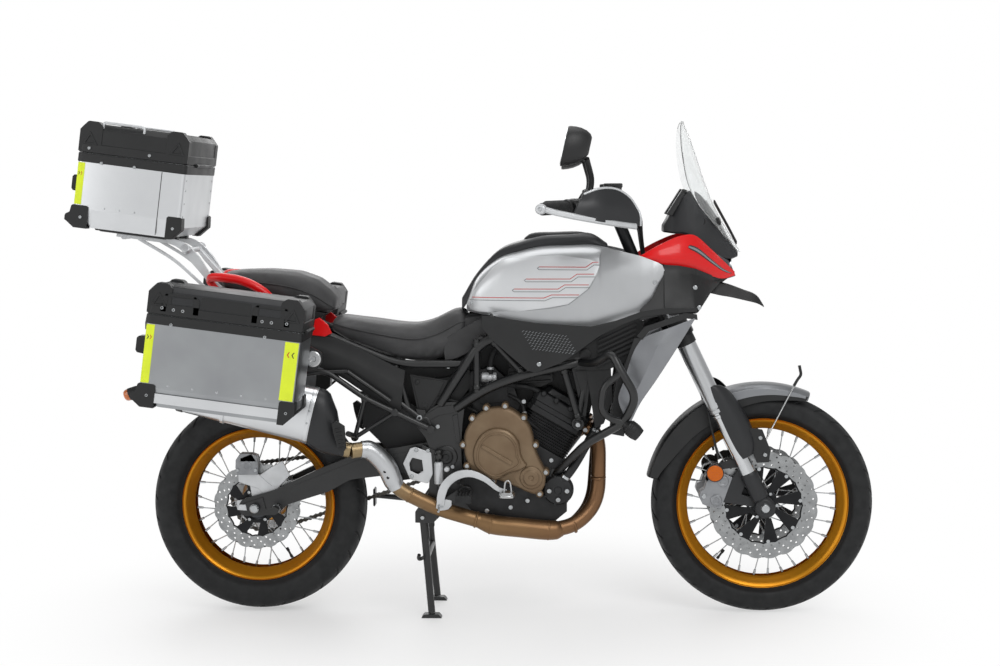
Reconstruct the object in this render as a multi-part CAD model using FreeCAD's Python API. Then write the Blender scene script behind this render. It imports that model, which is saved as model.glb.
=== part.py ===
import FreeCAD
import Part
import math
import os

Vec = FreeCAD.Vector

# Adventure motorcycle, in millimetres.
# +X points ahead, +Y to the rider's left and +Z up. The origin is on the floor, under the middle of
# its length.
# It stands upright on its centre stand, with the front wheel on the floor.

# Wheels and wheelbase
rear_axle_x = -648.0
wheelbase = 1505.0
front_tyre_od = 659.0
front_tyre_section = 86.0
front_tyre_width = 110.0
rear_tyre_od = 642.0
rear_tyre_section = 102.5
rear_tyre_width = 150.0
front_rim_width = 80.0
rear_rim_width = 116.0
rim_depth = 21.0
flange_height = 12.0
bead_gap = 0.3
rear_wheel_lift = 5.0
wheel_sides = 60

# Hubs, spokes and brake discs
front_hub_r = 32.0
rear_hub_r = 42.0
hub_flange = 13.0
hub_sides = 24
spoke_r = 2.6
spokes_per_side = 16
axle_r = 11.0
running_gap = 0.4
front_disc_r = 160.0
rear_disc_r = 130.0
disc_ring = 34.0
disc_thickness = 5.0
front_disc_out = 30.0
rear_disc_out = 20.0
caliper_gap = 5.5

# Steering and fork
rake_deg = 25.5
fork_offset = 32.0
fork_tube_r = 27.0
fork_wall = 3.5
fork_tyre_gap = 23.0
axle_to_clamp = 492.5
clamp_thickness = 28.0
lower_clamp_gap = 12.0
upper_clamp_gap = 4.0
head_length = 138.0
head_tube_r = 27.0
stem_r = 14.0
bar_r = 12.0
grip_r = 17.5

# Chain drive
chain_pitch = 15.875
chain_half_width = 9.0
chain_tyre_gap = 17.0
rear_teeth = 42
front_teeth = 15
sprocket_thickness = 6.0
sprocket_ahead = 77.0
sprocket_drop = 6.0

# Frame and swingarm
tube_r = 14.0
brace_r = 11.0
rail_r = 11.0
tube_sides = 8
frame_half_width = 148.0
pivot_x = -79.0
pivot_z = 480.0
pivot_pin_r = 14.0
plate_thickness = 12.0
arm_thickness = 26.0
arm_tyre_gap = 13.0
arm_chain_gap = 7.0
arm_plate_gap = 4.0
rail_y = 112.0

# Engine
case_half = 118.0
cylinder_half = 108.0
cylinder_lean_deg = 30.0

# Stands
stand_pivot_x = -150.0
stand_pivot_z = 300.0
stand_pin_r = 8.0
stand_foot_x = -125.0
stand_half_width = 118.0
stand_tube_r = 11.0
foot_length = 60.0
foot_width = 34.0
foot_height = 9.0
side_stand_x = -40.0
side_stand_y = 170.0
side_stand_z = 292.0
side_stand_length = 280.0
side_stand_pin_r = 6.0

# Luggage
box_wall = 3.0
box_pitch_deg = 7.5
box_chamfer = 50.0
pannier_length = 430.0
pannier_height = 255.0
pannier_width = 220.0
pannier_rail_gap = 0.3
lid_height = 80.0
lid_gap = 0.5
top_box_length = 315.0
top_box_height = 214.0
top_box_width = 430.0
hinge_r = 5.5
lid_edge = 14.0
corner_rise = 8.0
lamp_r = 23.0

NODES = {}

# Places that follow from the sizes
front_axle = Vec(rear_axle_x + wheelbase, 0, front_tyre_od / 2.0)
rear_axle = Vec(rear_axle_x, 0, rear_tyre_od / 2.0 + rear_wheel_lift)
pivot = Vec(pivot_x, 0, pivot_z)
sprocket_centre = pivot + Vec(sprocket_ahead, 0, -sprocket_drop)
front_bead_r = front_tyre_od / 2.0 - front_tyre_section
rear_bead_r = rear_tyre_od / 2.0 - rear_tyre_section
front_disc_y = front_rim_width / 2.0 + front_disc_out
rear_disc_y = rear_rim_width / 2.0 + rear_disc_out
front_hub_half = front_disc_y + disc_thickness / 2.0
rear_hub_half = rear_disc_y + disc_thickness / 2.0
chain_y = rear_tyre_width / 2.0 + chain_tyre_gap
left_arm_y = chain_y + chain_half_width + arm_chain_gap
right_arm_y = rear_tyre_width / 2.0 + arm_tyre_gap
plate_y = left_arm_y + arm_plate_gap
plate_outer_y = plate_y + plate_thickness
fork_y = front_tyre_width / 2.0 + fork_tyre_gap + fork_tube_r
stanchion_r = fork_tube_r - fork_wall
lower_clamp_z = front_axle.z + axle_to_clamp
head_low_z = lower_clamp_z + clamp_thickness + lower_clamp_gap
head_high_z = head_low_z + head_length
upper_clamp_z = head_high_z + upper_clamp_gap
rake_tan = math.tan(math.radians(rake_deg))
steer_up = Vec(-math.sin(math.radians(rake_deg)), 0, math.cos(math.radians(rake_deg)))
steer_out = Vec(math.cos(math.radians(rake_deg)), 0, math.sin(math.radians(rake_deg)))
stand_pivot = Vec(stand_pivot_x, 0, stand_pivot_z)
side_stand_pivot = Vec(side_stand_x, side_stand_y, side_stand_z)
cylinder_lean = Vec(math.sin(math.radians(cylinder_lean_deg)), 0, math.cos(math.radians(cylinder_lean_deg)))


# Places on the motorcycle

def steer_point(z, ahead=0.0, y=0.0):
    """A point at a height on the steering axis, moved ahead square to it."""
    x = front_axle.x - fork_offset / math.cos(math.radians(rake_deg)) - (z - front_axle.z) * rake_tan
    return Vec(x, y, z) + steer_out * ahead


def fork_point(z, y=0.0):
    return Vec(front_axle.x - (z - front_axle.z) * rake_tan, y, z)


def body_x(x):
    """Where an X of the body's outlines lies: it stretches from the swingarm pivot to the steering head.

    The outlines are drawn with the pivot at -79 and the head 646.556 ahead of it.
    """
    drawn_pivot = -79.0
    drawn_reach = 646.556
    way = x - drawn_pivot
    reach = steer_point(head_low_z).x - pivot_x
    if way <= 0.0:
        return pivot_x + way
    if way < drawn_reach:
        return pivot_x + way * reach / drawn_reach
    return pivot_x + reach + way - drawn_reach


def at(x, y, z):
    return Vec(body_x(x), y, z)


def bar_at(x, y, z):
    """A point that turns with the handlebar, measured from the steering axis at the upper clamp."""
    return steer_point(upper_clamp_z) + Vec(x, y, z)


def arm_at(share, y, up):
    """A point on the swingarm: a share of the way from its pivot to the axle, and a height over that line."""
    way = rear_axle - pivot
    along = Vec(way).normalize()
    return pivot + way * share + Vec(along.z, 0, -along.x) * up + Vec(0, y, 0)


# Shapes

def flat_face(corners):
    return Part.Face(Part.makePolygon(corners + corners[:1]))


def patch(a, b, c, d):
    """One flat face on four corners, or two where they don't lie in a plane. Corners may meet."""
    corners = []
    for p in (a, b, c, d):
        if not any(p.distanceToPoint(q) < 1e-6 for q in corners):
            corners.append(p)
    if len(corners) < 3:
        return []
    if len(corners) == 3:
        return [flat_face(corners)]
    normal = (c - a).cross(d - b).normalize()
    if abs((b - a).dot(normal)) < 1e-7:
        return [flat_face(corners)]
    return [flat_face([a, b, c]), flat_face([a, c, d])]


def closed_solid(faces):
    shell = Part.makeShell(faces)
    shell.sewShape()
    solid = Part.makeSolid(shell)
    if solid.Volume < 0:
        solid.reverse()
    return solid


def skin(sections, closed=False):
    """A solid through outlines of equal count. A closed one runs back to its first outline."""
    pairs = list(zip(sections, sections[1:]))
    if closed:
        pairs.append((sections[-1], sections[0]))
    faces = []
    for near, far in pairs:
        for k in range(len(near)):
            after = (k + 1) % len(near)
            faces.extend(patch(near[k], near[after], far[after], far[k]))
    if not closed:
        faces.append(flat_face(sections[0]))
        faces.append(flat_face(sections[-1]))
    return closed_solid(faces)


def panel(rows, shift):
    """A sheet of even thickness on a grid of points: the grid, the same grid moved, and the four edges."""
    back = [[p + shift for p in row] for row in rows]
    faces = []
    for grid in (rows, back):
        for near, far in zip(grid, grid[1:]):
            for k in range(len(near) - 1):
                faces.extend(patch(near[k], near[k + 1], far[k + 1], far[k]))
    edges = [(rows[0], back[0]), (rows[-1], back[-1])]
    edges.append(([row[0] for row in rows], [row[0] for row in back]))
    edges.append(([row[-1] for row in rows], [row[-1] for row in back]))
    for front_edge, back_edge in edges:
        for k in range(len(front_edge) - 1):
            faces.extend(patch(front_edge[k], front_edge[k + 1], back_edge[k + 1], back_edge[k]))
    return closed_solid(faces)


def prism(corners, way):
    return flat_face(corners).extrude(way)


def side_plate(points, y_low, y_high):
    """A flat piece of the body: an outline in X and Z, carried along Y."""
    return prism([at(x, y_low, z) for x, z in points], Vec(0, y_high - y_low, 0))


def side_plates(points, y_inner, y_outer):
    """The same flat piece on the left and on the right."""
    return [side_plate(points, y_inner, y_outer), side_plate(points, -y_outer, -y_inner)]


def block(x0, x1, y0, y1, z0, z1):
    return Part.makeBox(x1 - x0, y1 - y0, z1 - z0, Vec(x0, y0, z0))


def rod(start, end, radius):
    """A true cylinder, for pins, bores and tubes that slide."""
    return Part.makeCylinder(radius, (end - start).Length, start, end - start)


def cross_rod(spot, y0, y1, radius):
    """A true cylinder along Y."""
    low, high = sorted((y0, y1))
    return rod(Vec(spot.x, low, spot.z), Vec(spot.x, high, spot.z), radius)


def section_at(spot, direction, radius, sides):
    """A regular outline about a point, square to a direction."""
    first = direction.cross(Vec(0, 1, 0))
    if first.Length < 0.1:
        first = direction.cross(Vec(1, 0, 0))
    first = first.normalize()
    second = direction.cross(first).normalize()
    outline = []
    for k in range(sides):
        angle = 2.0 * math.pi * (k + 0.5) / sides
        outline.append(spot + first * (radius * math.cos(angle)) + second * (radius * math.sin(angle)))
    return outline


def spun(start, end, profile, sides):
    """A turned piece on a line: its profile gives a way from the start and a radius."""
    direction = (end - start).normalize()
    return skin([section_at(start + direction * way, direction, r, sides) for way, r in profile])


def ring(profile, centre, sides):
    """A turned piece about an axle along Y, whose profile gives a radius and a Y. One corner points down."""
    sections = []
    for k in range(sides):
        angle = -math.pi / 2.0 + 2.0 * math.pi * k / sides
        out = Vec(math.cos(angle), 0, math.sin(angle))
        sections.append([centre + out * r + Vec(0, y, 0) for r, y in profile])
    return skin(sections, closed=True)


def rounded_path(points, bend):
    """Straight runs whose corners are replaced by chords of an arc."""
    path = [points[0]]
    for before, corner, after in zip(points, points[1:], points[2:]):
        first = (before - corner).normalize()
        second = (after - corner).normalize()
        half = first.getAngle(second) / 2.0
        reach = bend / math.tan(half)
        near = corner + first * reach
        far = corner + second * reach
        centre = corner + (first + second).normalize() * (bend / math.sin(half))
        turn = math.pi - 2.0 * half
        chords = max(1, int(math.ceil(math.degrees(turn) / 30.0)))
        for k in range(chords + 1):
            share = k / chords
            a = math.sin((1.0 - share) * turn) / math.sin(turn)
            b = math.sin(share * turn) / math.sin(turn)
            path.append(centre + (near - centre) * a + (far - centre) * b)
    path.append(points[-1])
    return path


def pipe(points, radius, bend=0.0, sides=tube_sides):
    """A bent tube of flat facets, mitred where two runs meet."""
    path = rounded_path(points, bend) if bend else points
    direction = (path[1] - path[0]).normalize()
    outline = section_at(path[0], direction, radius, sides)
    sections = [outline]
    for k in range(1, len(path)):
        direction = (path[k] - path[k - 1]).normalize()
        normal = direction
        if k < len(path) - 1:
            normal = direction + (path[k + 1] - path[k]).normalize()
        moved = []
        for p in sections[-1]:
            moved.append(p + direction * ((path[k] - p).dot(normal) / direction.dot(normal)))
        sections.append(moved)
    return skin(sections)


def side_loop(points, radius, sides=tube_sides):
    """A closed tube whose middle line lies in one plane square to Y, mitred at its corners."""
    sections = []
    for k, corner in enumerate(points):
        first = (corner - points[k - 1]).normalize()
        second = (points[(k + 1) % len(points)] - corner).normalize()
        out = (first + second).normalize().cross(Vec(0, 1, 0))
        reach = radius / math.cos(first.getAngle(second) / 2.0)
        outline = []
        for j in range(sides):
            angle = 2.0 * math.pi * (j + 0.5) / sides
            outline.append(corner + out * (reach * math.cos(angle)) + Vec(0, radius * math.sin(angle), 0))
        sections.append(outline)
    return skin(sections, closed=True)


def mirrored(shape):
    return shape.mirror(Vec(0, 0, 0), Vec(0, 1, 0))


def both(shapes):
    return shapes + [mirrored(s) for s in shapes]


def joined(shapes):
    result = shapes[0].multiFuse(shapes[1:]) if len(shapes) > 1 else shapes[0]
    return result.removeSplitter()


def largest(shape, count=1):
    return sorted(shape.Solids, key=lambda s: -s.Volume)[:count]


def node(name, shapes):
    """Keep the solids of one piece under its name."""
    solids = []
    for shape in shapes:
        solids.extend(shape.Solids)
    NODES[name] = solids


def solid_of(*names):
    return Part.makeCompound([s for name in names for s in NODES[name]])


# Wheels

def tyre(centre, outer_r, bead_r, half_width, bead_half):
    """A closed tyre: bead, sidewall, shoulder and crown."""
    section = outer_r - bead_r
    edge = (bead_r + flange_height + 2.0, bead_half + 1.0)
    wide = (bead_r + 0.48 * section, half_width)
    shoulder = (bead_r + 0.80 * section, 0.88 * half_width)
    crown = (outer_r, 0.34 * half_width)
    half = [(bead_r, bead_half), edge, wide, shoulder, crown]
    profile = [(r, -y) for r, y in half] + [(r, y) for r, y in reversed(half)]
    return ring(profile, centre, wheel_sides)


def rim(centre, bead_r, width):
    """A rim: two flanges, a bead seat between them and a flat bed."""
    half = width / 2.0
    seat_r = bead_r - bead_gap
    flange_r = bead_r + flange_height
    edge = [(bead_r - rim_depth, 0.45 * half), (flange_r - 6.0, half), (flange_r, half),
            (seat_r, half - 5.0)]
    profile = [(r, -y) for r, y in edge] + [(r, y) for r, y in reversed(edge)]
    return ring(profile, centre, wheel_sides)


def spoke(start, end):
    """A three-sided wire from a hub flange to the rim."""
    direction = (end - start).normalize()
    side = direction.cross(Vec(0, 1, 0)).normalize()
    corners = []
    for k in range(3):
        turn = 2.0 * math.pi * k / 3.0
        corners.append(start + side * (spoke_r * math.cos(turn)) + Vec(0, 1, 0) * (spoke_r * math.sin(turn)))
    return prism(corners, end - start)


def laced_hub(centre, flange_y, body_r, half_width, rim_inner_r):
    """A hub with two flanges, and crossed spokes from each flange to the rim."""
    flange_r = body_r + hub_flange
    bore = axle_r + running_gap
    half = [(bore, half_width), (body_r, half_width), (body_r, flange_y + 5.0), (flange_r, flange_y + 3.0),
            (flange_r, flange_y - 3.0), (body_r, flange_y - 8.0)]
    profile = [(r, -y) for r, y in half] + [(r, y) for r, y in reversed(half)]
    shapes = [ring(profile, centre, hub_sides)]
    for side in (-1, 1):
        for k in range(spokes_per_side):
            hub_angle = 2.0 * math.pi * (k + 0.25 * side) / spokes_per_side
            lean = 1 if k % 2 else -1
            rim_angle = hub_angle + lean * math.radians(34.0)
            hub_out = Vec(math.cos(hub_angle), 0, math.sin(hub_angle)) * (flange_r - 5.0)
            rim_out = Vec(math.cos(rim_angle), 0, math.sin(rim_angle)) * (rim_inner_r - 0.5)
            start = centre + hub_out + Vec(0, side * flange_y + lean * 1.5, 0)
            shapes.append(spoke(start, centre + rim_out + Vec(0, side * 7.0, 0)))
    return shapes[0].multiFuse(shapes[1:])


def circle_points(centre, radius, sides, phase=0.0):
    points = []
    for k in range(sides):
        angle = -math.pi / 2.0 + 2.0 * math.pi * (k + phase) / sides
        points.append(centre + Vec(radius * math.cos(angle), 0, radius * math.sin(angle)))
    return points


def brake_disc(centre, outer_r, y, hub_r, windows):
    """A wavy disc with windows between its ring and its carrier."""
    low = centre + Vec(0, y - disc_thickness / 2.0, 0)
    outline = []
    for k, p in enumerate(circle_points(low, outer_r, 4 * windows)):
        outline.append(p if k % 4 < 2 else low + (p - low) * (1.0 - 5.0 / outer_r))
    wires = [Part.makePolygon(outline + outline[:1])]
    bore = circle_points(low, hub_r + running_gap, hub_sides)
    wires.append(Part.makePolygon(bore + bore[:1]))
    inner_r = hub_r + 14.0
    ring_r = outer_r - disc_ring
    step = 2.0 * math.pi / windows
    for k in range(windows):
        angle = k * step
        window = []
        for r, lean in ((inner_r, 0.18), (ring_r, 0.05), (ring_r, 0.50), (ring_r, 0.90), (inner_r, 0.72)):
            turn = angle + lean * step
            window.append(low + Vec(r * math.cos(turn), 0, r * math.sin(turn)))
        wires.append(Part.makePolygon(window + window[:1]))
    face = Part.Face(wires, "Part::FaceMakerBullseye")
    return face.extrude(Vec(0, disc_thickness, 0))


def make_wheels():
    front_r = front_tyre_od / 2.0
    rear_r = rear_tyre_od / 2.0
    bead_inset = 5.5
    front_bead_half = front_rim_width / 2.0 - bead_inset
    rear_bead_half = rear_rim_width / 2.0 - bead_inset
    node("front_tyre", [tyre(front_axle, front_r, front_bead_r, front_tyre_width / 2.0, front_bead_half)])
    node("rear_tyre", [tyre(rear_axle, rear_r, rear_bead_r, rear_tyre_width / 2.0, rear_bead_half)])
    node("front_rim", [rim(front_axle, front_bead_r, front_rim_width)])
    node("rear_rim", [rim(rear_axle, rear_bead_r, rear_rim_width)])
    node("front_hub", [laced_hub(front_axle, 30.0, front_hub_r, front_hub_half, front_bead_r - rim_depth)])
    hub = laced_hub(rear_axle, 38.0, rear_hub_r, rear_hub_half, rear_bead_r - rim_depth)
    node("rear_hub", [hub.fuse(rear_sprocket())])
    discs = [brake_disc(front_axle, front_disc_r, side * front_disc_y, front_hub_r, 8) for side in (-1, 1)]
    node("front_discs", discs)
    node("rear_disc", [brake_disc(rear_axle, rear_disc_r, -rear_disc_y, rear_hub_r, 6)])


# Chain and sprockets

def pitch_radius(teeth):
    return chain_pitch / (2.0 * math.sin(math.pi / teeth))


def toothed_outline(centre, teeth):
    tip = pitch_radius(teeth) - 7.0
    corners = []
    for k in range(teeth):
        for share, r in ((0.0, tip - 6.0), (0.3, tip), (0.5, tip), (0.8, tip - 6.0)):
            angle = 2.0 * math.pi * (k + share) / teeth
            corners.append(centre + Vec(r * math.cos(angle), 0, r * math.sin(angle)))
    return corners


def rear_sprocket():
    """A toothed wheel under the chain, on a carrier from the hub's left face."""
    half = sprocket_thickness / 2.0
    wheel = prism(toothed_outline(rear_axle + Vec(0, chain_y - half, 0), rear_teeth), Vec(0, 2.0 * half, 0))
    bore = axle_r + running_gap
    carrier_r = rear_hub_r + 20.0
    carrier = ring([(bore, rear_hub_half - 6.0), (bore, chain_y), (carrier_r, chain_y),
                    (carrier_r, rear_hub_half)],
                   rear_axle, hub_sides)
    return wheel.fuse(carrier).cut(cross_rod(rear_axle, rear_hub_half - 20.0, chain_y + 20.0, bore))


def chain_pins():
    """Points one pitch apart round both sprockets, each with the direction away from the loop."""
    big = pitch_radius(rear_teeth)
    small = pitch_radius(front_teeth)
    gap = sprocket_centre - rear_axle
    tilt = math.atan2(gap.z, gap.x)
    open_angle = math.acos((big - small) / gap.Length)
    upper = tilt + open_angle
    lower = tilt - open_angle
    big_run = big * (2.0 * math.pi - 2.0 * open_angle)
    small_run = small * 2.0 * open_angle
    straight = math.sqrt(gap.Length ** 2 - (big - small) ** 2)
    total = big_run + small_run + 2.0 * straight
    links = 2 * int(round(total / chain_pitch / 2.0))
    pins = []
    for k in range(links):
        way = k * total / links
        centre, radius, angle, run = rear_axle, big, upper + way / big, 0.0
        if way >= big_run:
            angle, run = lower, way - big_run
        if way >= big_run + straight:
            centre, radius, run = sprocket_centre, small, 0.0
            angle = lower + (way - big_run - straight) / small
        if way >= big_run + straight + small_run:
            angle, run = upper, way - big_run - straight - small_run
        normal = Vec(math.cos(angle), 0, math.sin(angle))
        pins.append((centre + normal * radius + Vec(-normal.z, 0, normal.x) * run, normal))
    return pins


def make_chain():
    """A closed loop of link plates: each link is tall at its pins and waisted between them."""
    pins = chain_pins()
    low = Vec(0, chain_y - chain_half_width, 0)
    outer = []
    inner = []
    for index, (spot, normal) in enumerate(pins):
        after, after_normal = pins[(index + 1) % len(pins)]
        middle = (spot + after) * 0.5 + low
        waist = (normal + after_normal).normalize()
        outer.extend([spot + low + normal * 7.5, middle + waist * 5.0])
        inner.extend([spot + low - normal * 6.0, middle - waist * 4.5])
    face = Part.Face([Part.makePolygon(outer + outer[:1]), Part.makePolygon(inner + inner[:1])],
                     "Part::FaceMakerBullseye")
    node("drive_chain", [face.extrude(Vec(0, 2.0 * chain_half_width, 0))])


# Frame

def pivot_plate_outline():
    x, z = stand_pivot.x, stand_pivot.z
    return [(-167, 572), (-143, 604), (-102, 636), (-55, 643), (-22, 628), (-34, 520), (-30, 440),
            (-60, 340), (x + 30.0, z - 18.0), (x - 22.0, z - 16.0), (x - 22.0, z + 16.0),
            (x + 18.0, z + 74.0), (-126, 480), (-140, 536)]


def make_frame():
    """Trellis frame: bent upper and lower tubes from the head, straight braces and the pivot plates."""
    w = frame_half_width
    plate_mid = plate_y + plate_thickness / 2.0
    upper = [steer_point(head_high_z - 48.0, -14.0, 14.0), at(424, 58, 888), at(300, w, 850),
             at(31, w - 10.0, 832), at(-97, plate_mid, 634)]
    lower = [steer_point(head_low_z + 24.0, -14.0, 14.0), at(424, 62, 800), at(317, w, 762), at(157, w, 727),
             at(47, w - 4.0, 689), at(-50, plate_mid, 622)]
    side = [pipe(upper, tube_r, 60.0), pipe(lower, tube_r, 60.0)]
    braces = [
        (at(13, w - 11.0, 828), at(13, w - 8.0, 672)),
        (at(55, w - 9.0, 830), at(152, w - 1.0, 727)),
        (at(265, w - 1.0, 750), at(312, w, 590)),
        (at(343, w - 26.0, 770), at(303, w, 570)),
        (at(160, w - 1.0, 729), at(268, w - 2.0, 846)),
        (at(60, w - 12.0, 836), at(60, w - 28.0, 902)),
        (at(290, w - 1.0, 850), at(290, w - 16.0, 896)),
    ]
    side += [pipe([start, end], brace_r, sides=6) for start, end in braces]
    side.append(pipe([at(308, cylinder_half + bead_gap, 582), at(308, w + 14.0, 582)], 20.0))
    cheek = side_plate(pivot_plate_outline(), plate_y, plate_outer_y)
    cheek = cheek.cut(cross_rod(pivot, 0, 2.0 * plate_y, pivot_pin_r + running_gap))
    cheek = cheek.cut(cross_rod(stand_pivot, 0, 2.0 * plate_y, stand_pin_r + running_gap))
    side.append(cheek)
    side.append(side_stand_bracket())
    shapes = both(side[:-1]) + side[-1:]
    shapes.append(rod(steer_point(head_low_z), steer_point(head_high_z), head_tube_r))
    shapes.append(pipe([at(26, -w + 11.0, 826), at(26, w - 11.0, 826)], brace_r))
    shapes.append(pipe([at(-90, -plate_y - 5.0, 648), at(-90, plate_y + 5.0, 648)], tube_r))
    frame = shapes[0].multiFuse(shapes[1:])
    stem_hole = rod(steer_point(head_low_z - 40.0), steer_point(head_high_z + 40.0), stem_r + running_gap)
    node("frame", [frame.cut(stem_hole)])


def side_stand_bracket():
    """The side stand's hanger on the left pivot plate, with its pin."""
    x, z = side_stand_pivot.x, side_stand_pivot.z
    pin = cross_rod(side_stand_pivot, side_stand_y - 46.0, side_stand_y + 10.0, side_stand_pin_r)
    ear = prism([Vec(x - 50, plate_y, z + 8), Vec(x - 22, plate_y, z - 17), Vec(x + 22, plate_y, z - 17),
                 Vec(x + 22, plate_y, z + 38), Vec(x + 9, plate_y, z + 52), Vec(x + 4, plate_y, z + 138),
                 Vec(x - 30, plate_y, z + 138)], Vec(0, plate_thickness, 0))
    cheek = block(x - 22, x + 22, plate_outer_y, side_stand_y - 12.0, z - 17, z + 44)
    return ear.multiFuse([cheek, pin])


def make_subframe():
    """Two bent rails and a strut a side, with cross tubes under the seats."""
    upper = [at(-20, rail_y, 753), at(-216, rail_y, 753), at(-470, rail_y, 858), at(-745, rail_y, 945)]
    lower = [at(-146, rail_y + 6.0, 588), at(-334, rail_y, 729), at(-515, rail_y, 872)]
    side = [pipe(upper, rail_r, 60.0), pipe(lower, rail_r - 1.0)]
    side.append(pipe([at(-228, rail_y, 750), at(-190, rail_y + 4.0, 624)], rail_r - 2.0, sides=6))
    shapes = both(side)
    for x, z in ((-236, 762), (-470, 856), (-700, 931)):
        shapes.append(pipe([at(x, -rail_y, z), at(x, rail_y, z)], rail_r - 2.0, sides=6))
    node("subframe", largest(shapes[0].multiFuse(shapes[1:]).cut(solid_of("frame"))))


# Engine

def leaned_block(base, y_half, sections):
    """A block on the leaning cylinder line: ways up the line, each with a half depth."""
    across = Vec(cylinder_lean.z, 0, -cylinder_lean.x)
    front = [base + across * depth + cylinder_lean * up for up, depth in sections]
    back = [base - across * depth + cylinder_lean * up for up, depth in reversed(sections)]
    return prism([p - Vec(0, y_half, 0) for p in front + back], Vec(0, 2.0 * y_half, 0))


def make_engine():
    case = [(-28, 345), (-28, 545), (10, 604), (70, 612), (122.5, 554.5), (269.5, 469.5), (276, 318),
            (240, 288), (20, 288)]
    recess_r = pitch_radius(front_teeth) + 18.0
    recess = block(sprocket_centre.x - 60.0, sprocket_centre.x + recess_r, chain_y - 14.0, case_half + 2.0,
                   sprocket_centre.z - 62.0, sprocket_centre.z + 64.0)
    crank = side_plate(case, -case_half, case_half).cut(recess)
    pump = spun(at(250, -case_half, 384), at(250, -case_half - 30.0, 384), [(0, 44), (22, 44), (30, 36)], 16)
    node("engine_block", [crank.fuse(pump)])
    base = at(196, 0, 512)
    barrel = leaned_block(base, cylinder_half - 10.0, [(0, 85), (80, 85)])
    ribs = [leaned_block(base, cylinder_half - 2.0, [(up, 88), (up + 5.0, 88)]) for up in (16.0, 36.0, 56.0)]
    head = leaned_block(base, cylinder_half, [(80, 92), (142, 92), (146, 70), (166, 62)])
    upper = joined([barrel, head] + ribs).cut(solid_of("engine_block"))
    intake = side_plate([(-12, 660), (8, 598), (68, 606), (110, 562), (140, 628), (118, 690), (60, 742),
                         (-8, 728)],
                        -92, 92)
    node("cylinders", [upper.cut(solid_of("frame")),
                       intake.cut(solid_of("frame", "engine_block")).cut(upper)])
    covers = [clutch_cover(), left_cover(), front_sprocket()]
    node("engine_covers", [s.cut(solid_of("engine_block")) for s in covers])


def levels(outline, middle, steps):
    """A cover whose outline shrinks about a middle as it stands out: each step gives a Y and a scale."""
    cx, cz = middle
    sections = []
    for y, scale in steps:
        sections.append([at(cx + (x - cx) * scale, y, cz + (z - cz) * scale) for x, z in outline])
    return skin(sections)


def clutch_cover():
    """The right cover: a rounded plate round clutch and water pump, with a raised ring on each."""
    outline = [(41, 625), (111, 628), (167, 578), (182, 516), (211, 446), (208, 393), (188, 375), (135, 393),
               (-1, 446), (-24, 499), (-21, 558), (11, 605)]
    face = -case_half
    plate = levels(outline, (92, 500), [(face, 1.0), (face - 34.0, 1.0), (face - 46.0, 0.93)])
    clutch = spun(at(73, face - 40.0, 493), at(73, face - 62.0, 493), [(0, 88), (10, 88), (22, 76)], 28)
    small = spun(at(172, face - 40.0, 425), at(172, face - 58.0, 425), [(0, 30), (14, 30), (18, 26)], 16)
    bar = side_plate([(20, 506), (30, 520), (126, 470), (118, 456)], face - 66.0, face - 56.0)
    return joined([plate, clutch, small, bar])


def left_cover():
    """The generator cover on the left of the crankcase."""
    outline = [(52, 344), (56, 520), (110, 552), (200, 512), (232, 400), (190, 340)]
    plate = levels(outline, (130, 440), [(case_half, 1.0), (case_half + 22.0, 1.0),
                                         (case_half + 30.0, 0.94)])
    dome = spun(at(136, case_half + 24.0, 436), at(136, case_half + 52.0, 436),
                [(0, 76), (18, 76), (28, 62)], 24)
    return joined([plate, dome])


def front_sprocket():
    half = sprocket_thickness / 2.0
    wheel = prism(toothed_outline(sprocket_centre + Vec(0, chain_y - half, 0), front_teeth),
                  Vec(0, 2.0 * half, 0))
    shaft = cross_rod(sprocket_centre, chain_y - 14.0, chain_y + 10.0, 13.0)
    return wheel.fuse(shaft)


def make_radiator():
    """A slanted core between two end tanks, with brackets up to the frame."""
    core = [(404, 560), (436, 552), (462, 742), (430, 752)]
    end_tank = [(398, 556), (442, 548), (468, 746), (424, 757)]
    shapes = [side_plate(core, -150, 150)] + side_plates(end_tank, 150, 178)
    bracket = [(428, 742), (446, 740), (452, 796), (436, 798)]
    shapes += [side_plate(bracket, y - 9.0, y + 9.0) for y in (-62.0, 62.0)]
    node("radiator", [joined(shapes).cut(solid_of("frame"))])


def make_exhaust():
    """Two headers, a collector under the engine and a tail pipe, then an oval can behind."""
    right = [at(331, -60, 562), at(370, -72, 536), at(368, -92, 347), at(306, -124, 280), at(226, -146, 266),
             at(60, -150, 284), at(-103, -152, 332), at(-228, -156, 394), at(-252, -162, 462),
             at(-300, -172, 512), at(-352, -190, 507)]
    left = [at(331, 60, 562), at(368, 48, 530), at(352, -20, 330), at(290, -110, 270), at(226, -146, 266)]
    collector = pipe([at(250, -142, 268), at(226, -146, 266), at(60, -150, 284), at(30, -150, 293)], 28.0)
    pipes = joined([pipe(right, 22.0, 24.0), pipe(left, 19.0, 24.0), collector])
    node("exhaust_pipes", largest(pipes.cut(solid_of("cylinders", "engine_block", "engine_covers"))))
    can = muffler_body(at(-350, -190, 507), at(-850, -196, 705))
    outline = [(-306, 546), (-258, 552), (-212, 506), (-196, 436), (-222, 402), (-258, 470)]
    shield = side_plate(outline, -196, -192)
    standoff = pipe([at(-250, -162, 462), at(-250, -194, 462)], 7.0, sides=6)
    guard = shield.fuse(standoff).cut(solid_of("exhaust_pipes"))
    node("muffler", [can.cut(solid_of("exhaust_pipes")), guard])


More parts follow.
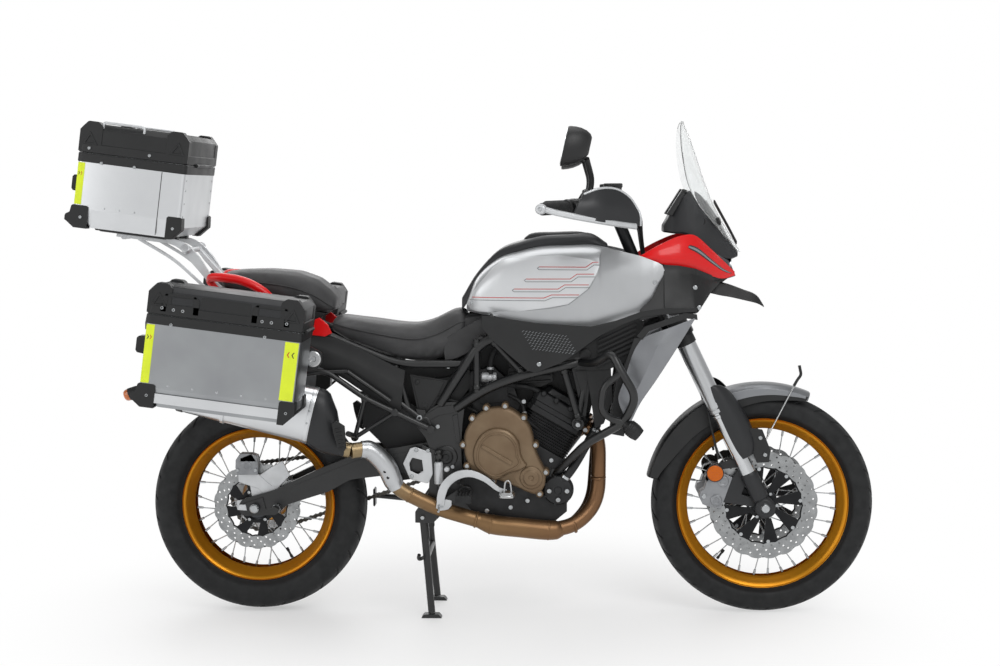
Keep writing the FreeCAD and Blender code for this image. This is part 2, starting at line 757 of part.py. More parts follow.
def muffler_body(start, end):
    """An oval can behind a cone, in outlines square to its axis."""
    length = (end - start).Length
    along = (end - start).normalize()
    up = along.cross(Vec(0, 1, 0)).normalize()
    up = up if up.z > 0 else up * -1.0
    sections = []
    for share, tall, wide, shift in ((0.0, 26, 26, 0), (0.10, 52, 34, 4), (0.24, 76, 52, 8),
                                     (0.97, 76, 52, 8), (1.0, 64, 44, 8)):
        centre = start + along * (share * length) + up * shift
        outline = []
        for k in range(14):
            angle = 2.0 * math.pi * (k + 0.5) / 14
            outline.append(centre + up * (tall * math.sin(angle)) + Vec(0, wide * math.cos(angle), 0))
        sections.append(outline)
    return skin(sections)


# Swingarm and shock

def arm_plate(points, y_low, y_high):
    return prism([arm_at(share, y_low, up) for share, up in points], Vec(0, y_high - y_low, 0))


def make_swingarm():
    """A box-section arm each side of the wheel, joined by a bridge, with the axle and the lifting spools."""
    root = [(-0.063, -12.1), (-0.045, 25.9), (0.048, 53.2)]
    back = [(0.435, 75.5), (0.618, 63.3), (0.885, 35.6), (1.058, 34.1), (1.085, 13.6), (1.08, -14.1),
            (0.903, -38.2), (0.846, -16.3), (0.62, -10.9), (0.501, 7.4)]
    right = arm_plate(root + back + [(0.085, -27.9), (-0.016, -37.8)], -right_arm_y - 23.0, -right_arm_y)
    left = arm_plate([(0.157, 45.7)] + back + [(0.187, -19.9)], left_arm_y, left_arm_y + arm_thickness)
    inner = [(-0.059, -13.5), (-0.033, -1.1), (0.07, 4.9), (0.315, 15.0), (0.336, -31.3), (0.085, -27.9),
             (-0.021, -26.2)]
    left_root = arm_plate(inner, 60.0, plate_y - 1.0)
    bridge = arm_plate([(0.163, -44.5), (0.141, 3.8), (0.315, 15.0), (0.336, -31.3)], -right_arm_y,
                       plate_y - 1.0)
    shapes = [right, left, left_root, bridge]
    shapes.append(cross_rod(pivot, -plate_y + 0.5, plate_y - 0.5, pivot_pin_r + 3.0))
    shapes.append(cross_rod(pivot, -plate_outer_y - 4.0, plate_outer_y + 4.0, pivot_pin_r))
    shapes.append(cross_rod(rear_axle, -right_arm_y - 52.0, left_arm_y + 38.0, axle_r))
    spool = rear_axle + Vec(65.0, 0, 0)
    shapes.append(cross_rod(spool, -right_arm_y - 20.0, -right_arm_y - 47.0, 13.0))
    shapes.append(cross_rod(spool, left_arm_y + 22.0, left_arm_y + 50.0, 13.0))
    node("swingarm", [joined(shapes)])


def make_shock():
    """A spring and damper between the swingarm's bridge and the frame's cross tube."""
    low = arm_at(0.208, 0, 10.4)
    high = at(-96, 0, 644)
    length = (high - low).Length
    coils = 5
    step = (length - 74.0) / coils
    profile = [(0, 22), (22, 22)]
    for k in range(coils):
        start = 26.0 + step * k
        profile += [(start, 36), (start + 0.45 * step, 36), (start + 0.72 * step, 28)]
    profile += [(length - 40.0, 22), (length, 22)]
    node("rear_shock", [spun(low, high, profile, 12).cut(solid_of("swingarm", "frame"))])


# Fork and what turns with it

def clamp_plate(z):
    """A triple clamp: a plate square to the steering axis that holds both fork tubes and the stem."""
    edge = fork_y + 33.0
    outline = [(-30, -30), (-10, -70), (4, -edge), (58, -edge), (68, -70), (50, 0), (68, 70), (58, edge),
               (4, edge), (-10, 70), (-30, 30)]
    base = steer_point(z)
    return prism([base + steer_out * a + Vec(0, b, 0) for a, b in outline], steer_up * clamp_thickness)


def fork_leg(side):
    """Chrome tube, cast foot and the lug for the caliper."""
    y = side * fork_y
    tube = rod(fork_point(front_axle.z + 60.0, y), fork_point(front_axle.z + 282.0, y), stanchion_r)
    foot = pipe([fork_point(front_axle.z + 22.0, y), fork_point(front_axle.z + 104.0, y)],
                stanchion_r + 3.0, sides=12)
    clamp = spun(Vec(front_axle.x, y - side * 23.5, front_axle.z),
                 Vec(front_axle.x, y + side * 26.0, front_axle.z), [(0, 30), (49.5, 30)], 14)
    inner, outer = sorted((y - side * 21.0, y - side * 7.0))
    lug = [(-105, 0), (-37, 15), (-45, 90), (-82, 110), (-105, 70)]
    arm = prism([front_axle + Vec(x, inner, z) for x, z in lug], Vec(0, outer - inner, 0))
    return joined([tube, foot, clamp, arm])


def make_fork():
    tube_low = front_axle.z + 282.5
    tube_high = upper_clamp_z + clamp_thickness + 14.0
    stem = rod(steer_point(lower_clamp_z + 5.0), steer_point(upper_clamp_z + 40.0), stem_r)
    tubes = [rod(fork_point(tube_low, side * fork_y), fork_point(tube_high, side * fork_y), fork_tube_r)
             for side in (-1, 1)]
    clamps = joined([clamp_plate(lower_clamp_z), clamp_plate(upper_clamp_z), stem])
    node("fork_clamps", [clamps.cut(Part.makeCompound(tubes))])
    node("fork_tubes", tubes)
    axle = cross_rod(front_axle, -fork_y - 31.0, fork_y + 31.0, axle_r)
    node("fork_legs", [joined([fork_leg(-1), fork_leg(1), axle])])


def make_front_calipers():
    """Four-piston bodies that straddle the discs, turned to lie behind each leg."""
    shapes = []
    turn = -160.4
    start = front_disc_r - 42.0
    for side in (-1, 1):
        y0, y1 = sorted((side * (front_disc_y - 20.0), side * (fork_y - 7.0)))
        body = prism([Vec(start, y0, -50), Vec(start, y0, 50), Vec(start + 52, y0, 54),
                      Vec(start + 74, y0, 34), Vec(start + 74, y0, -34), Vec(start + 52, y0, -54)],
                      Vec(0, y1 - y0, 0))
        gap = disc_thickness / 2.0 + caliper_gap
        slot = block(start - 8.0, start + 52.0, side * front_disc_y - gap, side * front_disc_y + gap, -60,
                     60)
        body = body.cut(slot)
        body.rotate(Vec(0, 0, 0), Vec(0, 1, 0), turn)
        body.translate(front_axle)
        shapes.append(body.cut(solid_of("fork_legs")))
    node("front_calipers", shapes)


def make_front_mudguard():
    """A curved guard over the tyre, with a stay to each fork leg."""
    inner_r = front_tyre_od / 2.0 + 16.0
    half = front_tyre_width / 2.0 + 9.0
    crown = 22.0
    wall = 5.0
    sections = []
    for k in range(13):
        angle = math.radians(66.0 + 8.5 * k)
        up = Vec(math.cos(angle), 0, math.sin(angle))
        outline = []
        for y, r in ((-half, wall - crown), (-0.6 * half, wall), (0.6 * half, wall), (half, wall - crown),
                     (half - wall, -crown), (0.55 * half, 0.0), (-0.55 * half, 0.0), (wall - half, -crown)):
            outline.append(front_axle + up * (inner_r + r) + Vec(0, y, 0))
        sections.append(outline)
    shell = skin(sections)
    stay = [(-167, 298), (-115, 310), (-87, 261), (-122, 231)]
    stays = []
    for side in (-1, 1):
        low, high = sorted((side * (half - wall), side * (fork_y - stanchion_r + 2.0)))
        stays.append(prism([front_axle + Vec(x, low, z) for x, z in stay], Vec(0, high - low, 0)))
    guard = joined([shell] + stays).cut(solid_of("fork_legs", "fork_tubes"))
    node("front_mudguard", largest(guard))


def make_handlebar():
    """A wide bent bar on two risers, with grips."""
    middle = bar_at(-75.6, 0, 177.4)
    half = [bar_at(-79.6, 92, 177.4), bar_at(-119.6, 190, 213.4), bar_at(-286, 452, 206)]
    right = [Vec(p.x, -p.y, p.z) for p in reversed(half)]
    bar = pipe(right + half, bar_r, 40.0, sides=10)
    direction = (half[2] - half[1]).normalize()
    pieces = [bar]
    for side in (-1, 1):
        y = side * 46.0
        foot = steer_point(upper_clamp_z + 0.9 * clamp_thickness, 0.0, y)
        pieces.append(pipe([foot, Vec(middle.x, y, middle.z)], 15.0))
        end = half[2] + direction * 12.0
        start = half[2] - direction * 122.0
        pieces.append(pipe([Vec(start.x, side * start.y, start.z), Vec(end.x, side * end.y, end.z)], grip_r,
                           sides=12))
    node("handlebar", [joined(pieces).cut(solid_of("fork_clamps"))])


def make_bar_controls():
    """A switch block, a clamp and a fluid reservoir on each side."""
    shapes = []
    for side in (-1, 1):
        body = pipe([bar_at(-182, side * 284, 209), bar_at(-212, side * 333, 208)], 23.0, sides=10)
        pot = spun(bar_at(-94, side * 320, 234), bar_at(-94, side * 320, 276),
                   [(0, 24), (34, 27), (42, 27)], 12)
        arm = pipe([bar_at(-100, side * 320, 240), bar_at(-182, side * 288, 220)], 10.0, sides=6)
        lever = pipe([bar_at(-150, side * 300, 214), bar_at(-130, side * 330, 206),
                      bar_at(-190, side * 452, 190)], 5.0,
                     sides=6)
        shapes.append(joined([body.cut(solid_of("handlebar")), pot, arm, lever]).cut(solid_of("handlebar")))
    node("bar_controls", shapes)


def make_hand_guards():
    """A flat bar from the grip's end round the hand, with a shield on it."""
    shapes = []
    for side in (-1, 1):
        bar = [bar_at(-294, side * 478, 208), bar_at(-238, side * 468, 192), bar_at(-120, side * 436, 170),
               bar_at(-30, side * 366, 156)]
        run = pipe(bar, 8.0)
        tip = pipe([bar_at(-289, side * 465.5, 206), bar_at(-296, side * 486, 206)], 14.0, sides=10)
        rows = []
        for low, high in (((-200, 458, 184), (-156, 424, 256)), ((-128, 440, 168), (-110, 398, 262)),
                          ((-70, 400, 160), (-64, 372, 248)), ((-20, 356, 158), (-20, 350, 196))):
            middle = [(a + b) / 2.0 for a, b in zip(low, high)]
            row = (low, (middle[0] + 6.0, middle[1] + 10.0, middle[2]), high)
            rows.append([bar_at(x, side * y, z) for x, y, z in row])
        shield = panel(rows, Vec(-3, -side * 4, 0))
        shapes.append(joined([run, tip, shield]).cut(solid_of("handlebar", "bar_controls")))
    node("hand_guards", [largest(s)[0] for s in shapes])


def make_mirrors():
    """A shell on a cranked stem on each side."""
    back = [(-40, 1340), (-48, 1382), (-34, 1424), (8, 1436), (44, 1416), (54, 1378), (34, 1336), (-4, 1328)]
    shapes = []
    base = steer_point(upper_clamp_z)
    for side in (-1, 1):
        sections = []
        for x, scale in ((-230.0, 0.92), (-223.0, 1.0), (-192.0, 0.92), (-158.0, 0.55)):
            outline = []
            for dy, z in back:
                outline.append(base + Vec(x, side * (402 + dy * scale), 1382 + (z - 1382) * scale - 1004.0))
            sections.append(outline)
        stem = pipe([bar_at(-164, side * 298, 218), bar_at(-152, side * 340, 286),
                     bar_at(-168, side * 388, 344)], 6.5,
                    20.0)
        shape = joined([skin(sections), stem]).cut(solid_of("handlebar", "bar_controls"))
        shapes.append(largest(shape)[0])
    node("mirrors", shapes)


# Tank, seats and bodywork

TANK_STATIONS = [
    # x, then heights of top, shoulder, side and underside, then half widths of the same
    (-18, 935, 931, 922, 908, 62, 86, 96, 88),
    (12, 1004, 985, 955, 905, 74, 112, 126, 112),
    (79, 1064, 1040, 985, 894, 84, 128, 146, 130),
    (140, 1084, 1062, 1000, 888, 88, 134, 154, 140),
    (199, 1097, 1074, 1005, 886, 90, 137, 158, 146),
    (280, 1101, 1078, 1005, 886, 92, 139, 161, 148),
    (350, 1102, 1078, 1003, 888, 90, 140, 163, 150),
    (396, 1094, 1070, 1000, 900, 82, 136, 163, 152),
]


def make_tank():
    """A tank over the frame, with a wing on each side that runs on past the steering head."""
    sections = []
    for x, *values in TANK_STATIONS:
        heights, halves = values[:4], values[4:]
        right = [at(x, -y, z) for y, z in zip(halves, heights)]
        left = [at(x, y, z) for y, z in zip(halves, heights)]
        sections.append(list(reversed(right)) + left)
    wing = [
        [at(268, 166, 867), at(268, 167, 900), at(268, 164, 934)],
        [at(318, 166, 866), at(318, 170, 935), at(318, 166, 1004)],
        [at(350, 166, 873), at(350, 171, 965), at(350, 150, 1070)],
        [at(396, 166, 890), at(396, 172, 980), at(396, 147, 1070)],
        [at(427, 166, 903), at(427, 172, 990), at(427, 152, 1066)],
        [at(493, 173, 926), at(493, 177, 990), at(493, 160, 1060)],
        [at(530, 174, 960), at(530, 176, 1002), at(530, 164, 1046)],
        [at(556, 170, 1004), at(556, 171, 1018), at(556, 168, 1032)],
    ]
    side = panel(wing, Vec(0, -7, 0))
    tank = skin(sections).multiFuse([side, mirrored(side)])
    node("fuel_tank", largest(tank.cut(solid_of("frame"))))


def make_tank_cover():
    """A pad along the tank's top, with a raised lid over the filler."""
    rises = (5, 11, 22, 26, 28, 29, 28, 8)
    sections = []
    for (x, top, *rest), rise in zip(TANK_STATIONS, rises):
        half = rest[3] - 4.0
        sections.append([at(x, -half, top + 0.3), at(x, half, top + 0.3),
                         at(x, half - 5.0, top + 0.7 * rise), at(x, half - 20.0, top + rise),
                         at(x, 20.0 - half, top + rise), at(x, 5.0 - half, top + 0.7 * rise)])
    lid = side_plate([(150, 1112), (172, 1131), (340, 1136), (352, 1126), (352, 1112)], -46, 46)
    node("tank_cover", [skin(sections).fuse(lid)])


def cushion(stations):
    """A seat's foam: at each X the heights of its crown, edge and underside, and its half width."""
    sections = []
    for x, crown, edge, low, half in stations:
        right = [(0.62 * half, crown), (half, edge), (half - 6.0, low)]
        outline = [(-y, z) for y, z in reversed(right)] + right
        sections.append([at(x, y, z) for y, z in outline])
    return skin(sections)


def make_seats():
    """A low rider's seat that climbs the tank, and a raised pillion seat behind it."""
    rider = [(-418, 896, 884, 852, 112), (-365, 889, 874, 832, 124), (-289, 880, 862, 802, 130),
             (-214, 870, 850, 776, 128), (-165, 869, 846, 772, 116), (-115, 883, 858, 774, 104),
             (-76, 904, 876, 784, 92), (-46, 920, 892, 800, 84), (-30, 914, 892, 812, 80),
             (0, 902, 890, 843, 78), (40, 899, 893, 876, 76)]
    pillion = [(-754, 1018, 1006, 978, 84), (-700, 1029, 1010, 958, 104), (-610, 1031, 1006, 944, 116),
               (-520, 1023, 992, 914, 121), (-460, 1001, 966, 902, 120), (-422, 970, 938, 898, 114),
               (-399, 941, 922, 902, 106)]
    node("rider_seat", [cushion(rider).cut(solid_of("fuel_tank", "tank_cover", "subframe", "frame"))])
    pan = side_plate([(-432, 900), (-480, 862), (-690, 932), (-742, 955), (-748, 984), (-610, 948)], -95, 95)
    seat = cushion(pillion).fuse(pan)
    node("pillion_seat", [seat.cut(solid_of("rider_seat", "subframe"))])


def lean_panel(columns, thickness):
    """A side panel from columns of (x, low z, high z, low y, high y)."""
    rows = [[at(x, y0, z0), at(x, y1, z1)] for x, z0, z1, y0, y1 in columns]
    return panel(rows, Vec(0, thickness, 0))


def make_side_panels():
    """Black panels: under the tank, round the steering head and under the seats."""
    middle = lean_panel([(30, 862, 888, 172, 172), (66, 822, 884, 174, 174), (161, 742, 876, 182, 182),
                         (185, 735, 874, 184, 184), (346, 780, 872, 197, 197), (491, 848, 918, 209, 209),
                         (560, 873, 918, 215, 215), (648, 905, 921, 222, 222)], 6)
    head_side = lean_panel([(556, 916, 1030, 214, 170), (600, 908, 1028, 218, 160),
                            (650, 908, 1014, 222, 142), (694, 965, 998, 124, 104), (728, 990, 996, 70, 66)],
                            5)
    bosses = [pipe([at(60, 140, 838), at(60, 175, 838)], 9.0, sides=6),
              pipe([at(290, 148, 851), at(290, 194, 851)], 9.0, sides=6)]
    front = joined([middle, head_side] + bosses)
    tail = side_plate([(-420, 838), (-255, 784), (-205, 764), (-196, 700), (-230, 660), (-300, 690),
                       (-425, 790)],
                      rail_y + 14.0, rail_y + 20.0)
    tail_boss = pipe([at(-336, rail_y, 735), at(-336, rail_y + 16.0, 735)], 9.0, sides=6)
    shapes = []
    for s in (front, tail.fuse(tail_boss)):
        s = s.cut(solid_of("frame", "subframe", "fuel_tank"))
        shapes.extend([largest(s)[0], mirrored(largest(s)[0])])
    node("side_panels", shapes)


def make_shrouds():
    """A folded wing beside each radiator tank, on a stay."""
    rows = [
        [at(493, 222, 841), at(560, 232, 865), at(645, 226, 897)],
        [at(468, 224, 800), at(530, 242, 804), at(596, 228, 818)],
        [at(440, 222, 715), at(490, 238, 715), at(534, 224, 718)],
        [at(424, 216, 660), at(456, 226, 652), at(488, 214, 650)],
        [at(446, 206, 600), at(455, 208, 590), at(464, 204, 600)],
    ]
    wing = panel(rows, Vec(0, -6, 0))
    stay = pipe([at(446, 178.3, 700), at(452, 224, 700)], 8.0, sides=6)
    shroud = largest(wing.fuse(stay).cut(solid_of("side_panels", "radiator")))[0]
    node("radiator_shrouds", [shroud, mirrored(shroud)])


def make_nose():
    """Red side cowls, lamp, instrument cowl, clear screen and beak on one bracket."""
    rows = [
        [at(482, 154, 1062), at(482, 153, 1064), at(482, 152, 1067)],
        [at(530, 159, 1054), at(530, 160, 1074), at(530, 150, 1094)],
        [at(562, 157, 1046), at(562, 160, 1076), at(562, 144, 1110)],
        [at(606, 146, 1036), at(606, 152, 1078), at(606, 130, 1128)],
        [at(648, 128, 1028), at(648, 134, 1070), at(648, 112, 1129)],
        [at(700, 98, 1009), at(700, 104, 1040), at(700, 84, 1086)],
        [at(735, 72, 1001), at(735, 76, 1022), at(735, 60, 1054)],
        [at(771, 40, 1008), at(771, 41, 1013), at(771, 38, 1020)],
    ]
    cowl = panel(rows, Vec(0, -5, 0))
    node("nose_cowl", [cowl, mirrored(cowl)])
    lamp = skin([
        [at(694, -97, 1012), at(694, 97, 1012), at(688, 84, 1078), at(688, -84, 1078)],
        [at(745, -56, 1000), at(745, 56, 1000), at(730, 54, 1068), at(730, -54, 1068)],
        [at(776, -30, 1006), at(776, 30, 1006), at(756, 34, 1052), at(756, -34, 1052)],
    ])
    node("headlamp", [lamp.cut(solid_of("nose_cowl"))])
    housing = []
    for x, low, high, half in ((560, 1136, 1158, 66), (626, 1130, 1256, 84), (656, 1112, 1256, 84),
                               (711, 1070, 1192, 64), (756, 1056, 1112, 42), (781, 1064, 1076, 28)):
        housing.append([at(x, -half, low), at(x, half, low), at(x, 0.92 * half, high),
                        at(x, -0.92 * half, high)])
    node("screen_cowl", [skin(housing).cut(solid_of("headlamp", "nose_cowl"))])
    screen = []
    for x, z, half, sweep in ((790, 1078, 44, 10), (750, 1144, 92, 26), (716, 1206, 124, 44),
                              (682, 1290, 146, 58), (652, 1380, 140, 62), (622, 1464, 96, 40)):
        row = []
        for share in (-1.0, -0.6, 0.0, 0.6, 1.0):
            row.append(at(x - sweep * share * share, share * half, z))
        screen.append(row)
    node("windscreen", [panel(screen, Vec(-4, 0, -1)).cut(solid_of("screen_cowl", "headlamp"))])
    beak = []
    for x, low, high, half in ((700, 957, 991, 50), (757, 944, 981, 50), (838, 925, 949, 36),
                               (860, 912, 918, 20)):
        beak.append([at(x, -half, low), at(x, half, low), at(x, 0.8 * half, high), at(x, -0.8 * half, high)])
    node("beak", [skin(beak)])
    bracket = side_plate([(570, 900), (552, 960), (690, 1018), (770, 1012), (700, 960)], -20, 20)
    node("fairing_bracket", [bracket.cut(solid_of("frame", "headlamp", "beak"))])


# Luggage

pannier_corner = at(-874, 0, 930)
top_box_corner = at(-1127, 0, 1378)
pannier_inner_y = 270.0


def pitched(shape, corner):
    """Turn a shape nose down by the boxes' pitch and put its rear upper corner in place."""
    shape = shape.copy()
    shape.rotate(Vec(0, 0, 0), Vec(0, 1, 0), box_pitch_deg)
    shape.translate(corner)
    return shape


def box_outline(length, height, inset):
    """A box's body seen from the side, with its lower corners cut off."""
    rear = box_chamfer + 0.6 * inset
    front = 0.6 * box_chamfer + 0.6 * inset
    low = -height + inset
    return [(inset, 0), (inset, low - inset + rear), (rear, low), (length - front, low),
            (length - inset, low - inset + front), (length - inset, 0)]


def open_body(length, y0, y1, height):
    outer = [Vec(x, y0, z) for x, z in box_outline(length, height, 0.0)]
    inner = [Vec(x, y0 + box_wall, z) for x, z in box_outline(length, height, box_wall)]
    body = prism(outer, Vec(0, y1 - y0, 0))
    space = prism(inner, Vec(0, y1 - y0 - 2.0 * box_wall, 0))
    return body.cut(space)


def lid_corners(length, y0, y1, height):
    """Ribbed blocks that cap a lid's four upper corners and stand a little above its top."""
    top = height + corner_rise
    rear = [(0.5, 30), (0.5, height - 18.0), (20, top), (50, top), (64, height - 4.0), (64, 30)]
    blocks = []
    for a, b in ((y0 + 0.5, y0 + 38.0), (y1 - 38.0, y1 - 0.5)):
        blocks.append(prism([Vec(x, a, z) for x, z in rear], Vec(0, b - a, 0)))
        blocks.append(prism([Vec(length - x, a, z) for x, z in rear], Vec(0, b - a, 0)))
    return blocks


def hollow_lid(length, y0, y1, height):
    """A lid with a sloped edge round its top and a block on each corner."""
    edge = lid_edge
    low = lid_gap

    def hull(levels_of_it):
        sections = []
        for z, inset in levels_of_it:
            sections.append([Vec(inset, y0 + inset, z), Vec(length - inset, y0 + inset, z),
                             Vec(length - inset, y1 - inset, z), Vec(inset, y1 - inset, z)])
        return skin(sections)

    outside = hull([(low, 0.0), (height - edge, 0.0), (height, edge)])
    slope = 0.41 * box_wall
    inside = hull([(low - 1.0, box_wall), (height - edge - slope, box_wall),
                   (height - box_wall, edge + slope)])
    return outside.multiFuse(lid_corners(length, y0, y1, height)).cut(inside)


def hinge_halves(length, y0, y1):
    """A barrel hinge at the front edge: the lid's knuckle between the body's two, all on one axis."""
    spot = Vec(length + hinge_r + 0.5, 0, 0)
    third = (y1 - y0) / 6.0
    middle = (y0 + y1) / 2.0
    lid_knuckle = cross_rod(spot, middle - third + 0.5, middle + third - 0.5, hinge_r)
    lid_leaf = block(length - 1.0, length + 2.0, middle - third + 0.5, middle + third - 0.5, lid_gap, 22.0)
    web = block(length, length + hinge_r, middle - third + 0.5, middle + third - 0.5, 1.0, hinge_r)
    lid_part = lid_knuckle.multiFuse([lid_leaf, web])
    body_parts = []
    for side in (-1, 1):
        a, b = sorted((middle + side * third, middle + side * (third + 34.0)))
        knuckle = cross_rod(spot, a, b, hinge_r)
        leaf = block(length - 1.0, length + 2.0, a, b, -22.0, -0.5)
        body_parts += [knuckle, leaf, block(length, length + hinge_r, a, b, -hinge_r, -1.0)]
    return lid_part, body_parts


def make_box(name, length, y0, y1, height, lid_top, corner, feet):
    lid_part, body_parts = hinge_halves(length, y0, y1)
    body = open_body(length, y0, y1, height).multiFuse(body_parts + feet)
    lid = hollow_lid(length, y0, y1, lid_top).fuse(lid_part)
    return pitched(body, corner), pitched(lid, corner)


def corner_guards(length, y0, y1, height):
    """Blocks that cap a box's lower corners and stand out at its back."""
    rear = [(46, -4), (46, 62), (-4, 62), (-7, 40), (-20, 32), (-20, 14), (8, -4)]
    front = [(-40, -4), (-40, 62), (4, 62), (6, 34), (6, 24), (-24, -4)]
    guards = []
    for x0, outline in ((0.0, rear), (length, front)):
        for a, b in ((y0 - 4.0, y0 + 40.0), (y1 - 40.0, y1 + 4.0)):
            guards.append(prism([Vec(x0 + x, a, z - height) for x, z in outline], Vec(0, b - a, 0)))
    inside = [Vec(x, y0 + 1.0, z) for x, z in box_outline(length, height, 1.0)]
    space = prism(inside, Vec(0, y1 - y0 - 2.0, 0))
    return [g.cut(space) for g in guards]


def make_luggage():
    y0 = pannier_inner_y
    y1 = y0 + pannier_width
    guards = corner_guards(pannier_length, y0, y1, pannier_height)
    body, lid = make_box("pannier_left", pannier_length, y0, y1, pannier_height, lid_height, pannier_corner,
                         guards)
    node("pannier_left", [body])
    node("pannier_left_lid", [lid])
    node("pannier_right", [mirrored(body)])
    node("pannier_right_lid", [mirrored(lid)])
    half = top_box_width / 2.0
    guards = corner_guards(top_box_length, -half, half, top_box_height)
    body, lid = make_box("top_box", top_box_length, -half, half, top_box_height, lid_height + 4.0,
                         top_box_corner, guards)
    node("top_box", [body])
    node("top_box_lid", [lid])


def make_racks():
    """The top box's carrier, the passenger's grab rails and the panniers' side frames."""
    low = -top_box_height
    base = pitched(block(52.0, 262.0, -110, 110, low - 12.0, low - 0.3), top_box_corner)
    arms = []
    for side in (-1, 1):
        y0, y1 = sorted((side * 92, side * 102))
        arms.append(side_plate([(-1050, 1144), (-850, 1119), (-800, 1050), (-735, 960), (-752, 950),
                                (-824, 1016), (-868, 1074), (-1050, 1106)], y0, y1))
    cross = [pipe([at(x, -98, z), at(x, 98, z)], 8.0, sides=6) for x, z in ((-1030, 1122), (-842, 1060))]
    rack = joined([base] + arms + cross)
    node("luggage_rack", largest(rack.cut(solid_of("subframe", "pillion_seat", "top_box"))))
    rail = pipe([at(-775, 112, 1000), at(-765, 138, 1014), at(-665, 150, 1004), at(-590, 146, 960),
                 at(-556, rail_y + 11.0, 884)], 11.0)
    root = pipe([at(-775, 112, 1000), at(-730, rail_y - 6.0, 940)], 11.0)
    rails = both([rail, root])
    rails.append(pipe([at(-772, -114, 1002), at(-772, 114, 1002)], 9.0, sides=6))
    grab = joined(rails).cut(solid_of("subframe", "pillion_seat", "luggage_rack"))
    node("grab_rails", largest(grab))
    frames = []
    for side in (1,):
        y = pannier_inner_y - 9.0 - pannier_rail_gap
        loop = side_loop([at(-522, y, 863), at(-503, y, 838), at(-517, y, 712), at(-540, y, 691),
                          at(-815, y, 699), at(-838, y, 722), at(-823, y, 876), at(-798, y, 897)], 9.0)
        stays = [pipe([at(-700, y, 885), at(-700, rail_y, 932)], 8.0, sides=6),
                 pipe([at(-520, y, 862), at(-470, rail_y, 858)], 8.0, sides=6)]
        frames.append(joined([loop] + stays).cut(solid_of("subframe")))
    right = mirrored(frames[0]).cut(solid_of("muffler"))
    node("pannier_frames", largest(frames[0]) + largest(right))


# Stands, bars, controls and small parts

def make_stands():
    """The centre stand: two splayed legs with feet, a cross tube and pins. The side stand folds back."""
    knee_drop = Vec(10, 0, -120.0)
    parts = []
    for side in (-1, 1):
        top = stand_pivot + Vec(0, side * (plate_y - 14.0), 0)
        knee = stand_pivot + knee_drop + Vec(0, side * (plate_y - 8.0), 0)
        foot = Vec(stand_foot_x, side * stand_half_width, foot_height)
        parts.append(pipe([top, knee, foot], stand_tube_r))
        y = side * stand_half_width
        parts.append(block(stand_foot_x - foot_length / 2.0, stand_foot_x + foot_length / 2.0,
                           y - foot_width / 2.0, y + foot_width / 2.0, 0, foot_height + 3.0))
        parts.append(cross_rod(stand_pivot, side * (plate_y - 25.0), side * (plate_y - 0.6),
                               2.0 * stand_pin_r))
        parts.append(cross_rod(stand_pivot, side * (plate_y - 1.0), side * (plate_outer_y + 4.0),
                               stand_pin_r))
    ends = [stand_pivot + knee_drop + Vec(0, side * (plate_y - 8.0), 0) for side in (-1, 1)]
    parts.append(pipe(ends, stand_tube_r))
    node("centre_stand", [joined(parts)])
    tip = side_stand_pivot + Vec(-side_stand_length, 0, 26)
    leg = pipe([side_stand_pivot + Vec(-8, 0, 1), tip], 10.0)
    pad = prism([tip + Vec(-6, -22, -34), tip + Vec(2, -22, -34), tip + Vec(2, -22, 24),
                 tip + Vec(-6, -22, 24)],
                Vec(0, 44, 0))
    eye = cross_rod(side_stand_pivot, side_stand_y - 8.0, side_stand_y + 8.0, 17.0)
    hole = cross_rod(side_stand_pivot, side_stand_y - 30.0, side_stand_y + 30.0,
                     side_stand_pin_r + running_gap)
    node("side_stand", [joined([eye, leg, pad]).cut(hole)])


def make_crash_bars():
    """Tubes that stand out round the shrouds and run down to the crankcase, with a lamp on each."""
    points = [at(318, 148, 762), at(356, 212, 764), at(404, 272, 802), at(428, 288, 752), at(474, 288, 676),
              at(440, 262, 600), at(330, 200, 530), at(238, 112, 424)]
    bar = pipe(points, 12.0, 26.0)
    loop = pipe([at(432, 287, 745), at(380, 286, 706), at(372, 280, 640), at(398, 270, 612),
                 at(440, 262, 600)], 10.0,
                20.0)
    lamp = spun(at(440, 262, 598), at(486, 262, 560), [(0, 10), (12, lamp_r - 2.0), (44, lamp_r),
                                                       (58, lamp_r - 6.0)], 12)
    bars = joined(both([bar.multiFuse([loop, lamp])]))
    bars = bars.cut(solid_of("radiator_shrouds", "side_panels", "frame", "engine_block", "engine_covers"))
    node("crash_bars", largest(bars, 2))


def make_foot_controls():
    """A peg on a bracket a side, with the brake lever on the right and the gear lever on the left."""
    shapes = []
    inner = plate_outer_y
    for side in (-1, 1):
        def flat(points, y0, y1):
            low, high = sorted((side * y0, side * y1))
            return side_plate(points, low, high)
        hanger = flat([(-150, 520), (-70, 480), (-44, 400), (-4, 388), (-4, 364), (-44, 364), (-96, 420),
                       (-150, 460)], inner, inner + 8.0)
        peg = flat([(-46, 364), (4, 364), (4, 388), (-46, 388)], inner + 7.0, 262.0)
        drop = flat([(-46, 388), (-10, 388), (-10, 366), (-60, 352), (-88, 332), (-104, 346), (-92, 362)],
                    inner + 52.0, inner + 58.0)
        lever = flat([(-98, 336), (-82, 334), (-74, 352), (-84, 374), (-72, 404), (-40, 428), (0, 428),
                      (40, 402), (88, 386), (112, 386), (112, 398), (88, 400), (48, 418), (8, 444),
                      (-44, 444), (-88, 416), (-102, 376)], inner + 57.0, inner + 65.0)
        pedal = flat([(84, 376), (122, 376), (122, 390), (84, 390)], inner + 57.0, inner + 124.0)
        guard = flat([(-210, 462), (-186, 508), (-168, 512), (-120, 492), (-118, 424), (-134, 400),
                      (-186, 414)],
                     inner + 6.0, inner + 10.0)
        shapes.append(joined([hanger, peg, drop, lever, pedal, guard]))
    node("foot_controls", [s.cut(solid_of("swingarm", "frame")) for s in shapes])


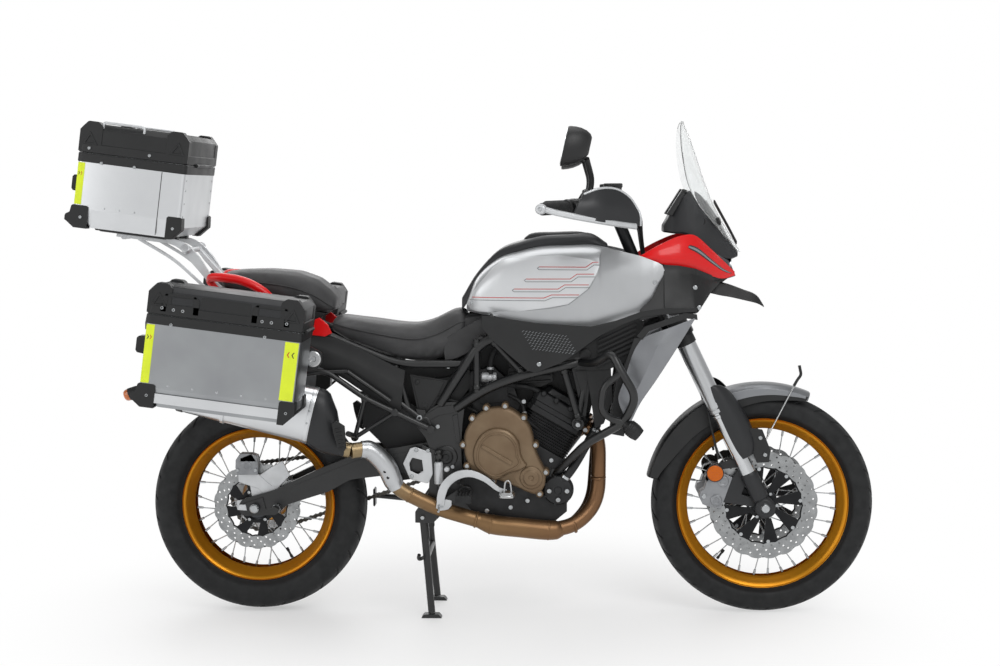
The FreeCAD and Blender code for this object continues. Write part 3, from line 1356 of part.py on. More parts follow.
def make_rear_end():
    """The tail: a bent number plate carrier, a lamp, and the rear brake caliper on its bracket."""
    guard = side_plate([(-694, 920), (-694, 930), (-905, 905), (-990, 690), (-982, 686), (-898, 896)], -85,
                       85)
    signals = [pipe([at(-982, -150, 694), at(-982, 150, 694)], 7.0, sides=6)]
    for y in (-152.0, 152.0):
        signals.append(spun(at(-968, y, 684), at(-1024, y, 662), [(0, 12), (16, 17), (46, 19), (58, 14)],
                            12))
    guard = joined([guard] + signals)
    node("rear_mudguard", [guard.cut(solid_of("luggage_rack", "subframe"))])
    lamp = side_plate([(-796, 912), (-760, 916), (-756, 968), (-790, 968)], -60, 60)
    node("tail_lamp", [lamp.cut(solid_of("rear_mudguard", "subframe", "grab_rails", "luggage_rack"))])
    gap = disc_thickness / 2.0 + 4.5
    outline = [(-54, 98), (8, 98), (8, 158), (-44, 162), (-58, 140)]
    y0 = -rear_disc_y - 34.0
    caliper = prism([rear_axle + Vec(x, y0, z) for x, z in outline], Vec(0, 44.0, 0))
    slot = cross_rod(rear_axle, -rear_disc_y - gap, -rear_disc_y + gap, rear_disc_r + 5.0)
    arm = [(-52, 98), (8, 98), (88, 26), (58, 14), (8, 54), (-52, 74)]
    bracket = prism([rear_axle + Vec(x, -right_arm_y - 12.0, z) for x, z in arm], Vec(0, 12.0, 0))
    node("rear_caliper", [joined([caliper, bracket]).cut(slot).cut(solid_of("swingarm"))])


def make_all():
    make_wheels()
    make_chain()
    make_frame()
    make_subframe()
    make_engine()
    make_swingarm()
    make_radiator()
    make_exhaust()
    make_shock()
    make_fork()
    make_front_calipers()
    make_front_mudguard()
    make_handlebar()
    make_bar_controls()
    make_hand_guards()
    make_mirrors()
    make_tank()
    make_tank_cover()
    make_seats()
    make_side_panels()
    make_shrouds()
    make_nose()
    make_luggage()
    make_racks()
    make_stands()
    make_crash_bars()
    make_foot_controls()
    make_rear_end()


make_all()
os.makedirs("parts", exist_ok=True)
for name, solids in NODES.items():
    Part.makeCompound(solids).exportStep("parts/" + name + ".step")
    print(name, len(solids), round(sum(s.Volume for s in solids) / 1e6, 3), all(s.isValid() for s in solids))
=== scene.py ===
# %% [markdown]
# # An adventure motorcycle, dressed over its imported solids
# The imported model gives the exact place of every piece. This lesson makes the surfaces that
# the eye sees: smooth panels, tubes, laced wheels, a chain and boxes, each in its own finish.
# It starts by loading the model.

# %% Load the imported motorcycle
import math

import bmesh
import bpy
import numpy as np
from mathutils import Matrix


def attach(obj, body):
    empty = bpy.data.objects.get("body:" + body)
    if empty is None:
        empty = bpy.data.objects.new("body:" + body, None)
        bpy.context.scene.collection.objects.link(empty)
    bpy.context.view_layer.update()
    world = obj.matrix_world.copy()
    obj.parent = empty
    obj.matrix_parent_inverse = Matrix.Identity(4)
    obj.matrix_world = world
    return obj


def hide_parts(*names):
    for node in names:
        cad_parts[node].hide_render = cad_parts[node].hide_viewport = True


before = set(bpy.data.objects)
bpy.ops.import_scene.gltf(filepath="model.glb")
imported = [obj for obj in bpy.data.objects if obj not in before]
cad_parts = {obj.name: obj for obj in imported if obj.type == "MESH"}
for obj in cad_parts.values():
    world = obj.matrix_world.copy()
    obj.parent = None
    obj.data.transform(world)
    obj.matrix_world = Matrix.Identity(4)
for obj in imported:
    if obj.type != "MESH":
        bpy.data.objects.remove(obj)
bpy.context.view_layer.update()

# %% [markdown]
# ## The camera
# The real picture was taken from about five and a half metres with a moderate long lens, a
# little to the front and a little above the seat. The camera's three directions are worked
# out from its yaw, pitch and roll, and they become the columns of its matrix.

# %% Place the camera
yaw, pitch, roll = np.radians([2.185, 4.422, -0.241])
look = np.array([-math.sin(yaw) * math.cos(pitch), math.cos(yaw) * math.cos(pitch), -math.sin(pitch)])
level = np.array([math.cos(yaw), math.sin(yaw), 0.0])
above = np.cross(level, look)
right_way = math.cos(roll) * level + math.sin(roll) * above
up_way = math.cos(roll) * above - math.sin(roll) * level
camera = bpy.data.objects.new("camera", bpy.data.cameras.new("camera"))
camera.data.sensor_width = 36.0
camera.data.lens = 66.43
camera.data.clip_end = 100.0
camera.matrix_world = Matrix([
    [right_way[0], up_way[0], -look[0], 0.2861],
    [right_way[1], up_way[1], -look[1], -5.5],
    [right_way[2], up_way[2], -look[2], 1.2617],
    [0, 0, 0, 1],
])
bpy.context.scene.collection.objects.link(camera)
bpy.context.scene.camera = camera
bpy.context.scene.view_settings.view_transform = "Standard"
print("lens", camera.data.lens, "mm")

# %% [markdown]
# ## Colours and nodes
# Colours are picked as they look on a screen, as sRGB hex values, and shaders count in linear
# light, so one function turns the first into the second. A second small function adds a node.

# %% Two small tools for materials
def linear(code):
    """sRGB hex to linear: each share s becomes s / 12.92 where small, else ((s + 0.055) / 1.055) ^ 2.4."""
    s = np.array([int(code[k:k + 2], 16) for k in (1, 3, 5)]) / 255.0
    low = s / 12.92
    high = ((s + 0.055) / 1.055) ** 2.4
    return (*np.where(s <= 0.04045, low, high).tolist(), 1.0)


def add(tree, kind, inputs=None, **settings):
    """Add one node: settings are its own options, and each input gets a value or an output to link."""
    node = tree.nodes.new(kind)
    for key, value in settings.items():
        setattr(node, key, value)
    for key, value in (inputs or {}).items():
        if isinstance(value, bpy.types.NodeSocket):
            tree.links.new(value, node.inputs[key])
        else:
            node.inputs[key].default_value = value
    return node


def finish(name, dark, light, rough, metal=0.0, patch=60.0, spread=0.06, grain=0.8, height=0.03,
           stretch=(1.0, 1.0, 1.0), **sockets):
    """A made surface: its tone drifts between two colours over patches, its gloss drifts with the tone,
    and a fine grain stands out of it.

    Patch, grain and height are in millimetres. Stretch draws the grain out, as brushing does: the
    larger the number, the shorter the grain along that axis. Sockets name the shader's own values.
    """
    material = bpy.data.materials.new(name)
    material.use_nodes = True
    tree = material.node_tree
    tree.nodes.clear()
    place = add(tree, "ShaderNodeTexCoord").outputs["Object"]
    drift = add(tree, "ShaderNodeTexNoise", {"Vector": place, "Scale": 1000.0 / patch, "Detail": 3.0})
    tone = add(tree, "ShaderNodeValToRGB", {"Fac": drift.outputs[0]})
    tone.color_ramp.elements[0].position = 0.3
    tone.color_ramp.elements[1].position = 0.7
    tone.color_ramp.elements[0].color = linear(dark)
    tone.color_ramp.elements[1].color = linear(light)
    gloss = add(tree, "ShaderNodeMapRange", {"Value": drift.outputs[0], "From Min": 0.3, "From Max": 0.7,
                                             "To Min": rough + spread, "To Max": rough - spread})
    drawn = add(tree, "ShaderNodeMapping", {"Vector": place, "Scale": stretch})
    fine = add(tree, "ShaderNodeTexNoise", {"Vector": drawn.outputs[0], "Scale": 1000.0 / grain,
                                            "Detail": 2.0})
    bump = add(tree, "ShaderNodeBump", {"Height": fine.outputs[0], "Distance": height * 0.001,
                                        "Strength": 1.0})
    values = {"Base Color": tone.outputs[0], "Metallic": metal, "Roughness": gloss.outputs[0],
              "Normal": bump.outputs[0]}
    values.update({key.replace("_", " "): value for key, value in sockets.items()})
    shader = add(tree, "ShaderNodeBsdfPrincipled", values)
    add(tree, "ShaderNodeOutputMaterial", {"Surface": shader.outputs[0]})
    return material


print("white is", linear("#ffffff"))

# %% [markdown]
# ## Floor and light
# The picture is a studio cut-out: a white ground with a soft shadow under the wheels. The floor is
# a pale matt board that fades into the white world with distance. The camera and glass see that white
# in full and polished metal sees most of it, but no other ray does, so it adds no light to the
# motorcycle. The world's own glow is stronger near the horizon than overhead, as soft boxes stand
# round an object: that gives upright panels their light and dark edges.

# %% Floor, world and lamps
def white_beyond(name, near, far, shade, least=0.42, in_metal=0.7):
    """A matt floor that turns to plain white between two distances from the middle, in metres. Least is
    the share of white under the motorcycle, and in_metal the share of it that glossy rays see."""
    material = bpy.data.materials.new(name)
    material.use_nodes = True
    tree = material.node_tree
    tree.nodes.clear()
    place = add(tree, "ShaderNodeTexCoord").outputs["Object"]
    away = add(tree, "ShaderNodeVectorMath", {0: place}, operation="LENGTH")
    share = add(tree, "ShaderNodeMapRange", {"Value": away.outputs["Value"], "From Min": near,
                                             "From Max": far,
                                              "To Min": least}, interpolation_type="SMOOTHSTEP")
    grain = add(tree, "ShaderNodeTexNoise", {"Vector": place, "Scale": 3.0})
    relief = add(tree, "ShaderNodeBump", {"Height": grain.outputs[0], "Distance": 0.0001})
    board = add(tree, "ShaderNodeBsdfPrincipled", {"Base Color": linear(shade), "Roughness": 0.55,
                                                   "Normal": relief.outputs[0]})
    white = add(tree, "ShaderNodeEmission", {"Strength": 1.0})
    path = add(tree, "ShaderNodeLightPath")
    seen = add(tree, "ShaderNodeMath", {0: path.outputs["Is Camera Ray"],
                                        1: path.outputs["Is Transmission Ray"]}, operation="MAXIMUM")
    dimmed = add(tree, "ShaderNodeMath", {0: path.outputs["Is Glossy Ray"], 1: in_metal},
                 operation="MULTIPLY")
    seen = add(tree, "ShaderNodeMath", {0: seen.outputs[0], 1: dimmed.outputs[0]}, operation="MAXIMUM")
    both = add(tree, "ShaderNodeMath", {0: share.outputs[0], 1: seen.outputs[0]}, operation="MULTIPLY")
    mix = add(tree, "ShaderNodeMixShader", {0: both.outputs[0], 1: board.outputs[0], 2: white.outputs[0]})
    add(tree, "ShaderNodeOutputMaterial", {"Surface": mix.outputs[0]})
    return material


floor_mesh = bpy.data.meshes.new("floor")
floor_mesh.from_pydata([(-30, -30, 0), (30, -30, 0), (30, 30, 0), (-30, 30, 0)], [], [(0, 1, 2, 3)])
floor_mesh.materials.append(white_beyond("studio_board", 0.5, 1.5, "#fbfbfb"))
floor = bpy.data.objects.new("floor", floor_mesh)
bpy.context.scene.collection.objects.link(floor)

world = bpy.data.worlds.new("studio")
bpy.context.scene.world = world
world.use_nodes = True
sky = world.node_tree
sky.nodes.clear()
path = add(sky, "ShaderNodeLightPath")
seen = add(sky, "ShaderNodeMath", {0: path.outputs["Is Camera Ray"], 1: path.outputs["Is Transmission Ray"]},
           operation="MAXIMUM")
way_of = add(sky, "ShaderNodeTexCoord").outputs["Generated"]
height_of = add(sky, "ShaderNodeSeparateXYZ", {"Vector": way_of})
level_of = add(sky, "ShaderNodeMath", {0: height_of.outputs["Z"]}, operation="ABSOLUTE")
glow = add(sky, "ShaderNodeMapRange", {"Value": level_of.outputs[0], "From Min": 0.06, "From Max": 0.5,
                                       "To Min": 0.80, "To Max": 0.38}, interpolation_type="SMOOTHSTEP")
soft = add(sky, "ShaderNodeBackground", {"Color": (1, 1, 1, 1), "Strength": glow.outputs[0]})
white = add(sky, "ShaderNodeBackground", {"Color": (1, 1, 1, 1), "Strength": 1.0})
mix = add(sky, "ShaderNodeMixShader", {0: seen.outputs[0], 1: soft.outputs[0], 2: white.outputs[0]})
add(sky, "ShaderNodeOutputWorld", {"Surface": mix.outputs[0]})


def lamp(name, spot, target, size, power):
    """A square soft lamp at a spot, turned to a target: a lamp shines along its own minus Z."""
    light = bpy.data.objects.new(name, bpy.data.lights.new(name, "AREA"))
    light.data.size = size
    light.data.energy = power
    back = np.array(spot, float) - np.array(target, float)
    back = back / np.linalg.norm(back)
    side = np.cross([0.0, 0.0, 1.0], back)
    side = side / np.linalg.norm(side) if np.linalg.norm(side) > 1e-6 else np.array([1.0, 0.0, 0.0])
    top = np.cross(back, side)
    light.matrix_world = Matrix([[side[k], top[k], back[k], spot[k]] for k in range(3)] + [[0, 0, 0, 1]])
    bpy.context.scene.collection.objects.link(light)


lamp("key", (1.6, -3.6, 3.6), (0.1, 0.0, 0.6), 2.6, 90.0)
lamp("fill", (-3.4, -2.4, 2.0), (-0.2, 0.0, 0.7), 2.4, 28.0)
lamp("top", (0.0, 0.6, 4.2), (0.0, 0.001, 0.8), 3.0, 48.0)
lamp("rear", (-1.0, 3.6, 2.8), (0.0, 0.0, 0.7), 2.6, 45.0)
print("lamps", len(bpy.data.lights))

# %% [markdown]
# ## Lines, grids and tubes
# Almost every surface here is a grid of points with two parameters: round and along. A tube is a
# circle carried along a path, a turned piece is a profile carried round an axle, and a moulded
# panel is a smooth line carried through other smooth lines. Each tool gives points and faces.

# %% Lines and grids worked out as whole arrays
def through(points, steps, closed=False):
    """A smooth line through given points. Each span is a cubic that leaves and reaches its points at
    the slope of the parabola through the point and its two neighbours, at knots set by the root of
    the distance, which keeps uneven spans from overshooting."""
    p = np.asarray(points, float)
    flat = p.reshape(len(p), -1)
    if closed:
        flat = np.concatenate([flat[-1:], flat, flat[:2]])
    else:
        flat = np.concatenate([2 * flat[:1] - flat[1:2], flat, 2 * flat[-1:] - flat[-2:-1]])
    gap = np.sqrt(np.linalg.norm(np.diff(flat, axis=0), axis=1))[:, None] + 1e-6
    speed = np.diff(flat, axis=0) / gap
    slope = (speed[:-1] * gap[1:] + speed[1:] * gap[:-1]) / (gap[:-1] + gap[1:])
    start, end, width = flat[1:-2, None], flat[2:-1, None], gap[1:-1, None]
    t = (np.arange(steps) / steps)[None, :, None]
    line = ((2 * t ** 3 - 3 * t ** 2 + 1) * start + (t ** 3 - 2 * t ** 2 + t) * width * slope[:-1, None]
            + (3 * t ** 2 - 2 * t ** 3) * end + (t ** 3 - t ** 2) * width * slope[1:, None])
    line = line.reshape(-1, flat.shape[1])
    if not closed:
        line = np.concatenate([line, flat[-2:-1]])
    return line.reshape(-1, *p.shape[1:])


def bent(points, reach, steps=6):
    """Straight runs with rounded corners: each corner is a parabola that starts and ends a reach away."""
    p = np.asarray(points, float)
    before, corner, after = p[:-2], p[1:-1], p[2:]
    near = np.linalg.norm(before - corner, axis=1)[:, None]
    far = np.linalg.norm(after - corner, axis=1)[:, None]
    first = corner + (before - corner) / near * np.minimum(reach, 0.48 * near)
    last = corner + (after - corner) / far * np.minimum(reach, 0.48 * far)
    t = np.linspace(0, 1, steps + 1)[None, :, None]
    arc = (1 - t) ** 2 * first[:, None] + 2 * t * (1 - t) * corner[:, None] + t ** 2 * last[:, None]
    return np.concatenate([p[:1], arc.reshape(-1, 3), p[-1:]])


def weave(rows, columns, close_rows=False, close_columns=False):
    """The faces of a grid: each joins a point, its neighbour along the row and the two after them."""
    i = np.arange(rows if close_rows else rows - 1)[:, None]
    j = np.arange(columns if close_columns else columns - 1)[None, :]
    i2, j2 = (i + 1) % rows, (j + 1) % columns
    return np.stack(np.broadcast_arrays(i * columns + j, i * columns + j2, i2 * columns + j2,
                                        i2 * columns + j), axis=-1).reshape(-1, 4)


def lofted(grid):
    """A closed skin over outlines: a grid whose rows are closed outlines, with a flat cap on each end."""
    g = np.asarray(grid, float)
    rows, columns = g.shape[:2]
    faces = weave(rows, columns, close_columns=True).tolist()
    faces.append(list(range(columns))[::-1])
    faces.append(list(range((rows - 1) * columns, rows * columns)))
    return g.reshape(-1, 3), faces


def slab(grid, shift):
    """A sheet of even thickness: an open grid, the same grid moved by the shift, and four edge strips."""
    g = np.asarray(grid, float)
    rows, columns = g.shape[:2]
    points = np.concatenate([g.reshape(-1, 3), (g + shift).reshape(-1, 3)])
    front = weave(rows, columns)
    count = rows * columns
    index = np.arange(count).reshape(rows, columns)
    rim = np.concatenate([index[0, :-1], index[:-1, -1], index[-1, :0:-1], index[:0:-1, 0]])
    after = np.roll(rim, -1)
    edge = np.stack([rim, after, after + count, rim + count], axis=-1)
    return points, np.concatenate([front, front[:, ::-1] + count, edge[:, ::-1]]).tolist()


def unit(v):
    """Each vector divided by its length."""
    return v / np.linalg.norm(v, axis=-1, keepdims=True)


def tube(path, radius, sides=14):
    """A round tube: at each path point a circle in the plane of two directions square to the path. Both
    come from one fixed direction, the one that the path runs along least."""
    p = np.asarray(path, float)
    along = unit(np.gradient(p, axis=0))
    least = np.linalg.svd(along)[2][-1]
    side = unit(np.cross(along, least))
    top = np.cross(side, along)
    angle = 2 * np.pi * np.arange(sides) / sides
    r = np.broadcast_to(np.asarray(radius, float), len(p))[:, None, None]
    return lofted(p[:, None] + r * (np.cos(angle)[None, :, None] * side[:, None]
                                    + np.sin(angle)[None, :, None] * top[:, None]))


def turned(profile, start, end, sides=40):
    """A piece turned on a lathe: rows of (way from the start, radius) carried round the line to the end."""
    w = np.asarray(profile, float)
    start, end = np.asarray(start, float), np.asarray(end, float)
    along = unit(end - start)
    other = np.array([0.0, 0.0, 1.0]) if abs(along[2]) < 0.9 else np.array([1.0, 0.0, 0.0])
    side = unit(np.cross(along, other))
    top = np.cross(side, along)
    angle = 2 * np.pi * np.arange(sides) / sides
    ring = np.cos(angle)[:, None] * side + np.sin(angle)[:, None] * top
    return lofted(start + w[:, :1, None] * along + w[:, 1:, None] * ring[None])


def ringed(profile, centre, sides=120):
    """A closed ring round an axle along Y: rows of (radius, y) carried round the centre."""
    w = np.asarray(profile, float)
    angle = 2 * np.pi * np.arange(sides) / sides
    out = np.stack([np.cos(angle), 0 * angle, np.sin(angle)], axis=-1)
    grid = centre + w[None, :, :1] * out[:, None] + w[None, :, 1:] * np.array([0.0, 1.0, 0.0])
    return grid.reshape(-1, 3), weave(sides, len(w), True, True).tolist()


def cut_plate(outline, y0, y1):
    """A flat plate square to Y: an outline of (x, z) on both sides, and a wall round it."""
    o = np.asarray(outline, float)
    near = np.stack([o[:, 0], np.full(len(o), y0), o[:, 1]], axis=-1)
    far = near + [0, y1 - y0, 0]
    return lofted(np.stack([near, far]))


def flipped(part):
    """The same piece on the other side of the motorcycle: Y changes its sign."""
    return np.asarray(part[0], float) * [1, -1, 1], part[1]


def pair(parts):
    """The given parts and their mirror images."""
    return list(parts) + [flipped(part) for part in parts]


def repeated(part, spots):
    """Copies of a small piece, one at each spot, as one mesh."""
    points, faces = np.asarray(part[0], float), part[1]
    spots = np.asarray(spots, float)
    everything = (points[None] + spots[:, None]).reshape(-1, 3)
    shifted = [[v + k * len(points) for v in face] for k in range(len(spots)) for face in faces]
    return everything, shifted


print("corners of a test plate", len(cut_plate([(0, 0), (1, 0), (0, 1)], 0, 1)[0]))

# %% [markdown]
# ## From points to a piece
# Points in millimetres become a mesh in metres. Doubled points are merged and the faces are turned
# outwards before a bevel breaks the sharp edges, as every moulded, cast or cut edge has a small
# radius that catches the light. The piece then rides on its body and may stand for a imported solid.

# %% One tool that makes a piece
def piece(name, parts, material, body="root", stands_for=(), edge=0.0, smooth=38.0, rounds=2):
    """Join parts into one object, at the origin. Edge is a bevel's width in millimetres, on edges
    sharper than thirty degrees. Smooth is the angle, in degrees, over which an edge stays crisp."""
    counts = np.cumsum([0] + [len(points) for points, faces in parts])
    points = np.concatenate([np.asarray(part[0], float) for part in parts]) * 0.001
    faces = [[v + shift for v in face]
             for (_, part_faces), shift in zip(parts, counts.tolist()) for face in part_faces]
    mesh = bpy.data.meshes.new(name)
    mesh.from_pydata(points.tolist(), [], faces)
    work = bmesh.new()
    work.from_mesh(mesh)
    bmesh.ops.remove_doubles(work, verts=work.verts, dist=2e-5)
    bmesh.ops.recalc_face_normals(work, faces=work.faces)
    work.to_mesh(mesh)
    work.free()
    mesh.polygons.foreach_set("use_smooth", np.ones(len(mesh.polygons), bool))
    mesh.set_sharp_from_angle(angle=math.radians(smooth))
    mesh.materials.append(material)
    made = bpy.data.objects.new(name, mesh)
    bpy.context.scene.collection.objects.link(made)
    if edge:
        bevel = made.modifiers.new("edge", "BEVEL")
        bevel.width = edge * 0.001
        bevel.segments = rounds
        bevel.limit_method = "ANGLE"
        bevel.angle_limit = math.radians(30.0)
        bevel.harden_normals = True
    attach(made, body)
    if stands_for:
        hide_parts(*([stands_for] if isinstance(stands_for, str) else stands_for))
    return made


def cap_bolt(radius, height, side=-1):
    """A socket-head bolt that stands on a face and points along Y: its turned profile has a blind socket."""
    profile = [(0, radius), (0.8 * height, radius), (height, 0.85 * radius), (height, 0.5 * radius),
               (0.55 * height, 0.45 * radius)]
    return turned(profile, (0, 0, 0), (0, side, 0), 10)


print("tools ready")

# %% [markdown]
# ## Finishes
# The motorcycle mixes painted, moulded, cast, anodised and brushed pieces. What tells them apart is
# not only colour: paint is smooth with a coat, moulded plastic has an even fine grain and a dull
# sheen, cast metal is rough and pitted, and brushed metal has a grain drawn out one way.

# %% The finishes and what each gives the eye
FINISH = {}


def keep(name, *values, **more):
    """Make one finish and keep it under its name."""
    FINISH[name] = finish(name, *values, **more)


# Satin paint: fine metal flakes, so it darkens softly away from the light. The silver and the pale
# silver lie under a clear coat, and the two greys have none.
keep("silver_satin_paint", "#b4b6b8", "#babcbe", 0.34, 0.72, patch=90, spread=0.02, grain=0.5, height=0.008,
     Coat_Weight=0.35, Coat_Roughness=0.22)
keep("pale_satin_paint", "#d2d4d6", "#d8dadc", 0.36, 0.5, patch=90, spread=0.02, grain=0.5, height=0.008,
     Coat_Weight=0.35, Coat_Roughness=0.22)
keep("grey_satin_paint", "#84868a", "#8b8d90", 0.34, 0.7, patch=90, spread=0.02, grain=0.5, height=0.008)
keep("dark_satin_paint", "#242527", "#28292b", 0.42, 0.2, patch=80, spread=0.03, grain=0.6, height=0.01)
# Gloss red paint: deep colour under a hard clear coat that mirrors the lamps.
keep("gloss_red_paint", "#d4060a", "#df0a0d", 0.36, 0.0, patch=90, spread=0.02, grain=2.0, height=0.004,
     Specular_IOR_Level=0.3, Coat_Weight=0.35, Coat_Roughness=0.06)
# Moulded ABS, black through and through: a fine spark-eroded grain keeps it dull.
keep("moulded_black_abs", "#0f1011", "#131415", 0.52, 0.0, patch=70, spread=0.05, grain=0.9, height=0.03)
# Powder coat on steel tube: an orange-peel skin, half gloss.
keep("black_powder_coat", "#0e0f10", "#131415", 0.38, 0.0, patch=50, spread=0.05, grain=2.2, height=0.02,
     Coat_Weight=0.25, Coat_Roughness=0.3)
# Sand-cast aluminium painted black: pits of under a millimetre.
keep("cast_black_paint", "#111213", "#1a1b1d", 0.5, 0.15, patch=30, spread=0.08, grain=1.4, height=0.09)
# Bronze paint over a die casting: warm, flaky and nearly matt.
keep("bronze_casting_paint", "#6f5b45", "#7d6a53", 0.44, 0.5, patch=60, spread=0.05, grain=1.0, height=0.04)
# Stainless steel, satin: pale with a fine drawn grain.
keep("satin_stainless", "#b4b5b5", "#c4c5c6", 0.3, 1.0, patch=70, spread=0.06, grain=1.0, height=0.012,
     stretch=(0.15, 1, 1))
# Brushed aluminium sheet. On the silencer and the top box the brush ran up and down, so the grain is
# long in Z. On the panniers it ran along them, so it is long in X, and their copy of the sheet is darker:
# that darker colour is painted shade for the dark surroundings that their broad flat sides mirror.
keep("brushed_aluminium", "#d2d4d6", "#dcdee0", 0.34, 0.95, patch=160, spread=0.05, grain=1.2, height=0.02,
     stretch=(1, 1, 0.05))
keep("brushed_aluminium_painted_shade", "#97999c", "#a5a8aa", 0.36, 0.95, patch=160, spread=0.05, grain=1.2,
     height=0.02, stretch=(0.02, 1, 1))
# Silver anodising on a drawn tube: the fork's outer tubes, smooth and even.
keep("silver_anodised_aluminium", "#bfc1c3", "#c6c8ca", 0.3, 0.95, patch=140, spread=0.02, grain=0.9,
     height=0.001, stretch=(1, 1, 0.1))
# Cast aluminium: under silver paint on racks and levers, and bare on the calipers, where it is rougher.
keep("silver_cast_paint", "#c3c5c7", "#cfd1d3", 0.42, 0.55, patch=40, spread=0.06, grain=1.2, height=0.04)
keep("grey_cast_aluminium", "#85878a", "#949699", 0.4, 0.6, patch=30, spread=0.07, grain=1.2, height=0.05)
# Gold anodising over a spun rim: a clear dyed skin, so the metal shows through warm and bright.
keep("gold_anodised_aluminium", "#c98417", "#d6921f", 0.36, 0.75, patch=120, spread=0.04, grain=0.8,
     height=0.01)
# Dark anodised aluminium: hubs, clamps and the shock's damper.
keep("grey_anodised_aluminium", "#3f4144", "#4b4d50", 0.38, 0.85, patch=40, spread=0.06, grain=0.9,
     height=0.02)
keep("black_anodised_aluminium", "#141517", "#1c1d1f", 0.36, 0.6, patch=40, spread=0.06, grain=0.9,
     height=0.02)
# Zinc-plated steel: spokes, bolts and small fasteners, bright but not mirror-like.
keep("zinc_plated_steel", "#a9acae", "#b9bcbe", 0.28, 1.0, patch=20, spread=0.08, grain=1.0, height=0.01)
# Ground disc steel: fine scratches that run every way.
keep("ground_disc_steel", "#8f9192", "#a3a5a6", 0.32, 1.0, patch=25, spread=0.1, grain=0.9, height=0.02)
# Hard chrome on the fork's sliding tube: near a mirror.
keep("hard_chrome", "#c9cbcd", "#d3d5d7", 0.1, 1.0, patch=60, spread=0.03, grain=3.0, height=0.002)
# Chain steel: oiled dark plates.
keep("oiled_chain_steel", "#3b3a38", "#57544f", 0.35, 0.95, patch=6, spread=0.12, grain=0.8, height=0.02)
# Rubber, carbon black: moulded with a dusty dull sheen on the tyres, and softer and duller on grips.
keep("moulded_tyre_rubber", "#161718", "#1d1e1f", 0.62, 0.0, patch=30, spread=0.08, grain=0.9, height=0.05,
     Specular_IOR_Level=0.35)
keep("soft_grip_rubber", "#101112", "#161718", 0.7, 0.0, patch=20, spread=0.08, grain=1.2, height=0.08)
# Reflex film in fluorescent yellow green.
keep("fluorescent_film", "#d3e40c", "#dded15", 0.35, 0.0, patch=40, spread=0.05, grain=2.5, height=0.02,
     Coat_Weight=0.6, Coat_Roughness=0.15)
# Screen-printed ink, flat and even.
keep("white_print", "#e6e7e8", "#efeff0", 0.4, 0.0, patch=30, spread=0.04, grain=0.8, height=0.005)
keep("red_print", "#b8201b", "#c32620", 0.4, 0.0, patch=30, spread=0.04, grain=0.8, height=0.005)
keep("grey_print", "#7d8083", "#86898c", 0.42, 0.0, patch=30, spread=0.04, grain=0.8, height=0.005)
# Coloured plastic over a field of small prisms: the reflectors and the lenses of the rear lamps.
keep("orange_reflector", "#b85400", "#cc6600", 0.3, 0.0, patch=5, spread=0.08, grain=1.6, height=0.15,
     Specular_IOR_Level=0.25, Coat_Weight=0.2, Coat_Roughness=0.1)
keep("red_lamp_lens", "#7c0a08", "#9a0f0b", 0.15, 0.0, patch=8, spread=0.05, grain=2.4, height=0.12,
     Coat_Weight=1.0, Coat_Roughness=0.04)
keep("amber_lens", "#b8580b", "#d06c12", 0.15, 0.0, patch=8, spread=0.05, grain=2.4, height=0.1,
     Coat_Weight=1.0, Coat_Roughness=0.04)
# Mirror glass, silvered behind, and a lamp's silvered bowl under dark glass.
keep("silvered_mirror_glass", "#cfd2d4", "#d4d7d9", 0.04, 1.0, patch=80, spread=0.02, grain=4.0,
     height=0.001)
keep("lamp_bowl_silver", "#8f9396", "#b9bdc0", 0.12, 1.0, patch=12, spread=0.06, grain=4.0, height=0.1)
keep("lamp_glass", "#202327", "#2b2f34", 0.06, 0.0, patch=60, spread=0.02, grain=6.0, height=0.01,
     Coat_Weight=1.0, Coat_Roughness=0.02)
print("finishes", len(FINISH))

# %% [markdown]
# ## Tyres
# A long-travel road tyre is a ring whose section runs from one bead over the sidewall and the crown
# to the other bead. Its tread is cut by two channels round the tyre and by slanted grooves on each
# side. The grid's lines are laid along the grooves, so that their walls come out crisp without a
# fine mesh: that is cheaper and cleaner than moving a dense grid up and down.

# %% Both tyres
FRONT_X, FRONT_Z = 857.0, 329.5
REAR_X, REAR_Z = -648.0, 326.0
front_axle = np.array([FRONT_X, 0.0, FRONT_Z])
rear_axle = np.array([REAR_X, 0.0, REAR_Z])


def tyre_section(outer, bead, half, bead_half):
    """Half of the section as (radius, y), from the bead to the crown: a smooth line through the bead,
    the widest place, the shoulder and the crown."""
    deep = outer - bead
    spine = [(bead, bead_half), (bead + 13, bead_half + 1.5), (bead + 0.30 * deep, 0.96 * half),
             (bead + 0.50 * deep, half), (bead + 0.68 * deep, 0.97 * half),
             (bead + 0.84 * deep, 0.83 * half), (outer - 5.5, 0.52 * half),
             (outer - 1.2, 0.24 * half), (outer, 0.0)]
    return through(spine, 4)


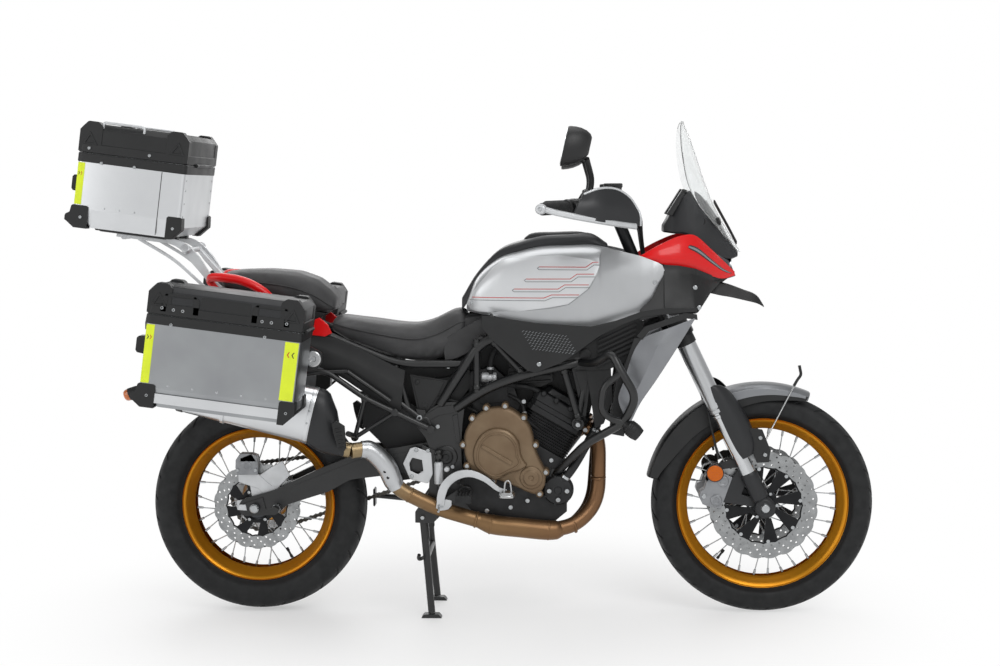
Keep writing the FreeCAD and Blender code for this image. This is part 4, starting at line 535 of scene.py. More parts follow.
def tyre(centre, outer, bead, half, bead_half, repeats, depth):
    """The tread's grooves: on the left they fill phases 0 to 0.16 of each repeat, on the right 0.5 to
    0.66. The angle leans with |y|, so a column of the grid is a groove's wall."""
    one = tyre_section(outer, bead, half, bead_half)
    section = np.concatenate([one * [1, -1], one[-2::-1]])
    width = section[:, 1] / half
    phases = np.array([0.0, 0.03, 0.13, 0.16, 0.33, 0.5, 0.53, 0.63, 0.66, 0.83])
    count = len(phases)
    turn = (np.arange(repeats)[:, None] + phases).ravel() / repeats * 2 * np.pi
    tread = (np.abs(width) < 0.86) & (section[:, 0] > bead + 0.6 * (outer - bead))
    slot = tread & (np.abs(width) > 0.17)
    deepest = np.tile(np.isin(np.arange(count), (1, 2)), repeats)[:, None] & (width < 0)
    deepest |= np.tile(np.isin(np.arange(count), (6, 7)), repeats)[:, None] & (width > 0)
    fall = np.where(deepest & slot, depth, 0.0)
    fall = np.where((np.abs(np.abs(width) - 0.115) < 0.045)[None, :], 0.8 * depth, fall)
    radius = section[None, :, 0] - fall
    lean = np.clip(np.abs(width), 0, 0.86) * 0.16
    angle = turn[:, None] + lean
    grid = np.stack([centre[0] + radius * np.cos(angle), np.broadcast_to(section[:, 1], radius.shape),
                     centre[2] + radius * np.sin(angle)], axis=-1)
    return grid.reshape(-1, 3), weave(len(turn), len(section), True, True).tolist()


rubber = FINISH["moulded_tyre_rubber"]
front_tyre = tyre(front_axle, 329.5, 243.5, 55.0, 34.5, 34, 4.5)
rear_tyre = tyre(rear_axle, 321.0, 218.5, 75.0, 52.5, 30, 5.0)
piece("front_tyre_moulding", [front_tyre], rubber, "front_wheel", "front_tyre", smooth=28)
piece("rear_tyre_moulding", [rear_tyre], rubber, "rear_wheel", "rear_tyre", smooth=28)
print("tyre points", len(front_tyre[0]), len(rear_tyre[0]))

# %% [markdown]
# ## Rims, spokes and hubs
# The rims are spun in one profile: a lip each side that holds the bead, and a dropped well between.
# Thirty-two spokes cross from the hub's two flanges, each with a nipple where it meets the rim.
# All spokes are worked out in one array, which is far quicker than making them one by one.

# %% Rims and laced hubs
def rim_profile(bead, width):
    """The rim's section as (radius, y): lip, shoulder, well, and back under it."""
    h = width / 2
    over = [(bead + 11, h - 0.5), (bead + 11.5, h - 2.5), (bead + 2, h - 5), (bead - 1, h - 9),
            (bead - 2, 0.55 * h), (bead - 9, 0.42 * h)]
    under = [(bead - 21, 0.36 * h), (bead - 20, 0.42 * h), (bead - 13, 0.55 * h), (bead - 4, 0.8 * h),
             (bead + 1, h - 3), (bead + 7, h)]
    one, two = np.array(over), np.array(under)
    return np.concatenate([one, one[::-1] * [1, -1], two * [1, -1], two[::-1]])


def spokes(centre, flange_y, flange_r, rim_r, count=16, wire=1.75):
    """Crossed wires: spoke k leaves the flange at its own angle and reaches the rim an eighth of a turn on,
    forwards for even ones and backwards for odd ones. A six-sided tube runs between the two ends."""
    k = np.arange(2 * count)
    side = np.where(k < count, -1.0, 1.0)
    step = k % count
    hub_angle = 2 * np.pi * (step + 0.25 * side) / count
    lean = np.where(step % 2, 1.0, -1.0)
    rim_angle = hub_angle + lean * math.radians(45)
    start = np.stack([flange_r * np.cos(hub_angle), side * flange_y + lean * 2.2,
                      flange_r * np.sin(hub_angle)], -1)
    end = np.stack([rim_r * np.cos(rim_angle), side * 7.0, rim_r * np.sin(rim_angle)], -1)
    way = unit(end - start)
    first = unit(np.cross(way, [0.0, 1.0, 0.0]))
    second = np.cross(way, first)
    length = np.linalg.norm(end - start, axis=1)[:, None]
    marks = np.array([[-4.0, 1.5], [0.0, 1.0], [-19.0, 1.0], [-18.0, 1.9], [-1.0, 2.1]])
    from_start = np.array([True, True, False, False, False])
    along = np.where(from_start, marks[:, 0], length + marks[:, 0])
    thick = marks[:, 1] * wire
    angle = 2 * np.pi * np.arange(6) / 6
    ring = np.cos(angle)[None, :, None] * first[:, None] + np.sin(angle)[None, :, None] * second[:, None]
    middle = start[:, None] + along[:, :, None] * way[:, None]
    grid = centre + middle[:, :, None] + thick[None, :, None, None] * ring[:, None]
    faces = np.array(weave(len(marks), 6, close_columns=True))
    block = len(marks) * 6
    everything = (faces[None] + np.arange(2 * count)[:, None, None] * block).reshape(-1, 4).tolist()
    caps = [[int(s * block + v) for v in range(5, -1, -1)] for s in range(2 * count)]
    caps += [[int(s * block + block - 6 + v) for v in range(6)] for s in range(2 * count)]
    return grid.reshape(-1, 3), everything + caps


def hub_profile(body, flange, flange_y, half, bore=11.6):
    """A hub's section as (radius, y): bore, end faces, barrel, and two flanges."""
    one = np.array([(bore, half), (body - 6, half), (body - 4, half - 2), (body - 4, flange_y + 8),
                    (flange, flange_y + 4), (flange + 1, flange_y), (flange, flange_y - 4),
                    (body - 8, flange_y - 12), (body - 11, 0.0)])
    return np.concatenate([one, one[-2::-1] * [1, -1]])


gold = FINISH["gold_anodised_aluminium"]
zinc = FINISH["zinc_plated_steel"]
dark_alloy = FINISH["grey_anodised_aluminium"]
piece("front_rim_spun", [ringed(rim_profile(243.5, 80), front_axle, 160)], gold,
      "front_wheel", "front_rim")
piece("rear_rim_spun", [ringed(rim_profile(218.5, 116), rear_axle, 160)], gold,
      "rear_wheel", "rear_rim")
piece("front_hub_turned", [ringed(hub_profile(32, 45, 30, 72.5), front_axle, 48)], dark_alloy,
      "front_wheel", "front_hub")
piece("front_spokes", [spokes(front_axle, 30, 40, 223.5)], zinc, "front_wheel")
piece("rear_hub_turned", [ringed(hub_profile(42, 55, 38, 80.5), rear_axle, 48)], dark_alloy,
      "rear_wheel", "rear_hub")
piece("rear_spokes", [spokes(rear_axle, 38, 50, 198.5)], zinc, "rear_wheel")
for name, centre, radius, way_round in (("front", front_axle, 218.0, 4.07), ("rear", rear_axle, 194.0, 5.2)):
    foot = centre + radius * np.array([math.cos(way_round), 0.0, math.sin(way_round)])
    valve = turned([(0, 4.5), (8, 4.5), (10, 3.4), (22, 3.4), (23, 4.6), (33, 4.6), (34, 3.4)],
                   foot, centre, 12)
    piece(name + "_valve", [valve], FINISH["soft_grip_rubber"], name + "_wheel")
print("spokes", 64)

# %% [markdown]
# ## Brake discs
# A disc is a flat ring with a waved edge, rows of drilled holes and a carrier with slanted windows.
# On a grid of angle and radius, a hole is made by leaving out four faces and drawing the eight
# points round them onto a circle. The sheet then gets its thickness, which closes every wall.

# %% Drilled and waved discs
def disc(centre, y, outer, hub, inner, teeth, holes, carrier, thick=5.0):
    """Radius rows run from the hub to the waved edge. The outermost row falls and rises with the sine of
    the angle. The carrier's windows are whole cells, and their sides lean with the radius. The carrier
    is the innermost rows alone, and the ring is the others, so that each gets its own finish."""
    count = holes * 6
    rows = np.concatenate([[hub, hub + 9], np.linspace(inner - 5, outer, 13)])
    angle = 2 * np.pi * np.arange(count) / count
    r = np.broadcast_to(rows[:, None], (len(rows), count)).copy()
    r[-1] -= 7.0 * (1 - np.abs(np.sin(angle * teeth))) ** 1.6
    r[2:4] += 3.5 * (1 - np.abs(np.sin(angle * teeth))) ** 1.6
    a = angle[None] + 0.0 * r
    a[:2] += np.array([[0.22], [0.16]])
    solid = np.ones((len(rows) - 1, count), bool)
    solid[1] = (np.arange(count) % (count // 8)) < 0.5 * (count // 8)
    solid[:3] &= carrier
    solid[3:] &= not carrier
    for row, phase in ((5, 0), (8, 2), (11, 4)):
        columns = (np.arange(holes) * 6 + phase) % count
        for du in (-1, 0, 1):
            for dv in (-1, 0, 1):
                if du or dv:
                    turn = math.atan2(du, dv)
                    j = (columns + dv) % count
                    r[row + du, j] = rows[row] + 3.1 * math.sin(turn)
                    a[row + du, j] = angle[columns] + 3.1 * math.cos(turn) / rows[row]
        for du in (-1, 0):
            for dv in (-1, 0):
                solid[row + du, (columns + dv) % count] = False
    flat = np.stack([r * np.cos(a), 0 * r, r * np.sin(a)], -1).reshape(-1, 3) + centre
    near, far = flat + [0, y - thick / 2, 0], flat + [0, y + thick / 2, 0]
    faces = weave(len(rows), count, close_columns=True)[solid.ravel()]
    edges = np.concatenate([faces[:, [k, (k + 1) % 4]] for k in range(4)])
    keys, back, hits = np.unique(np.sort(edges, axis=1), axis=0, return_inverse=True, return_counts=True)
    border = edges[hits[back.ravel()] == 1]
    total = len(flat)
    wall = np.stack([border[:, 1], border[:, 0], border[:, 0] + total, border[:, 1] + total], -1)
    used = np.unique(faces)
    renumber = np.full(2 * total, -1)
    keep_rows = np.concatenate([used, used + total])
    renumber[keep_rows] = np.arange(len(keep_rows))
    everything = renumber[np.concatenate([faces, faces[:, ::-1] + total, wall])]
    return np.concatenate([near, far])[keep_rows], everything.tolist()


steel = FINISH["ground_disc_steel"]
front_sizes = dict(outer=160.0, hub=32.5, inner=114.0, teeth=10, holes=32)
rear_sizes = dict(outer=130.0, hub=42.5, inner=92.0, teeth=9, holes=24)
front_discs, front_carriers = [[disc(front_axle, y, carrier=carrier, **front_sizes) for y in (-70.0, 70.0)]
                               for carrier in (False, True)]
rear_ring, rear_carrier = [disc(rear_axle, -78.0, carrier=carrier, **rear_sizes)
                           for carrier in (False, True)]
piece("front_discs_waved", front_discs, steel, "front_wheel", "front_discs", smooth=30)
piece("rear_disc_waved", [rear_ring], steel, "rear_wheel", "rear_disc", smooth=30)
black_alloy = FINISH["black_anodised_aluminium"]
piece("front_disc_carriers", front_carriers, black_alloy, "front_wheel", edge=0.5,
      smooth=30)
piece("rear_disc_carrier", [rear_carrier], black_alloy, "rear_wheel", edge=0.5, smooth=30)
buttons = repeated(turned([(0, 5.5), (7, 5.5), (8, 4)], (0, -4, 0), (0, 4, 0), 12),
                   [front_axle + [109 * math.cos(a), y, 109 * math.sin(a)] for y in (-70.0, 70.0)
                    for a in np.arange(8) * math.pi / 4 + 0.13])
piece("disc_buttons", [buttons], zinc, "front_wheel", smooth=30)
turn = 2 * np.pi * np.arange(6) / 6
for name, centre, y, radius, body in (("front", front_axle, -73.0, 50.0, "front_wheel"),
                                      ("rear", rear_axle, -81.0, 60.0, "rear_wheel")):
    spots = centre + np.stack([radius * np.cos(turn) * 0.78, 0 * turn + y, radius * np.sin(turn) * 0.78], -1)
    piece(name + "_disc_bolts", [repeated(cap_bolt(5.0, 3.5), spots)], zinc, body)
print("disc faces", len(front_discs[0][1]))

# %% [markdown]
# ## Sprockets and chain
# The chain is what shows that this wheel is driven. Its pins lie one pitch apart on the loop round
# both sprockets, 15.875 mm. Each link is two plates waisted between two pins, by turns inner and
# outer, with a roller on every pin.

# %% Chain, sprockets and their teeth
pitch = 15.875
sprocket_centre = np.array([-2.0, 92.0, 474.0])
chain_hub = rear_axle + [0, 92.0, 0]


def pitch_radius(teeth):
    """The radius at which pins one pitch apart lie, for a number of teeth: half the pitch over the
    sine of half a tooth's turn."""
    return pitch / (2 * math.sin(math.pi / teeth))


def chain_loop():
    """Pins on two arcs joined by two tangents. The way along the loop picks the stretch, and each pin
    also gets the direction away from the loop's inside."""
    big, small = pitch_radius(42), pitch_radius(15)
    gap = (sprocket_centre - chain_hub)[[0, 2]]
    distance = np.linalg.norm(gap)
    tilt = math.atan2(gap[1], gap[0])
    opening = math.acos((big - small) / distance)
    upper, lower = tilt + opening, tilt - opening
    big_run, small_run = big * (2 * np.pi - 2 * opening), small * 2 * opening
    straight = math.sqrt(distance ** 2 - (big - small) ** 2)
    total = big_run + small_run + 2 * straight
    count = 2 * int(round(total / pitch / 2))
    way = np.arange(count) * total / count
    marks = np.cumsum([0, big_run, straight, small_run])
    zone = np.searchsorted(marks, way, side="right") - 1
    past = way - marks[zone]
    angle = np.choose(zone, [upper + past / big, lower + 0 * past, lower + past / small, upper + 0 * past])
    radius = np.choose(zone, [big + 0 * past, big + 0 * past, small + 0 * past, small + 0 * past])
    run = np.choose(zone, [0 * past, past, 0 * past, past])
    centre = np.where((zone < 2)[:, None], chain_hub, sprocket_centre)
    normal = np.stack([np.cos(angle), 0 * angle, np.sin(angle)], -1)
    along = np.stack([-np.sin(angle), 0 * angle, np.cos(angle)], -1)
    return centre + normal * radius[:, None] + along * run[:, None], count


pins, links = chain_loop()
ahead = np.roll(pins, -1, axis=0)
way = unit(ahead - pins)
out = np.stack([way[:, 2], 0 * way[:, 0], -way[:, 0]], -1)
shape = np.array([(-6.0, 0.0), (-4.2, 4.6), (0.0, 6.6), (4.0, 5.0), (7.9, 3.6), (11.9, 5.0), (15.9, 6.6),
                  (20.1, 4.6), (21.9, 0.0), (20.1, -4.6), (15.9, -6.6), (11.9, -5.0), (7.9, -3.6),
                  (4.0, -5.0), (0.0, -6.6), (-4.2, -4.6)])
inner = (np.arange(links) % 2).astype(float)
plates = []
for side in (-1, 1):
    near = side * (4.6 + 2.0 * (1 - inner))
    far = near + side * 1.7
    flat = pins[:, None] + shape[None, :, :1] * way[:, None] + shape[None, :, 1:] * out[:, None]
    two = np.stack([flat + near[:, None, None] * [0, 1, 0], flat + far[:, None, None] * [0, 1, 0]], 1)
    size = 2 * len(shape)
    base = [list(f) for f in weave(2, len(shape), close_columns=True).tolist()]
    base += [list(range(len(shape)))[::-1], list(range(len(shape), size))]
    plates.append((two.reshape(-1, 3), [[v + k * size for v in f] for k in range(links) for f in base]))
roller = turned([(0, 2.6), (1, 2.6), (1, 5.0), (16.6, 5.0), (16.6, 2.6), (17.6, 2.6)], (0, -8.8, 0),
                (0, 8.8, 0), 8)
chain_steel = FINISH["oiled_chain_steel"]
piece("drive_chain_links", plates + [repeated(roller, pins)], chain_steel, "root",
      "drive_chain")


def toothed(centre, teeth, hub, thick):
    """A sprocket: six angles for each tooth, high at its tip and low in the gap, on both faces."""
    share = np.array([0.0, 0.22, 0.40, 0.60, 0.78])
    tip = pitch_radius(teeth)
    high = np.array([tip - 8.6, tip - 6.4, tip + 1.5, tip + 1.5, tip - 6.4])
    k = np.arange(teeth)[:, None]
    angle = (2 * np.pi * (k + share) / teeth).ravel()
    outer = np.tile(high, teeth)
    ways = np.stack([np.cos(angle), 0 * angle, np.sin(angle)], -1)
    rows = [hub * ways + [0, thick / 2, 0], outer[:, None] * ways + [0, thick / 2, 0],
            outer[:, None] * ways - [0, thick / 2, 0], hub * ways - [0, thick / 2, 0]]
    grid = centre + np.stack(rows)
    return grid.reshape(-1, 3), weave(4, len(angle), True, True).tolist()


piece("rear_sprocket", [toothed(chain_hub, 42, 74.0, 6.0), ringed([(11.6, 74.0), (11.6, 94.0), (56, 94.0),
      (76, 94.0), (76, 90.0), (62, 78.0)], rear_axle, 48)], FINISH["satin_stainless"],
      "rear_wheel")
piece("front_sprocket", [toothed(sprocket_centre, 15, 6.0, 6.0),
                         turned([(0, 13), (22, 13), (24, 11)], (-2, 78, 474), (-2, 110, 474), 24)],
      FINISH["satin_stainless"])
print("links", links)

# %% [markdown]
# ## Frame of bent tube
# The frame is welded from steel tube, powder coated black: an upper and a lower tube a side, straight
# braces between them, and a forged plate at the swingarm's pivot. Each tube is a circle carried along
# a line with rounded corners. The joints get a short collar, as a weld bead has.

# %% Where the steering axis is, and the frame's tubes
LEAN = math.radians(25.5)
HEAD_UP = np.array([-math.sin(LEAN), 0.0, math.cos(LEAN)])
HEAD_OUT = np.array([math.cos(LEAN), 0.0, math.sin(LEAN)])
FORK_Y = 105.0
AXIS_BEHIND = 35.454
CLAMP_X, CLAMP_Z = 499.83, 1004.0


def steer_point(z, ahead=0.0, y=0.0):
    """A point on the steering axis at a height, moved square to the axis and to the side."""
    x = FRONT_X - AXIS_BEHIND - (z - FRONT_Z) * math.tan(LEAN)
    return np.array([x, 0.0, z]) + HEAD_OUT * ahead + [0.0, y, 0.0]


def fork_point(z, y=0.0):
    """A point on the fork's line, which runs through the front axle, at a height."""
    return np.array([FRONT_X - (z - FRONT_Z) * math.tan(LEAN), y, z])


def bar_at(x, y, z):
    """The handlebar's own coordinates: from the point where the axis passes the upper clamp."""
    return np.array([CLAMP_X + x, y, CLAMP_Z + z])


# The frame is widest beside the cylinders, where its tubes lie w from the middle.
w = 148.0
upper = [steer_point(994, -14, 14), (424, 58, 888), (300, w, 850), (31, w - 10, 832), (-97, 118, 634)]
lower = [steer_point(886, -14, 14), (424, 62, 800), (317, w, 762), (157, w, 727), (47, w - 4, 689),
         (-50, 118, 622)]
braces = [((13, w - 11, 828), (13, w - 8, 672)), ((55, w - 9, 830), (152, w - 1, 727)),
          ((265, w - 1, 750), (312, w, 590)), ((343, w - 26, 770), (303, w, 570)),
          ((160, w - 1, 729), (268, w - 2, 846)), ((60, w - 12, 836), (60, w - 28, 902)),
          ((290, w - 1, 850), (290, w - 16, 896))]
tubes = [tube(bent(upper, 60.0), 14.0, 18), tube(bent(lower, 60.0), 14.0, 18)]
tubes += [tube([a, b], 10.5, 14) for a, b in braces]


def collars(ends, radius):
    """A weld bead at each brace's end: a short swelling along the brace."""
    made = []
    for a, b in ends:
        a, b = np.asarray(a, float), np.asarray(b, float)
        length = np.linalg.norm(b - a)
        for start, end in ((a, b), (b, a)):
            made.append(turned([(8, radius - 1), (12, radius + 2.2), (17, radius + 2.6), (22, radius + 1.4),
                                (25, radius - 1)], start, start + (end - start) / length, 14))
    return made


tubes += collars(braces[:5], 10.5)
tubes.append(turned([(0, 20), (40, 20), (44, 17)], (308, 110, 582), (308, 160, 582), 24))
plate = [(-167, 572), (-160, 585), (-143, 604), (-122, 624), (-102, 636), (-78, 642), (-55, 643), (-36, 638),
         (-24, 626), (-30, 575), (-34, 520), (-33, 470), (-30, 440), (-42, 395), (-60, 340), (-120, 282),
         (-172, 284), (-172, 316), (-152, 345), (-132, 374), (-128, 420), (-126, 480),
         (-131, 512), (-140, 536)]
plates = [cut_plate(plate, 112.5, 123.5), turned([(0, 34), (4, 34), (6, 31), (6, 20), (4, 18)],
                                                 (-79, 122, 480), (-79, 134, 480), 32)]
head = turned([(0, 24), (3, 27.5), (135, 27.5), (138, 24)], steer_point(862), steer_point(1000), 32)
cross = [tube([(26, -w + 11, 826), (26, w - 11, 826)], 11.0),
         tube([(-90, -117, 648), (-90, 117, 648)], 14.0)]
stand_ear = cut_plate([(-90, 300), (-62, 275), (-18, 275), (-18, 330), (-31, 344), (-36, 430), (-70, 430)],
                      112.5, 124)
ear = [stand_ear, cut_plate([(-62, 275), (-18, 275), (-18, 336), (-62, 336)], 124, 158),
       turned([(0, 6), (54, 6), (56, 4)], (-40, 124, 292), (-40, 178, 292), 16)]
coat = FINISH["black_powder_coat"]
piece("frame_trellis", pair(tubes + plates) + [head] + cross + ear, coat, "root", "frame",
      edge=1.2, smooth=42)
print("frame tubes", len(tubes))

# %% [markdown]
# The rear frame under the seats is lighter tube. Two rails a side meet in a lug that a silver bolt
# holds, and short tubes cross between the sides.

# %% Rear frame
rail = [(-20, 112, 753), (-216, 112, 753), (-470, 112, 858), (-745, 112, 945)]
strut = [(-146, 118, 588), (-334, 112, 729), (-515, 112, 872)]
parts = [tube(bent(rail, 60.0), 11.0, 16), tube(bent(strut, 40.0), 10.0, 16),
         tube([(-228, 112, 750), (-190, 116, 624)], 9.0)]
parts += [cut_plate([(-150, 575), (-132, 580), (-140, 618), (-168, 622)], 108, 122)]
crossing = [tube([(x, -112, z), (x, 112, z)], 9.0) for x, z in ((-236, 762), (-470, 856), (-700, 931))]
piece("rear_frame_rails", pair(parts) + crossing, coat, "root", "subframe", edge=1.0)
lugs = [turned([(0, 17), (10, 17), (13, 14)], (-20, y, 753), (-20, y * 1.1, 753), 24)
        for y in (-112.0, 112.0)]
piece("rear_frame_lugs", lugs, coat, edge=0.8)
places = [(-20, -126, 753), (-103, -125, 471), (-157, -123, 596)]
piece("frame_bolts", pair([repeated(cap_bolt(9.0, 6.0), places)]), FINISH["zinc_plated_steel"])
print("rear frame ready")

# %% [markdown]
# ## Engine
# The crankcase and the two leaning cylinders are black castings with fins. Each fin is one thin plate
# with rounded edges. The stack is an array of fins with a growing height, and pipes, ribs and bolts
# break it up the way a real casting does. The right cover is bronze: a raised rim, a ring in a drop
# shape over the clutch and a round boss over the pump.

# %% Castings of the engine
LEAN_UP = np.array([0.5, 0.0, 0.866])
LEAN_OUT = np.array([0.866, 0.0, -0.5])
BASE = np.array([196.0, 0.0, 512.0])


def leaned(levels):
    """A casting on the cylinder's line: at each way up, a rectangle with cut corners, of a half depth
    along the lean's normal and a half width along Y."""
    rows = []
    for up, depth, wide in levels:
        c = min(14.0, 0.3 * depth)
        ring = [(-depth, -wide + c), (-depth + c, -wide), (depth - c, -wide), (depth, -wide + c),
                (depth, wide - c), (depth - c, wide), (-depth + c, wide), (-depth, wide - c)]
        rows.append([BASE + LEAN_UP * up + LEAN_OUT * a + [0, b, 0] for a, b in ring])
    return lofted(rows)


blocks = [leaned([(0, 80, 94), (78, 80, 94)])]
for k in range(9):
    up = 6.0 + 8.2 * k
    blocks.append(leaned([(up, 84, 101), (up + 0.8, 87, 104), (up + 2.0, 87, 104), (up + 2.8, 84, 101)]))
blocks += [leaned([(78, 84, 100), (80, 91, 106), (96, 91, 106), (99, 88, 103), (112, 88, 103),
                   (114, 91, 106), (138, 91, 106), (142, 87, 103), (146, 70, 92), (150, 68, 90),
                   (162, 64, 86), (166, 56, 78)])]
bosses = []
for a in (-66, -24, 24, 66):
    spot = BASE + LEAN_UP * 140 + LEAN_OUT * a
    bosses.append(turned([(0, 9), (10, 9), (13, 6)], spot + [0, -104, 0], spot + [0, -120, 0], 14))
plug = BASE + LEAN_UP * 150 + LEAN_OUT * 20
bosses += [turned([(0, 16), (18, 16), (22, 12), (30, 12), (34, 8)], plug + [0, -40, 0],
                  plug + [0, -40, 0] + LEAN_UP * 10, 18)]
intake = [(-12, 660), (8, 600), (66, 608), (112, 566), (138, 628), (118, 690), (60, 742), (-8, 728)]
airbox = [cut_plate(intake, -88, 88),
          cut_plate([(4, 668), (24, 634), (104, 640), (100, 684), (56, 722), (8, 712)], -92, 92)]
piece("cylinders_finned", blocks + bosses + airbox, FINISH["cast_black_paint"], "root",
      "cylinders", edge=1.2, smooth=30)

case = [(-28, 345), (-28, 545), (10, 604), (70, 612), (122.5, 554.5), (269.5, 469.5), (276, 318), (240, 288),
        (190, 286), (120, 290), (60, 286), (20, 288)]
core = cut_plate(case, -114, 92)
left_wall = cut_plate([(60, 345), (60, 545), (74, 606), (122.5, 552), (269.5, 467), (274, 320), (240, 290),
                       (80, 290)], 91, 116)
split = [cut_plate(case, y, y + 7) for y in (-118.0, -40.0)]
ribs = [cut_plate([(x, 292), (x + 5, 292), (x + 5, 322), (x, 330)], -117.5, -108)
        for x in range(20, 240, 22)]
pump = turned([(0, 46), (10, 46), (12, 42), (22, 42), (24, 44), (30, 40), (33, 30), (33, 12), (30, 10)],
              (250, -112, 384), (250, -150, 384), 40)
vanes = [turned([(0, 4), (26, 4)], (250 + 41 * math.cos(a), -118, 384 + 41 * math.sin(a)),
                (250 + 41 * math.cos(a), -150, 384 + 41 * math.sin(a)), 8)
         for a in np.arange(7) * 2 * np.pi / 7]
hose = tube(bent([(262, -132, 408), (296, -140, 452), (336, -120, 520), (366, -96, 575)], 40.0, 8), 12.5, 16)
clip_ends = (((270, -134, 420), (276, -135, 429)), ((354, -104, 552), (358, -101, 560)))
clips = [turned([(0, 14.5), (8, 14.5)], a, b, 18) for a, b in clip_ends]
piece("crankcase_cast", [core, left_wall] + split + ribs + [pump] + vanes + [hose],
      FINISH["cast_black_paint"], "root", "engine_block", edge=1.4, smooth=34)
piece("hose_clips", clips, FINISH["zinc_plated_steel"])
print("fins", 9)

# %% [markdown]
# The cover's outline is a smooth closed line. Shrinking it in steps about its middle gives the wall,
# the rounded rim and the flat face. The drop-shaped ring is a band of even width along another
# closed line, raised four millimetres, with a slanted bar inside it.

# %% Bronze cover and the left cover
def grown(outline, middle, steps, rounds=5):
    """A cover: a closed smooth line that shrinks about its middle while it moves along Y."""
    line = through(np.array(outline, float), rounds, closed=True)
    middle = np.asarray(middle, float)
    rows = []
    for y, scale in steps:
        p = middle + (line - middle) * scale
        rows.append(np.stack([p[:, 0], np.full(len(p), float(y)), p[:, 1]], -1))
    return lofted(rows)


def band(outline, width, y0, y1, rounds=6):
    """A raised band of even width along a closed smooth line: four lines, at the outer and inner edge
    and at the foot and the top, joined in a ring."""
    line = through(np.array(outline, float), rounds, closed=True)
    way = unit(np.roll(line, -1, 0) - np.roll(line, 1, 0))
    out = np.stack([way[:, 1], -way[:, 0]], -1)
    rows = []
    for shift, y in ((width, y0), (0.7 * width, y1), (-0.7 * width, y1), (-width, y0)):
        p = line + out * shift
        rows.append(np.stack([p[:, 0], np.full(len(p), float(y)), p[:, 1]], -1))
    grid = np.stack(rows, 1)
    return grid.reshape(-1, 3), weave(len(line), 4, True, True).tolist()


right = [(41, 625), (76, 631), (111, 628), (142, 607), (167, 578), (178, 546), (182, 516), (198, 476),
         (212, 446), (214, 418), (208, 393), (188, 375), (160, 381), (135, 393), (66, 420), (-1, 446),
         (-16, 470), (-24, 499), (-25, 530), (-21, 558), (-8, 584), (11, 605)]
cover = grown(right, (92, 505), [(-112, 0.995), (-150, 1.0), (-154, 0.995), (-158, 0.975), (-161, 0.94),
                                 (-163, 0.9), (-164, 0.6)])
drop = [(73, 572), (110, 562), (136, 532), (142, 498), (150, 478), (160, 462), (140, 448), (108, 438),
        (66, 418), (36, 434), (10, 458), (2, 492), (12, 532), (38, 562)]
hump = grown(drop, (78, 495), [(-158, 1.02), (-168, 1.0), (-174, 0.97), (-177, 0.92),
                               (-178, 0.86), (-178, 0.5)])
edge_ring = band([(73, 556), (104, 548), (126, 522), (130, 494), (138, 470), (104, 446), (66, 432),
                  (38, 446), (20, 468), (16, 492), (24, 524), (44, 548)], 3.2, -177, -181)
water = turned([(0, 34), (10, 34), (13, 31), (14, 24), (17, 23), (19, 20), (19, 8), (16, 6), (16, 0.1)],
               (172, -156, 425), (172, -180, 425), 44)
slant = cut_plate([(26, 516), (32, 524), (118, 474), (113, 463)], -183, -177)
rim_spots = [(41, 628), (96, 634), (150, 600), (184, 520), (214, 440), (196, 376), (60, 414), (-16, 458),
             (-27, 520), (0, 598)]
lugs = [turned([(0, 11), (44, 11), (47, 8)], (x, -112, z), (x, -160, z), 16) for x, z in rim_spots]
bronze = FINISH["bronze_casting_paint"]
left = grown([(52, 344), (48, 440), (60, 520), (84, 545), (110, 552), (160, 540), (200, 512), (224, 460),
              (232, 400), (218, 355), (190, 338), (110, 334)], (136, 440),
              [(112, 1.0), (138, 1.0), (144, 0.98), (148, 0.94), (149, 0.6)])
dome = turned([(0, 76), (14, 76), (20, 73), (24, 68), (27, 60), (28, 40), (26, 38), (26, 0.1)],
              (136, 142, 436), (136, 170, 436), 48)
piece("clutch_cover_cast", [cover, hump, edge_ring, water, slant] + lugs, bronze, "root",
      "engine_covers", edge=1.6, smooth=32)
piece("generator_cover_cast", [left, dome], FINISH["cast_black_paint"], edge=1.2, smooth=32)
bolts = [(x, -159, z) for x, z in rim_spots]
more = [(230, -118, 470), (276, -152, 384), (224, -152, 384), (250, -152, 358), (160, -118, 350),
        (110, -118, 330), (40, -118, 320), (150, -121, 644), (308, -176, 582), (330, -121, 560),
        (358, -126, 598)]
piece("engine_bolts", [repeated(cap_bolt(6.5, 5.0), bolts), repeated(cap_bolt(7.0, 5.0), more)],
      FINISH["zinc_plated_steel"])
pegs = [turned([(0, 9), (4, 11), (14, 11), (17, 8)], (308, -160, 582), (308, -180, 582), 24)]
piece("engine_mount_caps", pair(pegs), coat, edge=0.6)
print("cover points", len(cover[0]))

# %% [markdown]
# ## Radiator, exhaust and silencer
# Stainless headers go brown and gold where the gas is hottest, so that colour is a ramp along X with
# a little noise, not one tone. The two headers join under the engine in a wide collector, with weld
# seams between its sections. The silencer is a brushed oval can with a dark end cap.

